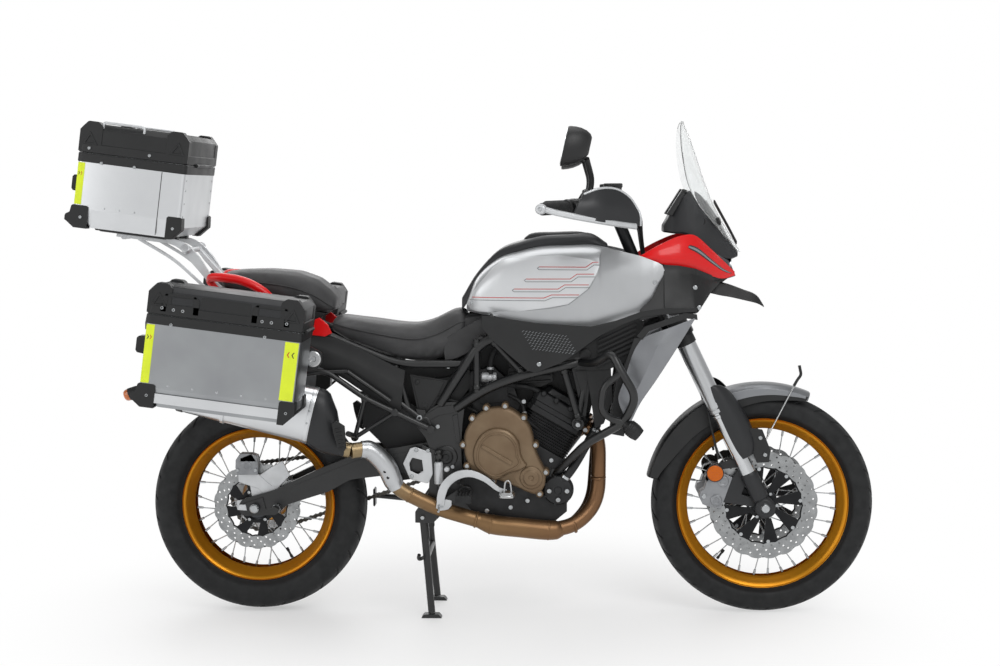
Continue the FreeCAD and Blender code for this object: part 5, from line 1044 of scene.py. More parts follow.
# %% Exhaust in heat-tinted steel
def heat_tinted(name):
    """Stainless steel that changes from gold at the back to brown and violet at the front: a ramp reads
    the place along X, shifted by noise of four centimetres."""
    material = bpy.data.materials.new(name)
    material.use_nodes = True
    tree = material.node_tree
    tree.nodes.clear()
    place = add(tree, "ShaderNodeTexCoord").outputs["Object"]
    axes = add(tree, "ShaderNodeSeparateXYZ", {"Vector": place})
    drift = add(tree, "ShaderNodeTexNoise", {"Vector": place, "Scale": 25.0, "Detail": 5.0})
    share = add(tree, "ShaderNodeMapRange", {"Value": axes.outputs["X"], "From Min": -0.35, "From Max": 0.37,
                                             "To Min": 0.0, "To Max": 0.85})
    small = add(tree, "ShaderNodeMapRange", {"Value": drift.outputs[0], "To Min": -0.12, "To Max": 0.14})
    sum_of = add(tree, "ShaderNodeMath", {0: share.outputs[0], 1: small.outputs[0]}, operation="ADD")
    ramp = add(tree, "ShaderNodeValToRGB", {"Fac": sum_of.outputs[0]})
    colours = ((0.0, "#9c8a6a"), (0.25, "#84694a"), (0.5, "#856848"), (0.75, "#7d5e42"), (1.0, "#77583f"))
    while len(ramp.color_ramp.elements) < len(colours):
        ramp.color_ramp.elements.new(0.5)
    for stop, (spot, code) in zip(ramp.color_ramp.elements, colours):
        stop.position = spot
        stop.color = linear(code)
    fine = add(tree, "ShaderNodeTexNoise", {"Vector": place, "Scale": 900.0})
    relief = add(tree, "ShaderNodeBump", {"Height": fine.outputs[0], "Distance": 0.00002, "Strength": 1.0})
    shader = add(tree, "ShaderNodeBsdfPrincipled", {"Base Color": ramp.outputs[0], "Metallic": 0.82,
                                                    "Roughness": 0.4, "Normal": relief.outputs[0]})
    add(tree, "ShaderNodeOutputMaterial", {"Surface": shader.outputs[0]})
    return material


heat = heat_tinted("heat_tinted_stainless")
right = bent([(331, -60, 562), (370, -72, 536), (368, -92, 347), (306, -124, 280), (226, -146, 266),
              (120, -148, 276)], 60.0, 10)
left = bent([(331, 60, 562), (368, 48, 530), (352, -20, 330), (290, -110, 270), (226, -144, 267)], 60.0, 10)
collector = through(np.array([(262, -136, 268), (226, -146, 267), (140, -149, 275), (60, -150, 284),
                              (20, -151, 296)], float), 6)
swell = np.interp(np.linspace(0, 1, len(collector)), [0, 0.12, 0.3, 0.8, 1.0], [20, 28, 29, 29, 23])
tail = bent([(40, -150, 290), (-103, -152, 332), (-228, -156, 394), (-252, -162, 462), (-300, -172, 512),
             (-352, -190, 507)], 45.0, 8)
seams = []
for a, b, r in (((226, -146, 267), (219, -146.5, 267.5), 29.4), ((58, -150, 284), (50, -150, 286), 29.8),
                ((14, -151, 298), (6, -151, 300), 24.6), ((368, -92, 420), (368, -91, 413), 22.8),
                ((300, -126, 279), (293, -128, 277), 22.8), ((-180, -154, 370), (-186, -154.5, 373), 23.2)):
    seams.append(turned([(0, r - 2.5), (1.5, r), (4, r + 0.6), (6.5, r), (8, r - 2.5)], a, b, 36))
flange_ends = (((330, -60, 563), (340, -63, 556)), ((330, 60, 563), (340, 57, 556)))
flanges = [turned([(0, 31), (7, 31), (9, 28)], a, b, 28) for a, b in flange_ends]
piece("exhaust_headers", [tube(right, 22.0, 28), tube(left, 19.0, 24), tube(collector, swell, 32),
                          tube(tail, 22.5, 28)] + seams + flanges, heat, "root",
                          "exhaust_pipes", smooth=50)

start, end = np.array([-459.0, -192.0, 610.0]), np.array([-852.0, -196.0, 706.0])
along = unit(end - start)
up = unit(np.cross(along, [0.0, 1.0, 0.0]))
up = up if up[2] > 0 else -up


def can(steps, sides=44):
    """Ovals square to the silencer's axis: at each distance behind its seam a lowest and a highest point
    and a half width. Powers of sine and cosine square the oval up a little."""
    angle = 2 * np.pi * np.arange(sides) / sides
    c, s = np.cos(angle), np.sin(angle)
    rows = []
    for far, low, high, wide in steps:
        rise = (high + low) / 2 + (high - low) / 2 * np.sign(s) * np.abs(s) ** 0.8
        rows.append(start + along * far + up * rise[:, None]
                    + np.array([0.0, 1.0, 0.0]) * (wide * np.sign(c) * np.abs(c) ** 0.8)[:, None])
    return lofted(rows)


shell = can([(0, -82, 82, 52), (4, -82.5, 82.5, 52.5), (372, -79, 79, 51), (376, -76, 76, 50)])
bands = [can([(a, -83, 83, 53), (a + 1, -84, 84, 54), (a + 10, -84, 84, 54),
              (a + 11, -83, 83, 53)]) for a in (3, 250)]
tip = can([(372, -78, 78, 50), (375, -80.5, 80.5, 52.5), (392, -80, 80, 52), (400, -73, 73, 47),
           (404, -64, 64, 42), (402, -58, 58, 37), (388, -56, 56, 35)])
nose = can([(1, -83, 83, 53), (-6, -86, 83, 53.5), (-20, -92, 81, 53), (-32, -96, 74, 51),
            (-44, -99, 56, 48), (-62, -100, 30, 43), (-84, -99, -22, 36), (-102, -96, -52, 29),
            (-112, -95, -56, 24)])
collar = can([(-108, -96, -52, 24), (-124, -95, -51, 23.5), (-128, -94, -52, 22.5)])
outlet = turned([(0, 20), (44, 20), (46, 18), (46, 15), (10, 15)], end - along * 42, end, 28)
piece("silencer_can", [shell] + bands, FINISH["brushed_aluminium"], "root", "muffler",
      edge=0.8, smooth=40)
piece("silencer_ends", [tip, nose, outlet], FINISH["dark_satin_paint"], edge=1.0, smooth=40)
piece("silencer_collar", [collar], heat, smooth=40)
rivets = [start + along * 10 + up * h + [0, -w, 0]
          for h, w in ((52, 43.5), (18, 53.0), (-18, 53.0), (-52, 43.5))]
piece("silencer_rivets", [repeated(cap_bolt(3.4, 1.6), rivets)], FINISH["zinc_plated_steel"])
sleeve_line = bent([(-222, -156, 392), (-236, -158.5, 420), (-252, -162, 462), (-296, -171, 508),
                    (-324, -180, 510)], 40.0, 9)
sleeve = tube(sleeve_line, np.interp(np.linspace(0, 1, len(sleeve_line)), [0, 0.05, 0.5, 0.95, 1.0],
                                     [25, 28, 30, 28, 25]), 32)
piece("exhaust_heat_shield", [sleeve], FINISH["silver_anodised_aluminium"], smooth=50)
# The shield's holes are black discs on its face: their black is painted shade, the dark seen into each hole.
dots = [turned([(0, 4.6), (1.6, 4.6), (1.7, 0.1)], (x, y + 1, z), (x, y - 1, z), 14)
        for x, y, z in ((-254, -189.6, 446), (-245, -187.6, 428), (-262, -189.4, 464))]
piece("heat_shield_holes_painted_shade", dots, FINISH["moulded_black_abs"])
print("exhaust pieces ready")

# %% [markdown]
# The radiator's core is a stack of fins and flat tubes. It is drawn as a grid of thin plates inside a
# frame, because it shows between the wings from the front.

# %% Radiator
def on_core(up_share, depth):
    """A point in the core's plane: a share of the way up it, and a depth from its front face."""
    front = np.array([436.0, 552.0]) * (1 - up_share) + np.array([462.0, 742.0]) * up_share
    back = np.array([404.0, 560.0]) * (1 - up_share) + np.array([430.0, 752.0]) * up_share
    return front * (1 - depth) + back * depth


plates = [cut_plate([on_core(0, 0.08), on_core(1, 0.08), on_core(1, 0.92), on_core(0, 0.92)],
                    y - 0.6, y + 0.6)
          for y in np.arange(-144, 145, 6.0)]
flats = []
for k in range(18):
    a = (k + 0.3) / 18
    flats.append(cut_plate([on_core(a, 0.02), on_core(a + 0.014, 0.02), on_core(a + 0.014, 0.98),
                            on_core(a, 0.98)], -149, 149))
ends = [cut_plate([(398, 556), (442, 548), (468, 746), (424, 757)], 149, 177),
        cut_plate([(402, 575), (444, 568), (445, 574), (403, 581)], 148, 179),
        cut_plate([(420, 728), (464, 721), (465, 727), (421, 734)], 148, 179)]
core_back = cut_plate([on_core(0, 0.45), on_core(1, 0.45), on_core(1, 0.6), on_core(0, 0.6)], -149, 149)
brackets = [cut_plate([(428, 742), (446, 740), (452, 796), (436, 798)], y - 8, y + 8) for y in (-62.0, 62.0)]
piece("radiator_core_fins", plates + flats + [core_back], FINISH["grey_anodised_aluminium"])
piece("radiator_tanks", pair(ends) + brackets, FINISH["moulded_black_abs"], "root",
      "radiator", edge=2.0)
print("radiator plates", len(plates) + len(flats))

# %% [markdown]
# ## Swingarm and shock
# The swingarm is a welded aluminium box on each side with black paint. The outline is the side view,
# and a second, smaller outline pressed into its face gives the hollow between its ribs.

# %% Swingarm and shock
PIVOT = np.array([-79.0, 0.0, 480.0])
arm_along = unit(rear_axle - PIVOT)
arm_up = np.array([arm_along[2], 0.0, -arm_along[0]])
arm_up = arm_up if arm_up[2] > 0 else -arm_up
arm_length = np.linalg.norm(rear_axle - PIVOT)


def on_arm(share, high):
    """A point at a share of the way from the pivot to the axle, and a height over that line."""
    p = PIVOT + arm_along * share * arm_length + arm_up * high
    return p[0], p[2]


def arm_side(points, y0, y1, steps=3):
    """A plate of the arm: its outline's corners are rounded by fourteen millimetres."""
    line = bent([(a, 0.0, b) for a, b in (on_arm(*q) for q in points + points[:1])], 14.0, steps)
    return cut_plate(line[:-1, [0, 2]], y0, y1)


back = [(0.435, 75.5), (0.618, 63.3), (0.885, 35.6), (1.058, 34.1), (1.085, 13.6), (1.08, -14.1),
        (0.903, -38.2), (0.846, -16.3), (0.62, -10.9), (0.501, 7.4)]
right_line = [(-0.063, -12.1), (-0.045, 25.9), (0.048, 53.2)] + back + [(0.085, -27.9), (-0.016, -37.8)]
left_line = [(0.157, 45.7)] + back + [(0.187, -19.9)]
right_arm = [arm_side(right_line, -111, -89), arm_side([(0.10, 36), (0.43, 58), (0.80, 32), (0.80, 2),
                                                        (0.50, 26), (0.10, -10)], -113, -110)]
left_arm = [arm_side(left_line, 108, 133), arm_side([(0.24, 34), (0.43, 58), (0.80, 32), (0.80, 2),
                                                     (0.50, 26)], 132, 135)]
inner = arm_side([(-0.059, -13.5), (-0.033, -1.1), (0.07, 4.9), (0.315, 15.0), (0.336, -31.3),
                  (0.085, -27.9)], 60, 111)
bridge = arm_side([(0.163, -44.5), (0.141, 3.8), (0.315, 15.0), (0.336, -31.3)], -89, 111)
end_plate = [on_arm(0.95, 24), on_arm(1.075, 20), on_arm(1.07, -8), on_arm(0.95, -14)]
plates = [cut_plate(end_plate, -116, -110), cut_plate(end_plate, 132, 138)]
rods = [turned([(0, 14), (250, 14), (252, 12)], (-79, -126, 480), (-79, 126, 480), 24),
        turned([(0, 12.5), (62, 12.5)], (-583, -108, 326), (-583, -135, 326), 8)]
piece("swingarm_welded", right_arm + left_arm + [inner, bridge] + plates + rods, coat, "root",
      "swingarm", edge=2.2, smooth=34)
axle = [turned([(0, 10), (4, 14), (16, 14), (18, 11), (262, 11), (264, 14), (278, 14), (282, 10)],
               (-648, -139, 326), (-648, 143, 326), 24)]
spools = [turned([(0, 13), (4, 9), (12, 9), (20, 13), (26, 13)], (-583, y, 326), (-583, y * 1.1, 326), 20)
          for y in (-110.0, 131.0)]
piece("rear_axle_and_spools", axle + spools, FINISH["zinc_plated_steel"], edge=0.6)
adjuster = [(-700, 320), (-694, 336), (-676, 336), (-672, 318)]
adjusters = [cut_plate(adjuster, -119, -113), cut_plate(adjuster, 135, 140)]
piece("chain_adjusters", adjusters, FINISH["silver_cast_paint"], edge=0.8)
pivot_caps = [turned([(0, 21), (5, 21), (8, 17), (8, 10), (6, 8), (6, 0.1)], (-79, y, 480),
                     (-79, y * 1.1, 480), 32)
              for y in (-127.0, 127.0)]
piece("pivot_caps", pivot_caps, FINISH["moulded_black_abs"], edge=0.8)

foot_x, foot_z = on_arm(0.208, 10.4)
low = np.array([foot_x, 0.0, foot_z])
high = np.array([-96.0, 0.0, 644.0])
shock_way = unit(high - low)
length = np.linalg.norm(high - low)
t = np.linspace(0, 1, 170)
side = np.array([0.0, 1.0, 0.0])
out = unit(np.cross(shock_way, side))
winding = 2 * np.pi * 5.5 * t[:, None]
coil = (low + shock_way * (26 + t[:, None] * (length - 70))
        + 32 * (np.cos(winding) * side + np.sin(winding) * out))
body = [turned([(0, 15), (20, 22), (26, 36), (30, 36), (31, 22), (length - 44, 22), (length - 42, 36),
                (length - 36, 36), (length - 34, 24), (length - 8, 22), (length, 12)], low, high, 32)]
piece("shock_damper", body, FINISH["black_anodised_aluminium"],
      "root", "rear_shock", smooth=40)
piece("shock_spring", [tube(coil, 5.0, 10)], FINISH["gloss_red_paint"])
print("coils", 5.5)

# %% [markdown]
# ## Fork, clamps and front calipers
# The fork is upside down, as on most motorcycles of this kind: a silver anodised outer tube held by
# two clamps, and a chromed leg that slides in it, with a cast foot at the axle. All of this turns
# with the steering, so it rides on that body.

# %% Fork
def clamp(z, thick):
    """A clamp: a smooth outline square to the steering axis, carried along the axis."""
    e = FORK_Y + 33
    outline = through(np.array([(-32, 0), (-28, -32), (-8, -72), (4, -e + 8), (30, -e), (58, -e + 8),
                                (68, -72), (50, 0), (68, 72), (58, e - 8), (30, e), (4, e - 8), (-8, 72),
                                (-28, 32)], float), 4, closed=True)
    base = steer_point(z)
    foot = base + outline[:, :1] * HEAD_OUT + outline[:, 1:] * np.array([0.0, 1.0, 0.0])
    return lofted(np.stack([foot, foot + HEAD_UP * thick]))


low_z, high_z = 822.0, 1004.0
stem = turned([(0, 14), (200, 14), (202, 20), (214, 20), (217, 14)], steer_point(low_z + 4),
              steer_point(high_z + 34), 28)
piece("fork_clamps_cast", [clamp(low_z, 28), clamp(high_z, 28), stem], FINISH["black_anodised_aluminium"],
      "steering", "fork_clamps", edge=2.4, smooth=34)
tubes = []
for y in (-FORK_Y, FORK_Y):
    a, b = fork_point(612, y), fork_point(1046, y)
    n = np.linalg.norm(b - a)
    tubes.append(turned([(0, 24), (2, 27), (12, 27), (13, 26), (16, 26), (17, 27), (30, 27), (34, 26.4),
                         (n - 20, 26.4), (n - 16, 27), (n - 4, 27), (n, 22), (n, 15), (n - 3, 13),
                         (n - 3, 0.1)], a, b, 44))
grips = []
for y in (-FORK_Y, FORK_Y):
    a, b = fork_point(810, y), fork_point(884, y)
    n = np.linalg.norm(b - a)
    grips.append(turned([(0, 27), (2, 29.5), (n * 0.4, 29.5), (n * 0.44, 28), (n * 0.56, 28),
                         (n * 0.6, 29.5), (n - 2, 29.5), (n, 27)], a, b, 40))
piece("fork_clamp_grips", grips, FINISH["cast_black_paint"], "steering", smooth=40)
piece("fork_outer_tubes", tubes, FINISH["silver_anodised_aluminium"], "steering",
      "fork_tubes", smooth=40)
legs, feet = [], []
for y in (-FORK_Y, FORK_Y):
    a, b = fork_point(389.5, y), fork_point(612, y)
    legs.append(turned([(0, 23), (np.linalg.norm(b - a), 23)], a, b, 44))
    legs.append(turned([(0, 23.4), (2, 26), (9, 26), (11, 23.4)], fork_point(598, y),
                       fork_point(612, y), 40))
    s = math.copysign(1.0, y)
    a, b = fork_point(351, y), fork_point(433, y)
    n = np.linalg.norm(b - a)
    feet.append(turned([(0, 20), (10, 25), (n - 12, 26), (n - 3, 25), (n, 23)], a, b, 36))
    feet.append(turned([(0, 24), (3, 30), (44, 30), (49.5, 24)], (857, y - s * 23.5, 329.5),
                       (857, y + s * 26, 329.5), 40))
    feet.append(cut_plate([(706, 352), (744, 340), (846, 326), (836, 352), (790, 366), (812, 420),
                           (780, 440), (752, 400), (716, 380)], *sorted((y - s * 21, y - s * 9))))
piece("fork_legs_chromed", legs, FINISH["hard_chrome"], "steering", "fork_legs", smooth=40)
axle = turned([(0, 11), (6, 15), (12, 15), (14, 11), (258, 11), (260, 15), (268, 15), (272, 11)],
              (857, -136, 329.5), (857, 136, 329.5), 28)
piece("fork_feet_cast", feet, FINISH["dark_satin_paint"], "steering", edge=1.8, smooth=36)
piece("front_axle_ends", [axle], FINISH["zinc_plated_steel"], "steering", edge=0.5)

cal_turn = math.radians(160.4)
parts, pads = [], []
for side_of in (-1, 1):
    y0, y1 = sorted((side_of * 50.0, side_of * 98.0))
    for ya, yb, grow in ((y0, side_of * 70 - 8.3, 0.0), (side_of * 70 + 8.3, y1, 2.0)):
        line = [(118, -50 - grow), (118, 50 + grow), (160, 55 + grow), (172, 54), (190, 38), (192, 20),
                (184, 12), (184, -12), (192, -20), (190, -38), (172, -54), (160, -55 - grow)]
        parts.append(cut_plate(line, *sorted((ya, yb))))
    parts.append(cut_plate([(170, -50), (170, 50), (172, 54), (190, 38), (192, 20), (184, 12), (184, -12),
                            (192, -20), (190, -38), (172, -54)], y0, y1))
    for a in (-30.0, 30.0):
        parts.append(turned([(0, 17), (5, 17), (7, 14), (7, 9), (5, 8)], (140, side_of * 96, a),
                            (140, side_of * 104, a), 24))
    for a in (-44.0, 44.0):
        pads.append(turned([(0, 6.5), (5, 6.5), (6, 4)], (178, side_of * 97, a * 0.7),
                           (178, side_of * 104, a * 0.7), 12))


def on_caliper(part):
    """Turn a caliper piece round the front axle to its place behind the leg."""
    p = np.asarray(part[0], float)
    x, z = p[:, 0], p[:, 2]
    c, s = math.cos(cal_turn), math.sin(cal_turn)
    return np.stack([FRONT_X + x * c - z * s, p[:, 1], FRONT_Z + x * s + z * c], -1), part[1]


piece("front_calipers_cast", [on_caliper(p) for p in parts], FINISH["grey_cast_aluminium"],
      "steering", "front_calipers", edge=1.8, smooth=36)
piece("front_caliper_bolts", [on_caliper(p) for p in pads], FINISH["zinc_plated_steel"],
      "steering")
print("fork ready")

# %% [markdown]
# ## Front mudguard
# The front part is painted grey, and the part behind the fork is black moulded plastic. Both are the
# same swept section, an arch over the tyre carried round the axle, with side walls that reach
# inwards. A shield on each fork leg, a stay rod and the brake lines go with it.

# %% Mudguard over the front tyre
def guard(first, last, extra=0.0, count=26):
    """The arch's section carried round the front axle between two angles in degrees."""
    section = np.array([(-64, -17), (-59, -6), (-49, 1), (-38, 4.6), (-20, 5.8), (0, 6.2), (20, 5.8),
                        (38, 4.6), (49, 1), (59, -6), (64, -17), (59, -20), (54, -9), (44, -2), (30, 0.8),
                        (0, 1.6), (-30, 0.8), (-44, -2), (-54, -9), (-59, -20)], float)
    angle = np.radians(np.linspace(first, last, count))
    ease = np.clip(np.minimum((angle - angle[0]), (angle[-1] - angle)) / 0.18, 0, 1)[:, None]
    width = (0.8 + 0.2 * ease ** 0.6) * section[None, :, 0]
    r = 345.5 + extra + section[None, :, 1]
    return lofted(np.stack([FRONT_X + r * np.cos(angle)[:, None], width,
                            FRONT_Z + r * np.sin(angle)[:, None]], -1))


def skirt(y, first=68.0, last=166.0, deep=1.0, count=40):
    """A side wall of the mudguard: at each angle it reaches from the arch inwards to its own radius."""
    angle = np.radians(np.linspace(first, last, count))
    inner = np.interp(np.degrees(angle), [68, 76, 90, 104, 122, 146, 158, 166],
                      [334, 318, 307, 296, 284, 292, 306, 326])
    inner = np.convolve(np.pad(inner, 2, mode="edge"), np.ones(5) / 5, mode="valid")
    inner = 346.0 - (346.0 - inner) * deep
    r = inner[:, None] + (346.0 - inner)[:, None] * np.linspace(0, 1, 5)[None]
    rows = np.stack([FRONT_X + r * np.cos(angle)[:, None], y + 0 * r, FRONT_Z + r * np.sin(angle)[:, None]],
                    -1)
    return slab(rows, [0.0, math.copysign(2.6, y), 0.0])


piece("mudguard_painted", [guard(67, 117, 7.0), skirt(-64.0, 69.0, 117.0, 0.5),
                           skirt(64.0, 69.0, 117.0, 0.5)],
      FINISH["grey_satin_paint"], "steering",
      "front_mudguard", edge=1.0, smooth=50)
piece("mudguard_moulded", [guard(115, 167, 0.0, 20), skirt(-61.0), skirt(61.0)], FINISH["moulded_black_abs"],
      "steering", edge=1.0, smooth=50)
shields, tabs, tab_bolts = [], [], []
shape = np.array([(-6, 130.5), (12, 134), (32, 132), (50, 122), (64, 106), (70, 90), (68, 80)], float)
for s in (-1.0, 1.0):
    rows = []
    for z, share in ((684, 0.16), (674, 0.46), (654, 0.7), (610, 0.88), (560, 0.97), (520, 0.93),
                     (495, 0.78), (474, 0.45)):
        a = shape[0] + (shape - shape[0]) * share + [16.0 * (1 - share), 0]
        rows.append(fork_point(z) + a[:, :1] * HEAD_OUT + a[:, 1:] * [0.0, s, 0.0])
    grid = np.swapaxes(through(np.swapaxes(through(np.array(rows), 4), 0, 1), 4), 0, 1)
    shields.append(slab(grid, [0.0, -3.2 * s, 0.0]))
    tabs.append(cut_plate([(806, 566), (848, 560), (872, 500), (868, 464), (832, 462), (818, 500)],
                          *sorted((s * 106.0, s * 113.0))))
    tab_bolts.append(repeated(cap_bolt(6.0, 4.0, s), [(842, s * 113, 536), (856, s * 113, 486)]))
piece("fork_shields", shields, FINISH["dark_satin_paint"], "steering", edge=0.8, smooth=50)
piece("fork_shield_tabs", tabs, FINISH["moulded_black_abs"], "steering", edge=1.0)
piece("fork_shield_bolts", tab_bolts, FINISH["zinc_plated_steel"], "steering")
rod = tube(np.array([(862, -104, 482), (850, -90, 506), (948, -64, 690)], float), 2.4, 10)
hook = tube(bent([(944, -64, 683), (956, -63, 704), (966, -62, 716), (960, -62, 744)], 8.0, 4), 4.4, 12)
piece("guard_stay_rod", [rod], FINISH["satin_stainless"], "steering")
line = through(np.array([(618, 92, 800), (634, 94, 745), (676, 94, 670), (700, 94, 565), (722, 100, 470)],
                        float), 6)
piece("brake_lines", [hook] + pair([tube(line, 3.6, 10)]), FINISH["moulded_black_abs"],
      "steering")
print("mudguard ready")

# %% [markdown]
# ## Handlebar, controls, hand guards and mirrors
# A tapered bar sits on two risers, with ribbed rubber grips. Each side has a switch block, a lever in
# silver, a fluid pot, an aluminium guard bar with a black shield, and a mirror on a cranked stem.

# %% Bar, grips and levers
half = [bar_at(-79.6, 92, 177.4), bar_at(-119.6, 190, 213.4), bar_at(-286, 452, 206)]
whole = [p * [1, -1, 1] for p in half[::-1]] + half
bar = tube(bent(whole, 40.0, 8), 11.5, 20)
middle = bar_at(-75.6, 0, 177.4)
risers = []
for y in (-46.0, 46.0):
    foot = steer_point(1029, 0, y)
    top = np.array([middle[0], y, middle[2]])
    risers.append(turned([(0, 22), (8, 22), (12, 17), (np.linalg.norm(top - foot) - 14, 17)], foot, top, 28))
    risers.append(turned([(0, 20), (2, 22), (26, 22), (28, 20)], top + [0, -14, 0], top + [0, 14, 0], 28))
piece("handlebar_bent", [bar] + risers, FINISH["black_anodised_aluminium"], "steering",
      "handlebar", edge=0.8, smooth=40)
way = unit(half[2] - half[1])
grips, ends = [], []
for s in (-1.0, 1.0):
    flip_side = np.array([1.0, s, 1.0])
    a, b = (half[2] - way * 122) * flip_side, (half[2] + way * 12) * flip_side
    profile = [(0, 17), (2, 20), (7, 20), (9, 16.6)]
    for k in range(14):
        profile += [(11 + 8.2 * k, 16.6), (12.2 + 8.2 * k, 17.6), (16.6 + 8.2 * k, 17.6),
                    (17.8 + 8.2 * k, 16.6)]
    profile += [(128, 17.4), (133, 15)]
    grips.append(turned(profile, a, b, 28))
    tip_a, tip_b = bar_at(-289, 465.5 * s, 206), bar_at(-296, 486 * s, 206)
    ends.append(turned([(0, 13), (3, 14.5), (18, 14.5), (21, 11), (21, 6), (16, 5)], tip_a, tip_b, 28))
piece("rubber_grips", grips, FINISH["soft_grip_rubber"], "steering")

levers, blocks, pots, looms = [], [], [], []
for s in (-1.0, 1.0):
    a, b = bar_at(-182, s * 284, 209), bar_at(-212, s * 333, 208)
    n = np.linalg.norm(b - a)
    blocks.append(turned([(0, 19), (3, 23), (24, 23), (26, 20), (29, 20), (31, 23), (n - 3, 23), (n, 19)],
                         a, b, 12))
    blocks.append(tube(bent([bar_at(-100, s * 320, 240), bar_at(-140, s * 300, 232),
                             bar_at(-182, s * 288, 220)], 20.0), 10.5, 14))
    pots.append(turned([(0, 20), (4, 23), (30, 25), (33, 27), (41, 27), (43, 24), (43, 8), (41, 0.1)],
                       bar_at(-94, s * 320, 233), bar_at(-94, s * 320, 276), 32))
    path = bent([bar_at(-150, s * 300, 214), bar_at(-130, s * 330, 206), bar_at(-150, s * 395, 198),
                 bar_at(-188, s * 448, 191)], 30.0, 6)
    looms.append(tube(bent([bar_at(-100, s * 318, 232), bar_at(-50, s * 270, 204), bar_at(-10, s * 160, 190),
                            bar_at(-6, s * 80, 124), bar_at(10, s * 44, 20)], 60.0, 8), 5.0, 10))
    looms.append(tube(bent([bar_at(-150, s * 288, 214), bar_at(-96, s * 220, 204), bar_at(-20, s * 120, 180),
                            bar_at(-2, s * 50, 112), bar_at(8, s * 26, 20)], 60.0, 8), 4.0, 10))
    levers.append(tube(path, np.interp(np.linspace(0, 1, len(path)), [0, 0.9, 0.96, 1], [6, 4.6, 7, 6]), 12))
piece("switch_blocks", blocks, FINISH["moulded_black_abs"], "steering", "bar_controls",
      edge=1.0, smooth=36)
piece("fluid_pots", pots, FINISH["moulded_black_abs"], "steering", smooth=36)
piece("bar_lines", looms, FINISH["moulded_black_abs"], "steering")
piece("hand_levers", levers, FINISH["silver_cast_paint"], "steering")

shields, rails = [], []
for s in (-1.0, 1.0):
    line = bent([bar_at(-294, s * 478, 208), bar_at(-238, s * 468, 192), bar_at(-120, s * 436, 170),
                 bar_at(-30, s * 366, 156)], 50.0, 8)
    flat = np.stack([line + [0, 0, -9], line + [0, 0, -5] + np.array([2.0, 4.5 * s, 0]), line + [0, 0, 5]
                     + np.array([2.0, 4.5 * s, 0]), line + [0, 0, 9],
                     line + [0, 0, 5] - np.array([2.0, 4.5 * s, 0]),
                     line + [0, 0, -5] - np.array([2.0, 4.5 * s, 0])], 1)
    rails.append(lofted(flat))
    rows = []
    for low_p, mid_p, high_p in (((-206, 460, 186), (-190, 452, 222), (-176, 434, 246)),
                                 ((-168, 452, 178), (-150, 446, 220), (-142, 420, 259)),
                                 ((-128, 441, 170), (-113, 429, 218), (-108, 398, 263)),
                                 ((-84, 410, 162), (-76, 402, 212), (-76, 378, 256)),
                                 ((-50, 384, 158), (-44, 376, 204), (-46, 362, 234)),
                                 ((-18, 356, 157), (-18, 356, 180), (-22, 352, 197))):
        rows.append([bar_at(x, s * y, z) for x, y, z in (low_p, mid_p, high_p)])
    grid = np.swapaxes(through(np.swapaxes(through(np.array(rows), 5), 0, 1), 5), 0, 1)
    shields.append(slab(grid, [-3.0, -4.0 * s, 0.0]))
    edge_line = np.concatenate([grid[:, -1], grid[-1, ::-1][1:]])
    rails.append(tube(edge_line, 3.4, 10))
piece("hand_guard_rails", rails + ends, FINISH["silver_cast_paint"],
      "steering", edge=1.0, smooth=40)
piece("hand_guard_shields", shields, FINISH["dark_satin_paint"], "steering", "hand_guards",
      edge=1.2, smooth=50)

backs = through(np.array([(-40, 1340), (-50, 1382), (-38, 1424), (8, 1437), (42, 1420), (54, 1378),
                          (38, 1336), (-4, 1327)], float), 6, closed=True)
base = steer_point(1004)
housings, glasses, stems = [], [], []
for s in (-1.0, 1.0):
    def ring(x, scale):
        """The mirror's outline, drawn in to a scale and leaning back towards its top."""
        y = 402 + backs[:, 0] * scale
        z = 1382 + (backs[:, 1] - 1382) * scale
        return np.stack([base[0] + x + 0.22 * (z - 1382), s * y, base[2] + z - 1004], -1)
    housings.append(lofted([ring(-230, 0.94), ring(-229, 0.99), ring(-223, 1.0), ring(-208, 0.97),
                            ring(-192, 0.90), ring(-176, 0.77), ring(-164, 0.60), ring(-158, 0.42)]))
    glasses.append(lofted([ring(-228, 0.90), ring(-231, 0.90), ring(-231.4, 0.88)]))
    stems.append(tube(bent([bar_at(-164, s * 298, 218), bar_at(-152, s * 340, 286),
                            bar_at(-168, s * 388, 344)], 24.0, 6), 8.0, 14))
    stems.append(turned([(0, 14), (6, 15), (40, 15), (44, 10)], bar_at(-165, s * 296, 216),
                        bar_at(-160, s * 312, 262), 20))
piece("mirror_housings", housings + stems, FINISH["moulded_black_abs"], "steering",
      "mirrors", edge=0.8, smooth=40)
piece("mirror_glasses", glasses, FINISH["silvered_mirror_glass"], "steering")
print("handlebar ready")

# %% [markdown]
# ## The tank
# The tank is pressed and painted in satin silver. Its side is one smooth swelling that folds in at
# the knees and narrows to the seat. The stations below are outlines at places along X, and smooth
# lines run through them both ways. The same numbers then give a table of the side's Y over X and Z,
# on which the front panel, the bolts and the printed lines lie.

# %% Tank skin and its table of sides
stations = np.array([
    # x, then heights of top, shoulder, side and underside, then half widths of the same
    (-18, 935, 931, 922, 908, 62, 86, 96, 88), (12, 1004, 985, 955, 905, 74, 112, 126, 112),
    (79, 1064, 1040, 985, 894, 84, 128, 146, 130), (140, 1084, 1062, 1000, 888, 88, 134, 154, 140),
    (199, 1097, 1074, 1005, 886, 90, 137, 158, 146), (280, 1101, 1078, 1005, 886, 92, 139, 161, 148),
    (350, 1102, 1078, 1003, 888, 90, 140, 163, 150), (396, 1094, 1070, 1000, 900, 82, 136, 163, 152)], float)


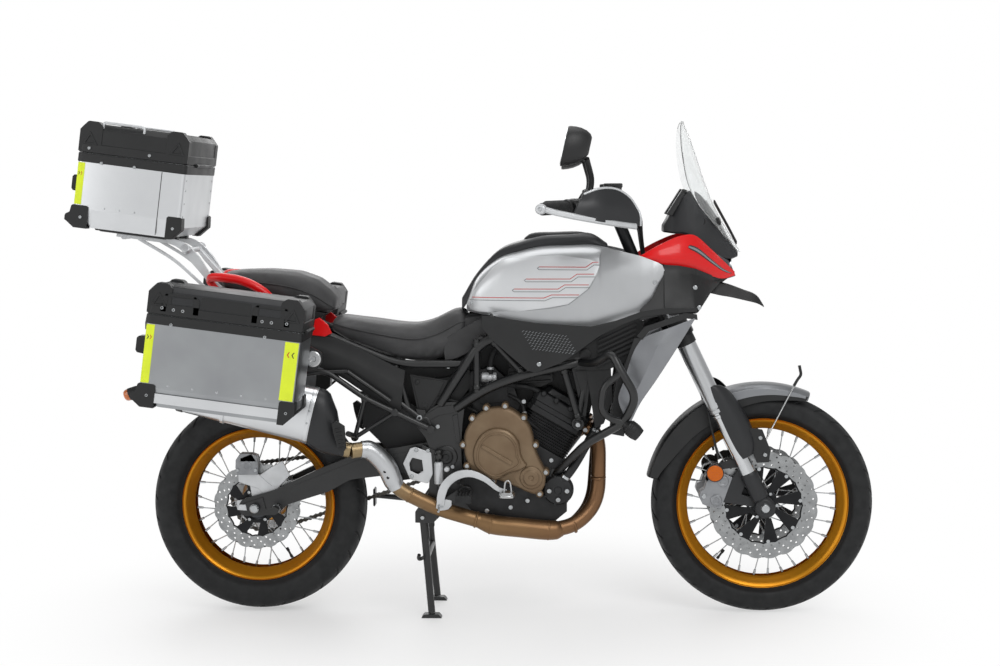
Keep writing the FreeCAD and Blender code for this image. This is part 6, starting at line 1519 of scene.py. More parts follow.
def tank_outlines(sections):
    """Whole outlines from half ones: up the right side, over the top and down the left side."""
    x, z, y = sections[:, :1], sections[:, 1:5], sections[:, 5:9]
    heights = np.concatenate([z[:, 3:], z[:, ::-1], z[:, :1] + 3.0, z, z[:, 3:]], axis=1)
    widths = np.concatenate([-0.5 * y[:, 3:], -y[:, ::-1], 0 * x, y, 0.5 * y[:, 3:]], axis=1)
    return np.stack([np.broadcast_to(x, heights.shape), widths, heights], axis=-1)


skin = through(tank_outlines(stations), 6)
skin = np.swapaxes(through(np.swapaxes(skin, 0, 1), 5, closed=True), 0, 1)
silver = FINISH["silver_satin_paint"]
piece("tank_shell", [lofted(skin)], silver, "root", "fuel_tank", edge=3.0, smooth=50)

left = skin[:, skin.shape[1] // 2 - 2:, :]
table_x, table_z = skin[:, 0, 0], np.linspace(890, 1096, 70)
side_table = np.array([np.interp(table_z, row[row[:, 1] > 30][::-1, 2],
                                 row[row[:, 1] > 30][::-1, 1]) for row in left])


def tank_side(x, z):
    """The side's Y, read from the skin's own points: first between two rows along X, then between
    two heights."""
    x, z = np.broadcast_arrays(np.asarray(x, float), np.asarray(z, float))
    i = np.clip(np.interp(x, table_x, np.arange(len(table_x))), 0, len(table_x) - 1.001)
    j = np.clip((z - table_z[0]) / (table_z[1] - table_z[0]), 0, len(table_z) - 1.001)
    a, b = i.astype(int), j.astype(int)
    u, v = i - a, j - b
    near = side_table[a, b] * (1 - v) + side_table[a, b + 1] * v
    far = side_table[a + 1, b] * (1 - v) + side_table[a + 1, b + 1] * v
    return near * (1 - u) + far * u


def side_cover(xs, low, high, y_of, steps=14, thick=4.0):
    """A panel on the side: at each X its points run from a low to a high line, and y_of gives their Y.
    The panel has an even thickness inwards."""
    v = np.linspace(0, 1, steps)[None, :]
    x = np.broadcast_to(np.asarray(xs, float)[:, None], (len(xs), steps))
    z = np.asarray(low, float)[:, None] * (1 - v) + np.asarray(high, float)[:, None] * v
    return slab(np.stack([x, y_of(x, z), z], -1), [0.0, -thick, 0.0])


print("tank side at the knee", float(tank_side(140, 985)))

# %% [markdown]
# Two plates make up the side that one sees. The rear one is a little paler and carries the printed
# lines. The front one is deeper: it swells over the frame and ends in a point at the steering head.
# Between them runs a gap of two millimetres, which reads as a dark line.

# %% Side plates of the tank
plate_x = np.concatenate([np.linspace(-15, 90, 22), np.linspace(98, 372, 40)])
plate_low = np.interp(plate_x, [-15, -6, 18, 150, 280, 338, 361, 372],
                      [929, 915, 908, 912, 931, 977, 1017, 1044])
plate_high = np.interp(plate_x, [-15, 20, 60, 95, 251, 340, 372], [941, 990, 1037, 1063, 1074, 1062, 1050])
rear_plate = side_cover(plate_x, plate_low, plate_high, lambda x, z: tank_side(x, z) + 2.0, 20, 3.0)
piece("tank_rear_plates", pair([rear_plate]), FINISH["pale_satin_paint"], edge=1.2, smooth=60)


def front_plate_y(x, z):
    """A ridge line's Y less the square of the height over or under it, so the plate is convex."""
    ridge = np.interp(x, [-14, 80, 150, 228, 268, 350, 427, 493, 530, 558],
                      [94, 141, 154, 163, 168, 173.5, 175, 178, 177, 171])
    middle = np.interp(x, [-14, 150, 228, 268, 350, 427, 493, 530, 558],
                       [915, 905, 915, 925, 960, 985, 992, 1004, 1020])
    over, under = np.clip(z - middle, 0, None), np.clip(middle - z, 0, None)
    return ridge - 26.0 * (over / 110) ** 2 - 9.0 * (under / 95) ** 2


front_x = np.concatenate([np.linspace(-14, 222, 30), np.linspace(228, 372, 30), np.linspace(376, 540, 30),
                          np.linspace(543, 558, 6)])
front_low = np.interp(front_x, [-14, 83, 199, 300, 329, 401, 488, 531, 558],
                      [912, 893, 873, 863, 862, 873, 909, 944, 1012])
front_high = np.interp(front_x, [-14, 18, 150, 228, 282, 340, 363, 374, 376, 427, 493, 540, 552, 558],
                       [922, 911, 912, 919, 931, 975, 1013, 1050, 1098, 1087, 1070, 1052, 1044, 1030])
piece("tank_front_plates", pair([side_cover(front_x, front_low, front_high, front_plate_y, 24)]), silver,
      edge=1.8, smooth=60)
print("plates cover X", plate_x.min(), front_x.max())

# %% [markdown]
# ## Tank cover, and the thin printed lines
# A dark satin cover runs over the tank from the seat to the clamp, with a raised pad on top. Four
# thin lines are printed on each side, each with one step up at forty-five degrees. They are narrow
# ribbons that lie half a millimetre over the plate.

# %% Cover, pad, lines and bolts of the tank
rises = np.array([8, 14, 24, 28, 30, 31, 29, 9], float)
x, top, half = stations[:, 0].copy(), stations[:, 1], stations[:, 5] - 2.0
x[0] = -34.0
drop = np.array([-26, -30, -8, 0, 0, 0, 0, 0], float)
profile = np.array([(-1.0, 0.0), (-0.985, 0.45), (-0.86, 0.88), (-0.55, 1.0), (0.0, 1.04), (0.55, 1.0),
                    (0.86, 0.88), (0.985, 0.45), (1.0, 0.0), (0.5, 0.0), (-0.5, 0.0)])
cover = np.stack([np.broadcast_to(x[:, None], (8, 11)), half[:, None] * profile[None, :, 0],
                  top[:, None] + 0.3 + rises[:, None] * profile[None, :, 1]
                  + drop[:, None] * (np.abs(profile[None, :, 0]) > 0.9)], -1)
cover = np.swapaxes(through(np.swapaxes(through(cover, 6), 0, 1), 3, closed=True), 0, 1)
dark = FINISH["dark_satin_paint"]
piece("tank_cover_skin", [lofted(cover)], dark, "root", "tank_cover", edge=2.0, smooth=50)
pad_x = through(np.array([(150, 1120, 40), (170, 1133, 50), (240, 1137, 54), (320, 1137, 52),
                          (352, 1128, 42)]), 5)
pad_profile = np.array([(-1.0, -1.0), (-0.96, -0.2), (-0.85, 0.0), (0.85, 0.0), (0.96, -0.2), (1.0, -1.0)])
pad = np.stack([np.broadcast_to(pad_x[:, :1], (len(pad_x), 6)), pad_x[:, 2:] * pad_profile[None, :, 0],
                pad_x[:, 1:2] + 14 * pad_profile[None, :, 1]], -1)
piece("tank_pad", [lofted(pad)], FINISH["moulded_black_abs"], edge=2.5)


def ribbon(points, width, lift=2.6):
    """A printed line: the path on the side, given width along the direction square to it in the
    X-Z plane, and lifted off the surface."""
    p = np.asarray(points, float)
    t = np.concatenate([[0], np.cumsum(np.linalg.norm(np.diff(p, axis=0), axis=1))])
    s = np.unique(np.concatenate([np.linspace(0, t[-1], 2 + int(t[-1] / 8)), t]))
    middle = np.stack([np.interp(s, t, p[:, 0]), np.interp(s, t, p[:, 1])], -1)
    way = unit(np.gradient(middle, axis=0))
    off = np.stack([-way[:, 1], way[:, 0]], -1) * width / 2
    rows = np.stack([middle - off, middle + off], 1)
    y = tank_side(rows[..., 0], rows[..., 1]) + lift
    return slab(np.stack([rows[..., 0], y, rows[..., 1]], -1), [0.0, -0.4, 0.0])


lines = ([(196, 1040), (332, 1039), (352, 1053), (368, 1053)],
         [(158, 1005), (286, 1005), (306, 1019), (355, 1019)],
         [(123, 976), (251, 976), (270, 988), (340, 988)], [(-8, 951), (210, 950), (232, 959), (312, 959)])
reds, greys = [], []
for path in lines:
    reds.append(ribbon(path, 2.0))
    (x0, z0), *others = path
    below = [(a + 3, b - 8) for a, b in others]
    greys.append(ribbon([(x0, z0), (x0 - 5, z0 - 4), (x0, z0 - 8)] + below, 2.0))
piece("tank_red_lines", pair(reds), FINISH["red_print"])
piece("tank_grey_lines", pair(greys), FINISH["grey_print"])

spots = [(-1, -float(tank_side(-1, 936)) - 1.5, 936), (530, -float(front_plate_y(530.0, 996.0)) + 1.0, 996)]
piece("tank_bolts", pair([repeated(cap_bolt(6.0, 4.0), spots)]), zinc)
print("printed lines", len(lines))

# %% [markdown]
# ## Black side panels
# Under the tank a black moulded panel runs from the seat to the beak. It is one surface whose Y
# grows towards the front. A patch of slanted ribs is moulded into its middle, which is real relief:
# rows of small raised bars. They are the panel's own black plastic, but they are coloured grey: a
# painted highlight, the light that their edges catch.

# %% Side panels
def flank(x, z):
    """The panel's Y: it grows along X, leans in towards its lower edge, and has a fold at mid height."""
    return 176 + 0.084 * (x - 38) - 0.05 * np.clip(830 - z, 0, 90) + 3.0 * np.exp(-((z - 872) / 16) ** 2)


xs = np.linspace(30, 648, 60)
low = np.interp(xs, [30, 45, 66, 161, 185, 265, 308, 370, 436, 494, 560, 648],
                [868, 846, 824, 741, 734, 766, 796, 842, 876, 898, 906, 914])
high = np.interp(xs, [30, 60, 185, 346, 420, 491, 560, 648], [900, 898, 880, 870, 888, 914, 924, 924])
black = FINISH["moulded_black_abs"]
mid_panel = side_cover(xs, low, high, flank, 12, 5.0)


def neck(x, z):
    """The panel round the steering head: it comes in from the flank's width to the beak's, and in with
    height."""
    share = np.clip((x - 556) / 172, 0, 1)
    wide = 214 + (222 - 214) * np.clip(share / 0.5, 0, 1) - 168 * np.clip((share - 0.5) / 0.5, 0, 1) ** 1.3
    inward = np.interp(x, [556, 600, 650, 694, 728], [44, 58, 78, 26, 6])
    foot = np.interp(x, [556, 600, 650, 694, 728], [916, 908, 908, 965, 990])
    head = np.interp(x, [556, 600, 650, 694, 728], [1030, 1028, 1014, 998, 996])
    return wide - inward * np.clip((z - foot) / (head - foot + 1), 0, 1) ** 1.2


xs = np.linspace(556, 728, 26)
low = np.interp(xs, [556, 573, 600, 650, 694, 728], [916, 900, 906, 908, 963, 990])
high = np.interp(xs, [556, 600, 650, 694, 728], [1046, 1043, 1033, 1014, 1004])
neck_panel = side_cover(xs, low, high, neck, 16, 4.0)
xs = np.linspace(486, 562, 12)
link_panel = side_cover(xs, np.interp(xs, [486, 562], [888, 905]),
                        np.interp(xs, [486, 520, 562], [918, 950, 1030]), lambda x,
                        z: 212 - 0.34 * np.clip(z - 905, 0, 200), 10, 4.0)
tail_top = through(np.array([(-486, 846), (-418, 834), (-315, 792), (-228, 748), (-198, 735)], float), 5)
tail_low = through(np.array([(-486, 774), (-455, 750), (-389, 718), (-316, 670), (-212, 612)], float), 5)
v = np.linspace(0, 1, 9)[None, :, None]
face = tail_low[:, None] * (1 - v) + tail_top[:, None] * v
bulge = 130.5 + 3.5 * np.sin(np.pi * v[..., 0]) - 5.0 * np.clip((v[..., 0] - 0.6) / 0.06, 0, 1)
tail = slab(np.stack([face[..., 0], np.broadcast_to(bulge, face.shape[:2]), face[..., 1]], -1),
            [0.0, -4.0, 0.0])
three = [(-186, 722), (-72, 704), (-98, 652), (-138, 590), (-156, 574)]
infill = [cut_plate(three, 100, 104), cut_plate([(-180, 716), (-84, 701), (-104, 660), (-140, 604),
                                                 (-152, 590)], 103, 107),
          turned([(0, 7), (5, 7), (6, 5)], (-164, 106, 700), (-164, 114, 700), 16),
          cut_plate([(-150, 640), (-132, 636), (-136, 622), (-150, 626)], 106, 108.5)]
bosses = [turned([(0, 9), (37, 9)], (60, 140, 838), (60, 176, 838), 16),
          turned([(0, 9), (46, 9)], (290, 148, 851), (290, 194, 851), 16),
          turned([(0, 9), (18, 9)], (-336, 110, 735), (-336, 128, 735), 16)]
piece("side_panels_moulded", pair([mid_panel, neck_panel, link_panel, tail] + infill + bosses), black,
      "root", "side_panels", edge=1.5, smooth=45)

rows, columns = np.meshgrid(np.arange(7), np.arange(14), indexing="ij")
bar_x = (150 + columns * 9.5 + rows * 5.0).ravel()
bar_z = (856 - rows * 8.5 - columns * 1.1).ravel()
inside = (bar_z > np.interp(bar_x, [66, 161, 185, 346], [832, 752, 746, 792])) & (bar_x < 300)
bar_x, bar_z = bar_x[inside], bar_z[inside]
one = cut_plate([(-3.6, -1.9), (2.2, 2.1), (3.6, 1.7), (-2.2, -2.5)], -1.0, 1.9)
spots = np.stack([bar_x, flank(bar_x, bar_z) + 0.2, bar_z], -1)
# The ribs are black plastic like the panel; their grey colour is a painted highlight, the light their edges
# catch.
piece("side_panel_ribs_painted_highlight", pair([repeated(one, spots)]), FINISH["grey_print"])
spot = np.array([(196, -float(flank(196, 760)) - 1, 760), (655, -216, 925), (646, -176, 980)])
piece("side_panel_bolts", pair([repeated(cap_bolt(6.5, 3.5), spot)]), zinc)
print("ribs", len(bar_x))

# %% [markdown]
# ## Grey wings over the radiator
# Each side has a folded silver wing beside the radiator, kept in shape by one sharp fold. Its rows
# of points come from the fold's line and the two edges.

# %% Radiator wings
wing = through(np.array([
    [(493, 222, 841), (525, 228, 853), (560, 232, 865), (604, 230, 881), (645, 226, 897)],
    [(468, 224, 800), (500, 234, 800), (530, 242, 804), (562, 236, 812), (598, 228, 820)],
    [(440, 222, 715), (465, 231, 712), (490, 238, 715), (512, 231, 717), (534, 224, 719)],
    [(424, 216, 660), (440, 222, 655), (456, 226, 652), (472, 221, 651), (488, 214, 650)],
    [(446, 206, 600), (450, 207, 595), (455, 208, 590), (459, 207, 595), (464, 204, 600)]], float), 6)
stay = turned([(0, 8), (46, 8)], (446, 178.5, 700), (452, 224, 700), 16)
piece("radiator_wings", pair([slab(wing, [0, -5, 0]), stay]), FINISH["grey_satin_paint"],
      "root", "radiator_shrouds", edge=1.6, smooth=24)
print("points on a wing", wing.shape[0] * wing.shape[1])

# %% [markdown]
# ## Red cowls, lamp, instrument cowl, screen and beak
# The red cowls are the brightest colour on the motorcycle, in gloss paint, and each carries a thin
# grey daytime lamp. Behind the clear screen stands a dark cowl, and a flat beak points forward
# below the lamp.

# %% The nose
cowl = through(np.array([
    [(482, 154, 1061), (482, 154, 1063), (482, 153, 1065), (482, 152, 1067)],
    [(530, 159, 1053), (530, 161, 1066), (530, 158, 1080), (530, 150, 1095)],
    [(562, 157, 1045), (562, 161, 1066), (562, 156, 1088), (562, 143, 1111)],
    [(606, 146, 1035), (606, 153, 1064), (606, 147, 1096), (606, 129, 1128)],
    [(648, 128, 1027), (648, 135, 1060), (648, 129, 1094), (648, 111, 1129)],
    [(700, 98, 1009), (700, 105, 1034), (700, 99, 1060), (700, 83, 1086)],
    [(735, 72, 1001), (735, 77, 1018), (735, 72, 1036), (735, 60, 1054)],
    [(771, 40, 1008), (771, 41, 1012), (771, 40, 1016), (771, 38, 1020)]], float), 6)
cowl = np.swapaxes(through(np.swapaxes(cowl, 0, 1), 4), 0, 1)
piece("nose_cowls_painted", pair([slab(cowl, [0, -4, 0])]), FINISH["gloss_red_paint"], "root",
      "nose_cowl", edge=1.6, smooth=50)


def on_cowl(u, v, lift):
    """A point on the cowl at shares u of its length and v of its height, lifted outwards."""
    i = np.clip(np.asarray(u) * (cowl.shape[0] - 1), 0, cowl.shape[0] - 1.001)
    j = np.clip(np.asarray(v) * (cowl.shape[1] - 1), 0, cowl.shape[1] - 1.001)
    a, b = i.astype(int), j.astype(int)
    s, t = (i - a)[..., None], (j - b)[..., None]
    p = (cowl[a, b] * (1 - s) * (1 - t) + cowl[a + 1, b] * s * (1 - t) + cowl[a, b + 1] * (1 - s) * t
         + cowl[a + 1, b + 1] * s * t)
    return p + np.array([0, lift, 0])


u = np.linspace(0.50, 0.965, 26)[:, None]
rise = np.interp(u, [0.5, 0.58, 0.965], [0.66, 0.62, 0.44])
thin = np.interp(u, [0.5, 0.52, 0.60, 0.9, 0.965], [0.01, 0.12, 0.16, 0.13, 0.05])
v = rise + thin * np.array([[-0.5, -0.2, 0.2, 0.5]])
slot = slab(on_cowl(np.broadcast_to(u, v.shape), v, 1.6), [0, -2.0, 0])
piece("daytime_lamp_frames", pair([slot]), FINISH["lamp_glass"], edge=0.5)
v = rise + thin * np.array([[-0.22, 0.0, 0.22]])
glow = slab(on_cowl(np.broadcast_to(u * 0.96 + 0.02, v.shape), v, 2.4), [0, -1.5, 0])
piece("daytime_lamps", pair([glow]), FINISH["grey_print"])

bowl = np.array([[(694, -94, 1012), (694, 94, 1012), (688, 82, 1078), (688, -82, 1078)],
                 [(720, -76, 1004), (720, 76, 1004), (710, 68, 1074), (710, -68, 1074)],
                 [(745, -56, 1000), (745, 56, 1000), (730, 54, 1068), (730, -54, 1068)],
                 [(776, -30, 1006), (776, 30, 1006), (756, 34, 1052), (756, -34, 1052)]], float)
piece("headlamp_glass", [lofted(through(bowl, 4))], FINISH["lamp_glass"],
      "root", "headlamp", edge=4.0)
reflectors = [turned([(0, 13), (6, 20), (9, 20), (9, 17), (2, 8)], (750, y, 1040), (760, y, 1038), 24)
              for y in (-20.0, 20.0)]
piece("headlamp_reflectors", reflectors, FINISH["lamp_bowl_silver"])

housing = []
for x, low_z, high_z, wide in ((560, 1137, 1157, 62), (590, 1133, 1208, 78), (626, 1130, 1255, 84),
                               (656, 1112, 1254, 83), (711, 1070, 1190, 63), (756, 1056, 1112, 41),
                               (781, 1064, 1076, 27)):
    housing.append([(x, -wide, low_z + 4), (x, -wide + 6, low_z), (x, wide - 6, low_z), (x, wide, low_z + 4),
                    (x, 0.99 * wide, 0.5 * (low_z + high_z)), (x, 0.9 * wide, high_z - 3),
                    (x, 0.8 * wide, high_z), (x, -0.8 * wide, high_z), (x, -0.9 * wide, high_z - 3),
                    (x, -0.99 * wide, 0.5 * (low_z + high_z))])
piece("screen_cowl_moulded", [lofted(through(np.array(housing, float), 5))], dark, "root",
      "screen_cowl", edge=2.0, smooth=30)
badge = turned([(0, 15), (3, 15), (4, 12), (2.6, 11), (2.6, 0.1)], (668, -72, 1170), (668, -90, 1172), 28)
edge_block = cut_plate([(568, 1190), (615, 1264), (628, 1260), (584, 1184)], 48, 84)
piece("dash_housing_edges", pair([edge_block]), black, edge=2.0)
piece("screen_cowl_rosettes", pair([badge]), black)

rows = []
for x, z, wide, swept in ((790, 1078, 42, 8), (772, 1108, 66, 16), (750, 1144, 90, 26), (716, 1206, 122, 46),
                          (698, 1248, 138, 56), (682, 1290, 144, 57), (652, 1380, 128, 42),
                          (636, 1424, 98, 27), (624, 1452, 60, 12), (621, 1462, 30, 5)):
    share = np.linspace(-1, 1, 9)
    rows.append(np.stack([x - swept * share ** 2, share * wide, z + 0 * share], -1))
sheet = np.swapaxes(through(np.swapaxes(through(np.array(rows), 4), 0, 1), 3), 0, 1)
clear = finish("clear_polycarbonate", "#f8fafa", "#fcfdfd", 0.05, patch=200, spread=0.02, grain=6.0,
               height=0.001, Transmission_Weight=0.93, IOR=1.2, Specular_IOR_Level=0.7)
piece("windscreen_clear", [slab(sheet, [-3.2, 0, -0.8])],
      clear, "root", "windscreen", smooth=60)
knobs = [turned([(0, 9), (3, 12), (12, 12), (14, 9)], (712, y, 1166), (728, y * 1.06, 1172), 20)
         for y in (-70.0, 70.0)]
strip = through(np.array([(770, 52, 1104), (744, 78, 1150), (716, 98, 1198), (700, 106, 1226)], float), 6)
strips = [slab(np.stack([strip + [2, 0, -4], strip + [2, 5, 6]], 1), [4.0, 2.0, 0.0])]
piece("windscreen_adjusters", knobs + pair(strips), black, edge=0.8)

beak = []
for x, low_z, high_z, wide in ((698, 957, 991, 50), (728, 950, 988, 51), (757, 945, 981, 50),
                               (800, 935, 965, 44), (838, 925, 949, 36), (860, 913, 918, 20)):
    beak.append([(x, -wide, low_z), (x, -0.5 * wide, low_z + 3), (x, 0.5 * wide, low_z + 3),
                 (x, wide, low_z), (x, 0.82 * wide, high_z - 2), (x, 0.4 * wide, high_z),
                 (x, -0.4 * wide, high_z), (x, -0.82 * wide, high_z - 2)])
piece("beak_moulded", [lofted(through(np.array(beak, float), 4))], black, "root", "beak",
      edge=1.6, smooth=30)
bracket = cut_plate([(570, 900), (552, 960), (640, 998), (690, 1018), (770, 1012), (720, 975), (700, 960)],
                    -20, 20)
piece("fairing_bracket_steel", [bracket], FINISH["black_powder_coat"], "root",
      "fairing_bracket", edge=2.5)
print("nose pieces ready")

# %% [markdown]
# ## Two seats
# Both seats are moulded foam under stretched black vinyl, with welted seams along the edge and a
# finer pattern on top. The foam is a closed form from stations; a short cloth simulation with a
# little air pressure rounds it and pulls its sides in, as a tight cover does, and a cap keeps each
# point near its start. Then the seams are laid on as thin cords of the same vinyl.

# %% Seat vinyl
def seat_vinyl(name, dark_tone, light_tone, cell):
    """Embossed vinyl: pebbles from the distance to the nearest of scattered points. The real pebble is
    under a millimetre; it is drawn at the given size in millimetres so that it shows."""
    material = bpy.data.materials.new(name)
    material.use_nodes = True
    tree = material.node_tree
    tree.nodes.clear()
    place = add(tree, "ShaderNodeTexCoord").outputs["Object"]
    drift = add(tree, "ShaderNodeTexNoise", {"Vector": place, "Scale": 12.0, "Detail": 4.0})
    tone = add(tree, "ShaderNodeValToRGB", {"Fac": drift.outputs[0]})
    tone.color_ramp.elements[0].position = 0.35
    tone.color_ramp.elements[1].position = 0.65
    tone.color_ramp.elements[0].color = linear(dark_tone)
    tone.color_ramp.elements[1].color = linear(light_tone)
    pebble = add(tree, "ShaderNodeTexVoronoi", {"Vector": place, "Scale": 1000.0 / cell})
    relief = add(tree, "ShaderNodeBump", {"Height": pebble.outputs["Distance"], "Distance": 0.00035,
                                          "Strength": 1.0})
    gloss = add(tree, "ShaderNodeMapRange", {"Value": drift.outputs[0], "To Min": 0.66, "To Max": 0.46})
    shader = add(tree, "ShaderNodeBsdfPrincipled", {"Base Color": tone.outputs[0],
                                                    "Roughness": gloss.outputs[0],
                 "Normal": relief.outputs[0], "Sheen Weight": 0.12, "Sheen Roughness": 0.4})
    add(tree, "ShaderNodeOutputMaterial", {"Surface": shader.outputs[0]})
    return material


vinyl = seat_vinyl("embossed_black_vinyl", "#2a2a2b", "#333334", 2.2)
vinyl_plain = seat_vinyl("smooth_black_vinyl", "#252526", "#2d2d2e", 1.4)


def foam(rows):
    """A seat's outline at each station: crown, shoulder, side, lower edge and underside."""
    outlines = []
    for x, crown, edge_z, low_z, wide in rows:
        half = [(0.0, crown), (0.45 * wide, crown - 1.5), (0.78 * wide, 0.6 * crown + 0.4 * edge_z),
                (0.97 * wide, edge_z), (wide, 0.5 * (edge_z + low_z)), (0.93 * wide, low_z + 4),
                (0.6 * wide, low_z)]
        outlines.append([(x, y, z) for y, z in half] + [(x, -y, z) for y, z in half[:0:-1]])
    return through(np.array(outlines, float), 5)


def puffed(name, part, cap, swell=4.0, voxel=0.006):
    """Foam under a tight cover: remesh the form, blow it up a little as cloth, and cap each point's way."""
    points, faces = part
    mesh = bpy.data.meshes.new(name)
    mesh.from_pydata((np.asarray(points) * 0.001).tolist(), [], faces)
    made = bpy.data.objects.new(name, mesh)
    bpy.context.scene.collection.objects.link(made)
    remesh = made.modifiers.new("remesh", "REMESH")
    remesh.mode = "VOXEL"
    remesh.voxel_size = voxel
    bpy.context.view_layer.update()
    graph = bpy.context.evaluated_depsgraph_get()
    solid = bpy.data.meshes.new_from_object(made.evaluated_get(graph))
    made.modifiers.clear()
    made.data = solid
    start = np.zeros(len(solid.vertices) * 3, np.float32)
    solid.vertices.foreach_get("co", start)
    cloth = made.modifiers.new("cover", "CLOTH")
    cloth.settings.quality = 4
    cloth.settings.use_pressure = True
    cloth.settings.uniform_pressure_force = swell
    cloth.settings.effector_weights.gravity = 0.0
    cloth.point_cache.frame_end = 16
    for step in range(1, 15):
        bpy.context.scene.frame_set(step)
    graph = bpy.context.evaluated_depsgraph_get()
    blown = bpy.data.meshes.new_from_object(made.evaluated_get(graph))
    moved = np.zeros(len(solid.vertices) * 3, np.float32)
    blown.vertices.foreach_get("co", moved)
    made.modifiers.clear()
    bpy.context.scene.frame_set(1)
    way = (moved - start).reshape(-1, 3)
    size = np.linalg.norm(way, axis=1, keepdims=True) + 1e-9
    way = way / size * np.minimum(size, cap * 0.001)
    solid.vertices.foreach_set("co", (start.reshape(-1, 3) + way).ravel())
    return made


def settle(made, low_of, high_of):
    """Keep a puffed seat between two heights that depend on X: what it rests on, and its own crown."""
    count = len(made.data.vertices)
    co = np.zeros(count * 3, np.float32)
    made.data.vertices.foreach_get("co", co)
    co = co.reshape(-1, 3)
    co[:, 2] = np.clip(co[:, 2], low_of(co[:, 0] * 1000) * 0.001, high_of(co[:, 0] * 1000) * 0.001)
    made.data.vertices.foreach_set("co", co.ravel())
    made.data.polygons.foreach_set("use_smooth", np.ones(len(made.data.polygons), bool))
    made.data.update()


def dress(made, material, stands_for):
    made.data.materials.clear()
    made.data.materials.append(material)
    smooth = made.modifiers.new("relax", "SMOOTH")
    smooth.factor = 0.5
    smooth.iterations = 6
    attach(made, "root")
    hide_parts(stands_for)


print("seat tools ready")

# %% [markdown]
# The rider's seat is low and wide at the back, and its nose climbs the tank. The passenger's is a
# thick wedge. Each form starts a few millimetres small, because the simulation blows it up.

# %% The two cushions
rider_rows = [(-416, 893, 878, 852, 104), (-365, 885, 866, 824, 118), (-289, 876, 852, 792, 124),
              (-214, 866, 840, 768, 121), (-165, 865, 836, 763, 112), (-115, 878, 848, 765, 102),
              (-76, 898, 866, 776, 94), (-46, 914, 882, 796, 88), (-24, 912, 886, 818, 82)]
pillion_rows = [(-750, 1012, 1002, 984, 78), (-735, 1020, 1004, 970, 92), (-700, 1025, 1004, 962, 100),
                (-610, 1027, 998, 950, 111), (-520, 1019, 984, 920, 116), (-460, 997, 958, 908, 114),
                (-422, 966, 930, 904, 106), (-404, 944, 920, 905, 100)]
for name, rows in (("rider_seat", rider_rows), ("pillion_seat", pillion_rows)):
    x_of, crown_of, _, low_of, _ = np.array(rows, float).T
    seat = puffed(name + "_cushion", lofted(foam(rows)), 5.0)
    settle(seat, lambda x: np.interp(x, x_of, low_of) - 1.0, lambda x: np.interp(x, x_of, crown_of) + 4.0)
    dress(seat, vinyl, name)
    print(name, "points", len(seat.data.vertices))


def welt(rows, share, radius=1.7, lift=0.5):
    """A seam cord along a seat: at each station a point on the edge, between the shoulder and the side."""
    spine = np.array([(x, (0.97 + 0.03 * share) * wide + lift, edge_z * (1 - share) + low_z * share)
                      for x, crown, edge_z, low_z, wide in rows], float)
    return tube(through(spine, 6), radius, 8)


piece("seat_welts", pair([welt(rider_rows, 0.12), welt(pillion_rows, 0.12)]), vinyl_plain)
flap = [[(x, wide, low_z), (x, wide - 4, high_z), (x, wide - 22, high_z + 10)]
        for x, wide, low_z, high_z in ((-30, 80, 812, 882), (0, 78, 846, 890), (22, 77, 862, 893),
                                       (42, 76, 878, 896))]
piece("seat_nose_flaps", pair([slab(through(np.array(flap, float), 4), [0, -5, 0])]), vinyl_plain,
      edge=1.2)
skirt_grid = [[(-82, 98, 764), (-86, 97, 790), (-80, 94, 830)],
              [(-52, 97, 768), (-50, 96, 800), (-44, 92, 850)],
              [(2, 97, 796), (0, 95, 830), (-4, 91, 872)], [(32, 96, 824), (26, 94, 850), (18, 90, 884)],
              [(44, 95, 846), (38, 93, 866), (34, 89, 890)]]
piece("seat_nose_skirts", pair([slab(through(np.array(skirt_grid, float), 4), [0, -5, 0])]), vinyl_plain,
      edge=1.2)
pan = cut_plate([(-432, 902), (-480, 866), (-600, 906), (-690, 934), (-742, 957), (-748, 980), (-700, 968),
                 (-610, 950), (-500, 916)], -94, 94)
piece("pillion_seat_pan", [pan], black, edge=2.0)
print("rider's seat is", 2 * max(row[4] for row in rider_rows), "mm wide")

# %% [markdown]
# ## Boxes of folded aluminium
# The boxes are bent from brushed sheet two or three millimetres thick, with a folded lower edge, black
# moulded corners, and a black rim where the lid closes. Each box is worked out lying level, with its
# rear upper corner at zero, and then pitched nose down as the photograph shows. A box is hollow: its
# rings of points run up the outside and down the inside.

# %% Rings and the shell of a box
PITCH = math.radians(7.5)
PANNIER = dict(corner=(-874.0, 0.0, 930.0), length=430.0, y0=270.0, y1=490.0, height=255.0, top=80.0)
TOP_BOX = dict(corner=(-1127.0, 0.0, 1378.0), length=315.0, y0=-215.0, y1=215.0, height=214.0, top=84.0)


def pitched(part, corner):
    """Turn a piece nose down round Y and carry it to the box's corner."""
    p = np.asarray(part[0], float)
    c, s = math.cos(PITCH), math.sin(PITCH)
    moved = np.stack([p[:, 0] * c + p[:, 2] * s, p[:, 1], p[:, 2] * c - p[:, 0] * s], -1)
    return moved + np.asarray(corner, float), part[1]


def rounded(x0, x1, y0, y1, z, r, steps=4):
    """A rectangle with quarter-circle corners at one height."""
    angle = np.linspace(0, np.pi / 2, steps + 1)
    corners = ((x1 - r, y1 - r, 0), (x0 + r, y1 - r, 1), (x0 + r, y0 + r, 2), (x1 - r, y0 + r, 3))
    p = [(cx + r * np.cos(angle + q * np.pi / 2), cy + r * np.sin(angle + q * np.pi / 2))
         for cx, cy, q in corners]
    xy = np.concatenate([np.stack(q, -1) for q in p])
    return np.column_stack([xy, np.full(len(xy), float(z))])


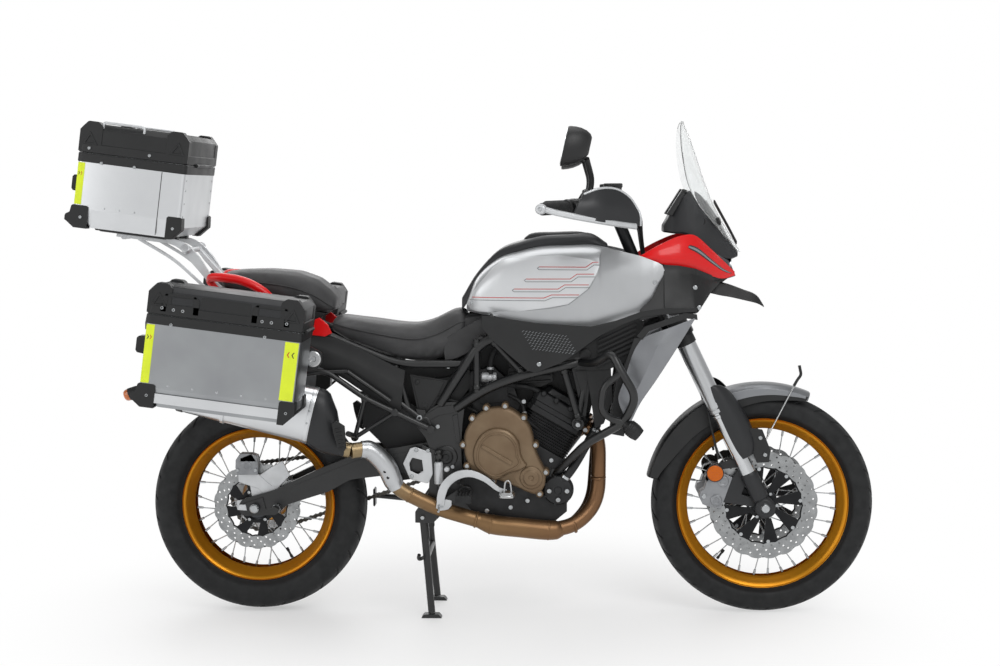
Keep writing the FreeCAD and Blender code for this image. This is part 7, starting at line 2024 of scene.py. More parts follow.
def box_shell(length, y0, y1, height, fold, **_):
    """The body: rings up the outside with the lower corners cut off, then down the inside."""
    def level(z, wall):
        """One ring of the body, a wall's thickness in from its outside."""
        up = z + height
        rear, front = max(0.0, 50.0 - up), max(0.0, 30.0 - up)
        lean = fold * np.clip(1.0 - up / 52.0, 0, 1)
        return rounded(rear + wall, length - front - wall, y0 + wall + lean * (y0 < 0), y1 - wall - lean, z,
                       12.0 - 0.6 * wall)
    outside = [level(z, 0.0) for z in (-height, -height + 30, -height + 50, -height + 52, -height + 54, -30,
                                       0)]
    inside = [level(z, 3.0) for z in (0, -30, -height + 53, -height + 50, -height + 30, -height + 3)]
    return lofted(np.array(outside + inside))


def rim(length, y0, y1, low, high, stand, wall=6.0, **_):
    """A moulded band round the box: out from the wall, rounded, and back inside."""
    rows = [rounded(-stand + a, length + stand - a, y0 - stand + a, y1 + stand - a, z, 13.0 + stand - a)
            for a, z in ((1.5, low), (0, low + 2), (0, high - 2), (1.5, high), (wall + stand, high),
                         (wall + stand, low))]
    grid = np.array(rows)
    return grid.reshape(-1, 3), weave(len(rows), grid.shape[1], True, True).tolist()


def lid_shell(length, y0, y1, top, **_):
    """The lid: up, in over a sloped edge, and back down inside with a three millimetre wall."""
    def level(z, inset):
        """One ring of the lid, moved in from its outside."""
        return rounded(inset, length - inset, y0 + inset, y1 - inset, z, 14.0)
    rows = [level(0.6, 0.0), level(top - 18, 0.0), level(top - 14, 1.0), level(top - 2, 11.5),
            level(top, 14.0)]
    rows += [level(top - 0.5, 20.0), level(top - 3.2, 20.0), level(top - 6, 14.5), level(top - 16, 3.2),
             level(0.6, 3.0)]
    grid = np.array(rows)
    n, last = grid.shape[1], (len(rows) - 1) * grid.shape[1]
    ring_faces = weave(len(rows), n, False, True).tolist()
    bottom = [[last + k, last + (k + 1) % n, (k + 1) % n, k] for k in range(n)]
    caps = [[5 * n + k for k in range(n)], [6 * n + k for k in range(n)][::-1]]
    side = [f for f in ring_faces if not (5 * n <= min(f) < 6 * n)]
    return grid.reshape(-1, 3), side + bottom + caps


print("pannier length", PANNIER["length"])

# %% [markdown]
# Small pieces complete a box: moulded corners with a bolt, a triangular rib on each upper corner,
# handles with a slot, latches at the rear, hinge barrels at the front, rivets along the fold, and
# reflecting film in fluorescent yellow green with two plain chevrons.

# %% Corners, film, latches and hinges
def low_corners(length, y0, y1, height, **_):
    """Blocks that cap the lower corners. The rear ones stand out behind the box."""
    rear = [(46, -3), (46, 58), (40, 62), (0, 62), (-4, 58), (-7, 40), (-18, 33), (-20, 28), (-20, 16),
            (-10, 10), (8, -4), (40, -4)]
    front = [(-40, -3), (-40, 58), (-35, 62), (1, 62), (4, 58), (6, 34), (6, 26), (-22, -4), (-36, -4)]
    made = []
    for x0, outline in ((0.0, rear), (length, front)):
        for a, b in ((y0 - 3.6, y0 + 3.0), (y1 - 3.0, y1 + 3.6)):
            made.append(cut_plate([(x0 + x, z - height) for x, z in outline], a, b))
    for a, b in ((y0 - 3.0, y0 + 38.0), (y1 - 38.0, y1 + 3.0)):
        made.append(cut_plate([(-3, 58 - height), (-6, 40 - height), (-19, 32 - height), (-19, 16 - height),
                               (8, -4 - height), (46, -4 - height), (46, -0.5 - height), (49, -0.3 - height),
                               (0, 50 - height), (-0.4, 60 - height)], a, b))
        made.append(cut_plate([(length + x, z - height) for x, z in
                               ((4, 60), (6, 34), (6, 26), (-22, -4), (-40, -4), (-40, -0.5), (-30, -0.4),
                                (0.4, 30), (0.4, 60))], a, b))
    return made


def rib_triangle(x0, z0, size, y, side, flip=1.0):
    """A raised triangle frame on a corner block."""
    outer = np.array([(0, 0), (size, 0), (0.45 * size, 0.85 * size)]) * [flip, 1.0] + [x0, z0]
    middle = outer.mean(axis=0)
    inner = middle + (outer - middle) * 0.52
    edge = [outer + (inner - outer) * s for s in (0.0, 0.15, 0.85, 1.0)]
    ys = [y, y + side * 2.5, y + side * 2.5, y]
    grid = np.stack([np.column_stack([p[:, 0], np.full(3, q), p[:, 1]]) for p, q in zip(edge, ys)], 1)
    return grid.reshape(-1, 3), weave(3, 4, True, True).tolist()


def lid_blocks(length, y0, y1, top, **_):
    """The four upper corner blocks, each with its triangle, a little above the lid's top."""
    outline = [(-1.5, 4), (-1.5, top - 18), (8, top - 6), (20, top + 7), (24, top + 8), (48, top + 8),
               (54, top + 5), (64, top - 5), (64, 26), (54, 4)]
    made = []
    for a, b in ((y0 - 1.6, y0 + 38.0), (y1 - 38.0, y1 + 1.6)):
        made.append(cut_plate(outline, a, b))
        made.append(cut_plate([(length - x, z) for x, z in outline], a, b))
    for y, side in ((y0 - 1.4, -1.0), (y1 + 1.4, 1.0)):
        made.append(rib_triangle(8, 24, 46, y, side))
        made.append(rib_triangle(length - 8, 24, 46, y, side, -1.0))
    return made


def handle(x0, x1, z0, z1, y, side):
    """A handle block with a slot through its upper part, on the lid's outer side."""
    a, b = sorted((y - side * 6.0, y + side * 2.5))
    t = 8.0
    bars = [[(x0, z0), (x1, z0), (x1, z0 + 0.45 * (z1 - z0)), (x0, z0 + 0.45 * (z1 - z0))],
            [(x0 + 6, z1 - t), (x1 - 6, z1 - t), (x1 - 12, z1), (x0 + 12, z1)],
            [(x0, z0 + 2), (x0 + 16, z0 + 2), (x0 + 18, z1 - 1), (x0 + 10, z1 - 1), (x0, z1 - 14)],
            [(x1, z0 + 2), (x1 - 16, z0 + 2), (x1 - 18, z1 - 1), (x1 - 10, z1 - 1), (x1, z1 - 14)]]
    return [cut_plate(q, a, b) for q in bars]


def film(x0, x1, z0, z1, y, side):
    """A strip of film or sheet that lies on a side wall."""
    a, b = sorted((y, y + side * 0.7))
    return cut_plate([(x0, z0), (x1, z0), (x1, z1), (x0, z1)], a, b)


def chevron(x, z, s, y, side, way=1.0):
    """A thin printed arrow mark, s millimetres from its tip to the ends of its arms."""
    a, b = sorted((y, y + side * 0.4))
    return cut_plate([(x, z + s), (x + 0.35 * s * way, z + s), (x + s * way, z),
                      (x + 0.35 * s * way, z - s), (x, z - s), (x + 0.6 * s * way, z)], a, b)


def hinge(length, y0, y1, **_):
    """The lid's knuckle, and the body's two beside it, with their leaves."""
    third, middle, x = (y1 - y0) / 6.0, 0.5 * (y0 + y1), length + 6.0
    lid_part = [turned([(0, 4), (1, 5.4), (2 * third - 2, 5.4), (2 * third - 1, 4)],
                       (x, middle - third + 0.5, 0), (x, middle + third - 0.5, 0), 20),
                lofted([[(length - 0.5, middle - third + 1, z), (length + 2, middle - third + 1, z),
                         (length + 2, middle + third - 1, z),
                         (length - 0.5, middle + third - 1, z)] for z in (2, 22)])]
    body_part = []
    for s in (-1, 1):
        a, b = sorted((middle + s * (third + 0.2), middle + s * (third + 33.5)))
        body_part.append(turned([(0, 4), (1, 5.4), (b - a - 1, 5.4), (b - a, 4)], (x, a, 0), (x, b, 0), 20))
        body_part.append(lofted([[(length - 0.5, a, z), (length + 2, a, z), (length + 2, b, z),
                                  (length - 0.5, b, z)]
                                 for z in (-22, -2)]))
    return lid_part, body_part


def latch(y):
    """A latch behind the box: a hinged plate, and the knob it closes on."""
    plate = cut_plate([(-1, -50), (-8, -48), (-10, -30), (-8, -6), (-5, -3), (-1, -4)], y - 14, y + 14)
    knob = cut_plate([(-1, -116), (-22, -114), (-27, -108), (-27, -74), (-22, -68), (-1, -66)],
                     y - 22, y + 22)
    return [plate, knob]


brushed = FINISH["brushed_aluminium"]
printed_red, reflex = FINISH["red_print"], FINISH["fluorescent_film"]
print("box tools ready")

# %% [markdown]
# ## The panniers
# Both panniers are one box, worked out on the left with its corner at nought, tilted and carried to
# its place, and mirrored for the right. The shell is the brushed sheet in a darker colour, which is
# painted shade for the dark surroundings its broad flat sides mirror, and a strip of the bright sheet
# lies along its lower edge. The lid's pieces turn on the lid's own body.

# %% Panniers
box = PANNIER
y_out = box["y1"]
lid_hinge, body_hinge = hinge(**box)
rivet_spots = [(x, y_out - 0.6, -box["height"] + 62) for x in (80, 148, 216, 284, 352)]
dots = repeated(turned([(0, 3.6), (0.8, 3.2), (1.4, 1.8), (1.5, 0.1)], (0, 0, 0), (0, 1, 0), 10),
                rivet_spots)
screws = repeated(cap_bolt(4.6, 3.0, 1), [(24, y_out + 0.7, 30 - box["height"]),
                                          (412, y_out + 0.7, 30 - box["height"]), (70, y_out + 0.7, -24),
                                          (330, y_out + 0.7, -24)])
lid_screws = repeated(cap_bolt(4.6, 3.0, 1), [(40, y_out + 0.7, 20), (72, y_out + 0.7, 18),
                                              (98, y_out + 0.7, 18), (318, y_out + 0.7, 18),
                                              (344, y_out + 0.7, 18), (386, y_out + 0.7, 20)])
shell = box_shell(fold=10.0, **box)
trim = [rim(low=-27.0, high=-0.6, stand=2.4, **box)] + low_corners(**box) + latch(330.0) + latch(440.0)
lid_trim = ([rim(low=1.0, high=27.0, stand=2.4, **box)] + lid_blocks(**box)
            + handle(36, 142, 8, 62, y_out, 1.0) + handle(288, 394, 8, 62, y_out, 1.0))
films = [film(x0, x1, -box["height"] + 64, -29, y_out, 1.0) for x0, x1 in ((3, 26), (388, 426))]
black_marks = [chevron(7, -64, 6, y_out + 0.7, 1.0), chevron(417, -64, 8, y_out + 0.7, 1.0, -1.0)]
red_marks = [chevron(15, -64, 6, y_out + 0.7, 1.0), chevron(404, -64, 8, y_out + 0.7, 1.0, -1.0)]
lid_main = lid_shell(**box)
lid_plate = [lofted(np.array([rounded(14, 416, 284, 476, 79.6, 14), rounded(13, 417, 283, 477, 80.2, 15),
                              rounded(15, 415, 285, 475, 80.8, 13)])),
             cut_plate([(146, 28), (284, 28), (284, 62), (146, 62)], y_out - 1, y_out + 0.6)]
for side, name in ((1, "left"), (-1, "right")):
    def place(parts):
        """Tilt the parts, carry them to the box's corner, and mirror them for the right box."""
        moved = [pitched(part, box["corner"]) for part in parts]
        return moved if side > 0 else [flipped(part) for part in moved]
    pannier, lid = "pannier_" + name, "pannier_" + name + "_lid"
    piece(pannier + "_lower_band", place([film(14, 416, -box["height"] + 11, -box["height"] + 38, y_out,
                                               1.0)]), brushed)
    # The shell's darker copy of the brushed sheet is painted shade for the dark surroundings its flat sides
    # mirror.
    piece(pannier + "_shell", place([shell]), FINISH["brushed_aluminium_painted_shade"], "root",
          pannier, edge=0.8, smooth=24)
    piece(pannier + "_trim", place(trim + body_hinge), black, edge=0.9, smooth=30)
    piece(pannier + "_rivets", place([dots, screws]), zinc)
    piece(pannier + "_film", place(films), reflex)
    piece(pannier + "_black_marks", place(black_marks), black)
    piece(pannier + "_red_marks", place(red_marks), printed_red)
    piece(lid + "_shell", place([lid_main]), FINISH["dark_satin_paint"],
          lid, lid, smooth=24)
    piece(lid + "_top", place(lid_plate), black, lid, edge=0.6)
    piece(lid + "_trim", place(lid_trim + lid_hinge), black, lid, edge=0.9, smooth=30)
    piece(lid + "_screws", place([lid_screws]), zinc, lid)
print("panniers made")

# %% [markdown]
# ## The top box
# The top box comes from the same tools, in the brushed sheet's own bright colour, without the panniers'
# painted shade. It stands in the middle, so each strip, rivet and seam comes twice, once on either side.
# Its lid carries two silver rails and six low ribs.

# %% Top box
box = TOP_BOX
lid_hinge, body_hinge = hinge(**box)
shell = box_shell(fold=8.0, **box)
trim = [rim(low=-27.0, high=-0.6, stand=2.4, **box)] + low_corners(**box) + latch(-130.0) + latch(130.0)
lid_trim = [rim(low=1.0, high=27.0, stand=2.4, **box)] + lid_blocks(**box)
films, dots, seam, rails, feet = [], [], [], [], []
for y, s in ((box["y0"], -1.0), (box["y1"], 1.0)):
    films.append(film(3, 23, -box["height"] + 64, -29, y, s))
    dots.append(repeated(turned([(0, 3.4), (0.8, 3.0), (1.4, 1.6), (1.5, 0.1)], (0, 0, 0), (0, s, 0), 10),
                         [(x, y - s * 0.6, -box["height"] + 60) for x in (92, 136, 180)]))
    dots.append(repeated(cap_bolt(4.6, 3.0, s), [(26, y + s * 3.6, 28 - box["height"]),
                                                 (296, y + s * 3.6, 28 - box["height"]),
                                                 (70, y + s * 2.4, -25), (166, y + s * 2.4, -25)]))
    seam.append(film(246, 248, -box["height"] + 4, -28, y, s))
    path = bent([(62, y, 70), (62, y + s, 92), (182, y + s, 92), (182, y, 70)], 10.0, 5)
    rails.append(tube(path - np.array([0.0, s * 8.0, 0.0]), 4.0, 12))
    feet.append(repeated(cap_bolt(4.6, 3.0, s), [(30, y + s * 2.4, 14), (206, y + s * 2.4, 14)]))
black_marks = [chevron(6, -60, 5, y + s * 0.7, s) for y, s in ((box["y0"], -1.0), (box["y1"], 1.0))]
red_marks = [chevron(13, -60, 5, y + s * 0.7, s) for y, s in ((box["y0"], -1.0), (box["y1"], 1.0))]
front_dots = repeated(turned([(0, 3.4), (0.8, 3.0), (1.5, 0.1)], (0, 0, 0), (1, 0, 0), 10),
                      [(315, y, z) for y in (-188.0, 188.0) for z in (-150, -112, -74, -44)])
lid_main = lid_shell(**box)


def place_top(parts):
    """Tilt the parts and carry them to the top box's corner."""
    return [pitched(part, box["corner"]) for part in parts]


piece("top_box_shell", place_top([shell]), brushed, "root", "top_box", edge=0.8, smooth=24)
piece("top_box_trim", place_top(trim + body_hinge), black, edge=0.9, smooth=30)
piece("top_box_rivets", place_top(dots + [front_dots]), zinc)
piece("top_box_film", place_top(films), reflex)
piece("top_box_seams", place_top(seam), FINISH["dark_satin_paint"])
piece("top_box_black_marks", place_top(black_marks), black)
piece("top_box_red_marks", place_top(red_marks), printed_red)
piece("top_box_lid_shell", place_top([lid_main]), black, "top_box_lid", "top_box_lid",
      edge=1.0, smooth=24)
ribs = [lofted(np.array([rounded(40, 275, -150 + k * 60, -118 + k * 60, 83, 8),
                         rounded(42, 273, -148 + k * 60, -120 + k * 60, 86.5, 7)])) for k in range(6)]
piece("top_box_lid_trim", place_top(lid_trim + lid_hinge + ribs), black, "top_box_lid",
      edge=0.9, smooth=30)
piece("top_box_lid_rails", place_top(rails), FINISH["silver_cast_paint"], "top_box_lid")
piece("top_box_lid_screws", place_top(feet), zinc, "top_box_lid")
print("top box made")

# %% [markdown]
# ## Carrier, grab rails and the panniers' frames
# Silver cast arms hold a black plate under the top box. The passenger's grab rails are thick tubes in
# the same gloss red as the cowls, and a black hoop a side carries each pannier.

# %% Carrier, rails and hoops
arm_top = bent([(-1050, 0, 1137), (-858, 0, 1112), (-800, 0, 1040), (-744, 0, 956)], 40.0, 6)[:, [0, 2]]


def strap(line, tall_of, y0, y1):
    """A flat bar on edge: the line in X and Z, widened square to itself by a height that varies."""
    way = unit(np.gradient(line, axis=0))
    off = np.stack([-way[:, 1], way[:, 0]], -1) * np.asarray(tall_of)[:, None] / 2
    edges = ((line + off, y0), (line + off, y1), (line - off, y1), (line - off, y0))
    return lofted(np.stack([np.column_stack([q[:, 0], np.full(len(q), y), q[:, 1]]) for q, y in edges], 1))


n = len(arm_top)
arms = [strap(arm_top, np.interp(np.linspace(0, 1, n), [0, 0.4, 0.6, 1.0], [13, 26, 30, 18]), 90, 101)]
low_arm = bent([(-985, 0, 1124), (-880, 0, 1062), (-752, 0, 944)], 40.0, 6)[:, [0, 2]]
arms.append(strap(low_arm, np.full(len(low_arm), 9.0), 92, 99))
cross = [tube([(x, -98, z), (x, 98, z)], 8.0) for x, z in ((-1030, 1130), (-842, 1088))]
knobs = [turned([(0, 11), (4, 14), (14, 14), (18, 10)], (-842, y, 1090), (-842, y * 1.1, 1094), 20)
         for y in (-102.0, 102.0)]
link = [tube(np.array([(-842, 62, 1092), (-770, 62, 1012)], float), 8.5)]
piece("carrier_arms_cast", pair(arms) + cross + knobs + link, FINISH["silver_cast_paint"],
      edge=1.2, smooth=36)
base = [lofted(np.array([rounded(a, 262 - (a - 52), -110 + (a - 52), 110 - (a - 52), z, 14) for a, z in
                         ((56, -226), (52, -223), (52, -217), (54, -214.4))]))]
hooks = [cut_plate([(30, -217), (52, -217), (52, -226), (36, -226)], y - 10, y + 10) for y in (-60.0, 60.0)]
hooks += [cut_plate([(262, -216), (284, -214.4), (284, -224), (262, -226)], y - 14, y + 14)
          for y in (-70.0, 70.0)]
piece("carrier_plate", [pitched(p, TOP_BOX["corner"]) for p in base + hooks], black, "root",
      "luggage_rack", edge=1.0)
rail = bent([(-775, 112, 1000), (-765, 138, 1014), (-665, 150, 1004), (-590, 146, 960), (-556, 123, 884)],
            45.0, 8)
root_bar = np.array([(-775, 112, 1000), (-730, 106, 940)], float)
thick = np.interp(np.linspace(0, 1, len(rail)), [0, 0.1, 0.3, 0.8, 1.0], [9.5, 12.5, 13.5, 13, 10])
piece("grab_rails_red", pair([tube(rail, thick, 20), tube(root_bar, 10.5, 16)]) + [tube([(-772, -114, 1002),
      (-772, 114, 1002)], 9.0, 16)], FINISH["gloss_red_paint"], "root", "grab_rails", smooth=50)
y = 260.7
hoop = bent([(-670, y, 695), (-540, y, 691), (-517, y, 712), (-503, y, 838), (-522, y, 863), (-798, y, 897),
             (-823, y, 876), (-838, y, 722), (-815, y, 699), (-670, y, 695)], 26.0, 6)
stays = [tube([(-700, y, 885), (-700, 114, 932)], 8.0), tube([(-520, y, 862), (-470, 114, 858)], 8.0)]
pucks = [turned([(0, 23), (6, 23), (8, 20), (8, 9), (6, 8), (6, 0.1)], (-449, y + 4, 783),
                (-449, y + 20, 783), 36)]
tabs = [cut_plate([(-516, 752), (-440, 752), (-424, 772), (-424, 800), (-456, 818), (-508, 830)],
                  y - 3, y + 3)]
piece("pannier_hoops", pair([tube(hoop[:-1], 9.0, 16)] + stays + tabs), coat, "root",
      "pannier_frames", edge=0.8, smooth=50)
piece("pannier_lock_discs", pair(pucks), FINISH["satin_stainless"], edge=0.6)
print("carrier made")

# %% [markdown]
# ## Crash bars and their lamps
# Each crash bar is one bent tube from the frame's upper rail, out round the radiator's wing and back to
# the engine mount, with a thinner loop welded inside it. A lamp hangs at its outer corner.

# %% Crash bars
main = bent([(318, 148, 762), (356, 212, 764), (404, 272, 802), (428, 288, 752), (474, 288, 676),
             (440, 262, 600), (330, 200, 530), (238, 112, 424)], 34.0, 8)
loop = bent([(432, 287, 745), (380, 286, 706), (372, 280, 640), (398, 270, 612), (440, 262, 600)], 24.0, 7)
flange_plates = [cut_plate([(300, 748), (336, 752), (336, 778), (300, 776)], 146, 151),
                 cut_plate([(222, 404), (258, 408), (262, 440), (232, 446)], 118, 124)]
beads = [turned([(0, 12), (3, 14), (7, 14), (10, 12)], main[-1],
                main[-1] + unit(main[-2] - main[-1]) * 10, 20)]
piece("crash_bars_bent", pair([tube(main, 12.0, 22), tube(loop, 10.0, 18)] + flange_plates + beads), coat,
      "root", "crash_bars", smooth=50)
pods, glass = [], []
for s in (-1.0, 1.0):
    a, b = np.array([440.0, s * 262, 598]), np.array([486.0, s * 262, 560])
    pods.append(turned([(0, 10), (6, 13), (12, 20), (24, 23), (40, 23), (44, 22), (56, 19), (56, 15),
                        (50, 14)], a, b, 30))
    for t in (16, 22, 28, 34):
        pods.append(turned([(0, 22.4), (1, 23.8), (2.4, 23.8), (3.4, 22.4)], a + unit(b - a) * t,
                           a + unit(b - a) * (t + 4), 30))
    glass.append(turned([(0, 15.6), (1.4, 14), (2.2, 8), (2.4, 0.1)], a + unit(b - a) * 53, b, 30))
piece("crash_bar_lamps", pods, black, edge=0.6, smooth=40)
piece("crash_bar_lamp_glasses", glass, FINISH["lamp_glass"])
print("crash bar points", len(main) + len(loop))

# %% [markdown]
# ## Foot controls
# The peg's bracket is a cast aluminium plate with a window. The brake lever is a thick silver arc, wide
# where it turns and thin at its end, so its height is a table along one smooth line.

# %% Pegs, levers and heel guards
guard_line = np.array([(-206, 462), (-184, 507), (-170, 511), (-122, 494), (-118, 430), (-132, 402),
                       (-186, 415)], float)
window_line = np.array([(-187, 462), (-178, 479), (-150, 472), (-146, 440), (-162, 430), (-184, 440)], float)


def framed(outer, inner, y0, y1, count=64):
    """A plate with a window: two closed lines, read at even steps of their turn about the middle."""
    middle = outer.mean(axis=0)
    angle = np.linspace(0, 2 * np.pi, count, endpoint=False)
    rows = []
    for line in (outer, inner):
        closed = np.concatenate([line, line[:1]])
        fine = np.concatenate([a + (b - a) * np.linspace(0, 1, 24, endpoint=False)[:, None]
                               for a, b in zip(closed[:-1], closed[1:])])
        turn_of = np.arctan2(fine[:, 1] - middle[1], fine[:, 0] - middle[0]) % (2 * np.pi)
        order = np.argsort(turn_of)
        rows.append(np.stack([np.interp(angle, turn_of[order], fine[order, k],
                                        period=2 * np.pi) for k in (0, 1)], -1))
    grid = np.stack([np.column_stack([rows[a][:, 0], np.full(count, y), rows[a][:, 1]])
                     for a, y in ((0, y0), (0, y1), (1, y1), (1, y0))], 1)
    return grid.reshape(-1, 3), weave(count, 4, True, True).tolist()


lever_line = through(np.array([(-92, 346), (-90, 374), (-76, 408), (-44, 434), (-4, 440), (38, 424),
                               (78, 394), (100, 388)], float), 5)
lever_tall = np.interp(np.linspace(0, 1, len(lever_line)), [0, 0.2, 0.45, 0.7, 0.9, 1.0],
                       [22, 25, 24, 17, 12, 11])
cast, rubber_parts, dark_parts, rims, screws = [], [], [], [], []
hanger = cut_plate([(-150, 518), (-70, 480), (-46, 402), (-6, 388), (-6, 366), (-44, 366), (-94, 420),
                    (-148, 462)], 124.5, 131)
cast += [framed(guard_line, window_line, 130.5, 134)]
cast += [strap(lever_line, lever_tall, 181, 189)]
cast += [cut_plate([(-106, 338), (-94, 330), (-70, 334), (-60, 346), (-60, 360), (-76, 364), (-104, 354)],
                   178, 184)]
cast += [turned([(0, 12), (4, 13), (60, 13), (66, 11)], (-100, 140, 402), (-100, 140, 478), 28)]
cast += [turned([(0, 8), (18, 8), (20, 6)], (-76, 132, 446), (-76, 154, 446), 18)]
dark_parts += [turned([(0, 13.5), (10, 13.5), (14, 10), (18, 12), (24, 11), (26, 8)],
                      (-100, 140, 478), (-100, 140, 506), 24)]
dark_parts += [turned([(0, 5), (26, 5)], (-100, 140, 402), (-98, 150, 366), 12)]
dark_parts += [cut_plate([(-46, 389), (-12, 389), (-12, 366), (-62, 352), (-86, 336), (-100, 344),
                          (-90, 360)], 176, 181)]
dark_parts += [turned([(0, 19), (3, 21), (10, 21), (12, 18)], (-22, 132, 376), (-22, 145, 376), 28)]
peg = [turned([(0, 8), (118, 8)], (-22, 132, 376), (-22, 250, 376), 16)]
tread = [cut_plate([(-44 + k, 386), (-40 + k, 393), (-36 + k, 386)], 176, 258) for k in range(0, 42, 9)]
rubber_parts += [cut_plate([(-45, 366), (-41, 364), (-3, 364), (1, 366), (1, 386), (-45, 386)],
                           172, 261)] + tread
tip = bent([(84, 181, 382), (84, 247, 382), (121, 247, 382), (121, 181, 382)], 14.0, 5)
rims += [tube(tip, 5.0, 12), cut_plate([(84, 378), (121, 378), (121, 389), (84, 389)], 183, 246)]
wire_loop = bent([(94, 216, 388), (98, 216, 424), (112, 216, 424), (116, 216, 388)], 12.0, 5)
rims += [tube(wire_loop, 2.6, 10), cut_plate([(88, 384), (118, 384), (118, 392), (88, 392)], 190, 240)]
screws += [repeated(cap_bolt(6.0, 4.0, 1), [(-132, 131, 500), (-60, 131, 452), (-88, 184.5, 346),
                                            (-22, 146, 376),
                                           (-166, 134, 502), (-180, 134, 424)])]
screws += [turned([(0, 3.4), (78, 3.4)], (-96, 150, 362), (-96, 176, 352), 10)]
piece("foot_control_castings", pair(cast), FINISH["silver_cast_paint"], "root",
      "foot_controls", edge=1.6, smooth=36)
piece("foot_control_brackets", pair([hanger] + dark_parts + peg), coat, edge=1.0, smooth=40)
piece("foot_peg_rubbers", pair(rubber_parts), FINISH["soft_grip_rubber"], edge=1.0)
piece("pedal_rims", pair(rims), FINISH["satin_stainless"], smooth=50)
piece("foot_control_screws", pair(screws), zinc)
print("lever points", len(lever_line))

# %% [markdown]
# ## Stands
# The centre stand is an H of tube on two short axles, with flat feet and a curved tang for the rider's
# boot. The side stand folds up along the left side, under the foot controls.

# %% Centre stand and side stand
stand, stand_bolts = [], []
leg = bent([(-150, 98, 300), (-140, 104, 180), (-125, 118, 14)], 30.0, 6)
stand += [tube(leg, np.interp(np.linspace(0, 1, len(leg)), [0, 0.15, 0.8, 1.0], [12, 11, 11, 10.5]), 20)]
stand += [turned([(0, 13), (2, 16), (22, 16), (24, 13)], (-150, 87.4, 300), (-150, 111.2, 300), 28)]
stand += [turned([(0, 8), (16.4, 8)], (-150, 111, 300), (-150, 127.6, 300), 16)]
stand += [cut_plate([(-155, 0.5), (-152, 6), (-146, 11.5), (-104, 11.5), (-98, 6), (-95, 0.5)],
                    101.5, 134.5)]
stand += [cut_plate([(-152, 300), (-136, 296), (-131, 236), (-142, 200), (-150, 232)], 96, 104)]
stand_bolts += [repeated(cap_bolt(6.0, 4.0, 1), [(-150, 127.4, 300)])]
tang = bent([(-140, -106, 182), (-160, -112, 172), (-163, -126, 178), (-160, -133, 190)], 10.0, 5)
piece("centre_stand_welded", pair(stand) + [tube([(-140, -104, 180), (-140, 104, 180)], 10.5, 18),
                                            tube(tang, 5.5, 12)],
      coat, "centre_stand", "centre_stand", edge=0.8, smooth=45)
piece("centre_stand_bolts", pair(stand_bolts), zinc, "centre_stand")
side_leg = through(np.array([(-48, 170, 293), (-130, 170, 300), (-230, 170, 309), (-318, 170, 317)], float),
                   6)
prop = [tube(side_leg, np.interp(np.linspace(0, 1, len(side_leg)), [0, 0.2, 1.0], [10, 10, 8.4]), 20),
        turned([(0, 15), (2, 17), (14, 17), (16, 15)], (-40, 162, 292), (-40, 178, 292), 28),
        cut_plate([(-325.6, 288), (-322, 284.5), (-318.5, 288), (-318.5, 338), (-322, 341.5),
                   (-325.6, 338)], 148.5, 191.5),
        tube(bent([(-200, 170, 306), (-206, 184, 300), (-212, 188, 290)], 8.0), 4.5, 10)]
piece("side_stand_forged", prop, coat, "side_stand", "side_stand", edge=1.4, smooth=45)
piece("side_stand_pin", [turned([(0, 9), (4, 9), (5, 7)], (-40, 179.4, 292), (-40, 184, 292), 6)],
      zinc, "side_stand")
print("stands ready")

# %% [markdown]
# ## Tail
# A thin moulded carrier hangs behind the wheel, curved over its width and bare where a number plate
# would be. It holds two amber turn signals and a reflector. The tail lamp sits above it.

# %% Tail, lamp and signals
line = through(np.array([(-694, 925), (-800, 916), (-885, 898), (-915, 862), (-950, 780), (-985, 690)],
                        float), 6)
way = unit(np.gradient(line, axis=0))
off = np.stack([-way[:, 1], way[:, 0]], -1)
share = np.linspace(0, 1, len(line))
half_wide = np.interp(share, [0, 0.35, 0.5, 0.8, 1.0], [70, 72, 62, 84, 84])
rows = []
for across in np.linspace(-1, 1, 13):
    drop = 8.0 * across ** 2
    rows.append(np.stack([line[:, 0] - off[:, 0] * drop * 0.5, half_wide * across,
                          line[:, 1] - off[:, 1] * drop * 0.5], -1))
tail = slab(np.stack(rows, 1), [-2.2, 0.0, -3.4])
carrier_ribs = [cut_plate([(-905, 872), (-915, 848), (-962, 738), (-948, 744), (-900, 850)],
                          y - 2.5, y + 2.5)
                for y in (-40.0, 40.0)]
plate_blank = cut_plate([(-940, 812), (-937, 813), (-983, 702), (-986, 701)], -78, 78)
stems = [tube([(-978, -150, 694), (-978, 150, 694)], 6.5, 14)]
bodies, lenses = [], []
for y in (-152.0, 152.0):
    a, b = np.array([-968.0, y, 684.0]), np.array([-1024.0, y, 662.0])
    bodies.append(turned([(0, 10), (4, 13), (16, 17), (40, 18.6), (43, 18.6), (43, 15)], a, b, 28))
    lenses.append(turned([(0, 17.6), (8, 17.4), (14, 14), (16.5, 8), (17, 0.1)],
                         a + unit(b - a) * 43, b, 28))
piece("rear_mudguard_moulded", [tail] + carrier_ribs + stems + bodies, black, "root",
      "rear_mudguard", edge=0.6, smooth=44)
piece("number_plate_blank", [plate_blank], FINISH["white_print"], edge=0.5)
piece("rear_signal_lenses", lenses, FINISH["amber_lens"])
ruby = turned([(0, 18), (2, 18), (3, 16), (3, 0.1)], (-962, 0, 744), (-965, 0, 743), 32)
lamp_rows = []
for x, grow in ((-756, 0.9), (-762, 1.0), (-782, 1.0), (-790, 0.94), (-794.5, 0.78)):
    a = np.linspace(0, 2 * np.pi, 36, endpoint=False)
    c, s = np.cos(a), np.sin(a)
    lamp_rows.append(np.stack([np.full(36, float(x)), 59 * grow * np.sign(c) * np.abs(c) ** 0.5,
                               942 + 25 * grow * np.sign(s) * np.abs(s) ** 0.6], -1))
piece("tail_lamp_lens", [lofted(lamp_rows[2:]), ruby], FINISH["red_lamp_lens"], "root",
      "tail_lamp", smooth=50)
piece("tail_lamp_housing", [lofted(lamp_rows[:3])], black, edge=0.6)
print("tail ready")

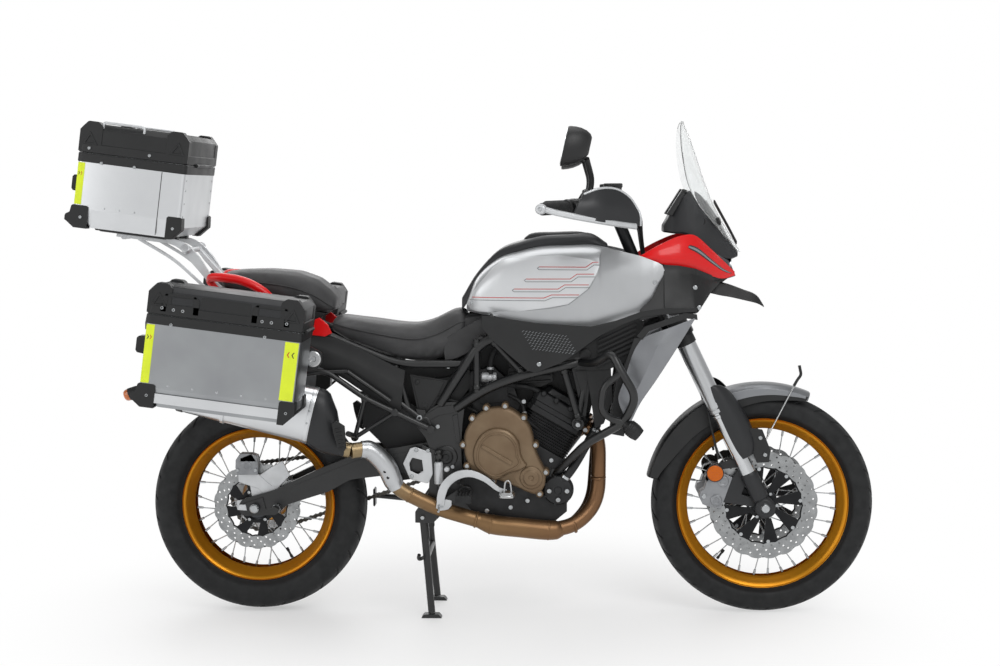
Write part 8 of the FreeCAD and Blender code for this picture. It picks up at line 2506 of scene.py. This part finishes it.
# %% [markdown]
# ## Rear caliper and orange reflectors
# The rear caliper sits on top of the disc, on a thin bracket that runs back to the axle. The orange
# reflectors on the fork legs are required on the road and catch the eye, so they get a prism field.

# %% Rear caliper and reflectors
def at_rear(points):
    """An outline measured from the rear axle."""
    return [(x + REAR_X, z + REAR_Z) for x, z in points]


jaw = [(-54, 98), (8, 98), (10, 130), (6, 154), (-10, 160), (-44, 161), (-57, 142), (-58, 120)]
halves = [cut_plate(at_rear(jaw), -112, -85), cut_plate(at_rear(jaw), -71, -68.5),
          cut_plate(at_rear([(-44, 137), (4, 137), (6, 154), (-10, 160), (-44, 161)]), -112, -69)]
halves += [turned([(0, 17), (6, 17), (8, 14), (8, 8), (6, 7), (6, 0.1)], (REAR_X - 24, -105, REAR_Z + 124),
                  (REAR_X - 24, -112.4, REAR_Z + 124), 28)]
arm = [cut_plate(at_rear([(-52, 98), (8, 98), (30, 78), (88, 28), (58, 14), (20, 40), (8, 54), (-52, 74)]),
                 -98, -90)]
piece("rear_caliper_cast", halves, FINISH["grey_cast_aluminium"], "root", "rear_caliper",
      edge=1.6, smooth=36)
arm.append(cut_plate([(-706, 317), (-706, 344), (-660, 352), (-668, 400), (-606, 442), (-568, 464),
                      (-546, 420), (-588, 376), (-580, 340), (-630, 309)], -96, -89))
piece("rear_caliper_bracket", arm, FINISH["silver_cast_paint"], edge=1.6)
pins = repeated(cap_bolt(5.5, 4.0), [(REAR_X + x, -111.6, REAR_Z + 112) for x in (-52, 2)])
piece("rear_caliper_bolts", [pins], zinc)
amber, holders = [], []
for s in (-1.0, 1.0):
    holders.append(turned([(0, 23), (3, 26), (6, 26), (7, 23)], (711, s * 101, 430),
                          (711, s * 108, 430), 36))
    holders.append(cut_plate([(722, 440), (726, 458), (752, 470), (786, 470), (786, 448)],
                             *sorted((s * 99.0, s * 102.0))))
    amber.append(turned([(0, 23.4), (2, 23.4), (3, 21.5), (3, 0.1)], (711, s * 107, 430),
                        (711, s * 110, 430), 36))
piece("reflector_holders", holders, black, "steering", edge=0.5)
piece("orange_reflectors", amber, FINISH["orange_reflector"], "steering", edge=0.4)
print("reflectors", len(amber))

# %% [markdown]
# ## What fills the frame
# Behind the open frame lie the airbox, its ducts, the throttle bodies and a tangle of hoses. They are
# seen only through the triangles of the frame, so they are plain forms, but none is left out.

# %% Airbox ducts, hoses and throttle bodies
lining = cut_plate([(-222, 742), (-60, 752), (16, 800), (60, 846), (330, 856), (368, 780), (368, 705),
                    (345, 600), (262, 470), (212, 430), (100, 560), (40, 540), (-30, 540), (-96, 552),
                    (-182, 572)], 26, 32)
boxes = [cut_plate([(94, 676), (200, 682), (236, 700), (228, 766), (112, 782)], 40, 78),
         cut_plate([(-150, 700), (-70, 712), (-20, 760), (0, 690), (-60, 620), (-120, 610)], 30, 76),
         cut_plate([(240, 770), (340, 800), (352, 850), (90, 846), (96, 796)], 30, 96)]
ridges = [cut_plate([(104, z), (228, z + 8), (228, z + 14), (104, z + 6)], 76, 84)
          for z in np.arange(690, 764, 15.0)]
fender = cut_plate([(-338, 668), (-222, 648), (-120, 600), (-104, 520), (-190, 498), (-262, 498),
                    (-330, 566)], 56, 62)
piece("inner_fender_moulded", pair([fender]), black, edge=1.5)
forging = [cut_plate([(-142, 604), (-102, 628), (-60, 634), (-40, 620), (-60, 610), (-98, 604),
                      (-128, 588)], 123, 127),
           cut_plate([(-60, 602), (-45, 608), (-36, 524), (-49, 520)], 123, 127),
           turned([(0, 21), (3, 21), (5, 18), (5, 12), (3, 11), (3, 0.1)], (-144, 123, 580),
                  (-144, 130, 580), 32)]
piece("pivot_forging_ribs", pair(forging), coat, edge=1.5)
piece("pivot_forging_bolts", pair([repeated(cap_bolt(6.5, 4.0), [(-103, -124, 570), (-72, -112, 746)])]),
      zinc)
piece("airbox_ducts_moulded", pair([lining] + boxes + ridges), black, edge=1.2)
runs = [([(-60, 100, 620), (6, 106, 676), (86, 106, 694), (176, 98, 684), (236, 84, 640)], 30.0, 7.0),
        ([(50, 92, 716), (52, 94, 770), (84, 88, 826)], 24.0, 9.0),
        ([(104, 90, 660), (146, 104, 640), (152, 106, 590), (196, 96, 556)], 26.0, 5.5),
        ([(230, 92, 790), (262, 104, 742), (300, 100, 728), (330, 84, 700)], 26.0, 6.0),
        ([(-130, 96, 690), (-90, 104, 650), (-40, 104, 640), (10, 98, 610)], 26.0, 5.0)]
piece("coolant_hoses", pair([tube(bent(line, bend, 7), r, 14) for line, bend, r in runs]),
      FINISH["soft_grip_rubber"], smooth=50)
bands = [turned([(0, r + 1.2), (7, r + 1.2)], a, b, 18) for a, b, r in
         (((44, 106, 688), (54, 106, 690), 7.0), ((51, 92, 736), (51, 92, 746), 9.0),
          ((150, 105, 612), (151, 105, 602), 5.5), ((268, 103, 740), (276, 103, 737), 6.0))]
bodies = [turned([(0, 10), (3, 15), (22, 15), (24, 11), (34, 11), (36, 15), (44, 15), (46, 9)],
                 (24, 96, 712), (72, 96, 712), 24),
          turned([(0, 8), (14, 8), (15, 5)], (48, 98, 712), (48, 112, 712), 16)]
piece("throttle_bodies_cast", pair(bodies + bands), FINISH["silver_cast_paint"],
      edge=0.5, smooth=36)
back = cut_plate([(262, 764), (308, 792), (370, 836), (436, 874), (494, 896), (502, 840), (470, 770),
                  (400, 742), (352, 738), (300, 742)], 146, 150)
slats = [cut_plate([(366, z), (478, z + 52), (478, z + 60), (366, z + 8)], 149, 160)
         for z in np.arange(748, 832, 14.0)]
gusset = [cut_plate([(290, 744), (350, 750), (332, 604), (322, 604)], 136, 141),
          cut_plate([(300, 734), (340, 739), (328, 640)], 140, 144),
          turned([(0, 17), (5, 17), (7, 12), (7, 6)], (330, 149, 786), (330, 159, 786), 24)]
core_side = cut_plate([(330, 748), (404, 746), (410, 654), (384, 582), (358, 568), (346, 654)], 138, 145)
trim = cut_plate([(476, 844), (498, 870), (612, 910), (648, 906), (650, 890), (620, 894), (512, 858),
                  (491, 833)], 216, 226)
trim_foot = cut_plate([(436, 744), (470, 838), (492, 838), (450, 734)], 214, 222)
piece("radiator_side_louvres", pair([back, core_side, trim, trim_foot] + slats + gusset), black,
      edge=0.8)
print("slats on each side", len(slats))

# %% [markdown]
# The passenger's pegs hang on a small truss of thin tubes outside the tail panel, folded up.

# %% Passenger peg hangers
truss = [tube(bent([(-504, 150, 728), (-428, 150, 737), (-314, 150, 657), (-118, 146, 563)], 26.0, 6),
              8.5, 16),
         tube([(-366, 148, 736), (-240, 147, 648)], 7.0, 14),
         tube([(-314, 150, 657), (-345, 150, 541)], 6.5, 14),
         tube([(-227, 148, 615), (-345, 150, 541)], 6.5, 14),
         tube([(-440, 150, 733), (-366, 148, 735)], 6.0, 14)]
knots = [turned([(0, 11), (12, 11), (13, 8)], (x, 144, z), (x, 158, z), 20)
         for x, z in ((-314, 657), (-345, 541), (-227, 615), (-122, 565))]
piece("passenger_peg_hangers", pair(truss + knots + [tube([(-345, 150, 545), (-352, 256, 566)], 8.0, 16)]),
      coat, edge=0.8, smooth=50)
peg = [cut_plate([(-362, 588), (-386, 604), (-398, 596), (-394, 572), (-380, 520), (-366, 512),
                  (-358, 524)], 250, 268)]
peg += [cut_plate([(x, z), (x + 15, z + 3), (x + 15, z + 7), (x, z + 4)], 249, 271)
        for x, z in zip(np.linspace(-388, -377, 6), np.linspace(578, 524, 6))]
piece("passenger_pegs_folded", pair(peg), black, edge=0.8)
foot = cut_plate([(-470, 840), (-462, 886), (-448, 892), (-424, 872), (-412, 846), (-432, 836)], 122, 131)
piece("grab_rail_feet", pair([foot]), FINISH["gloss_red_paint"], edge=2.0)
print("peg hangers ready")
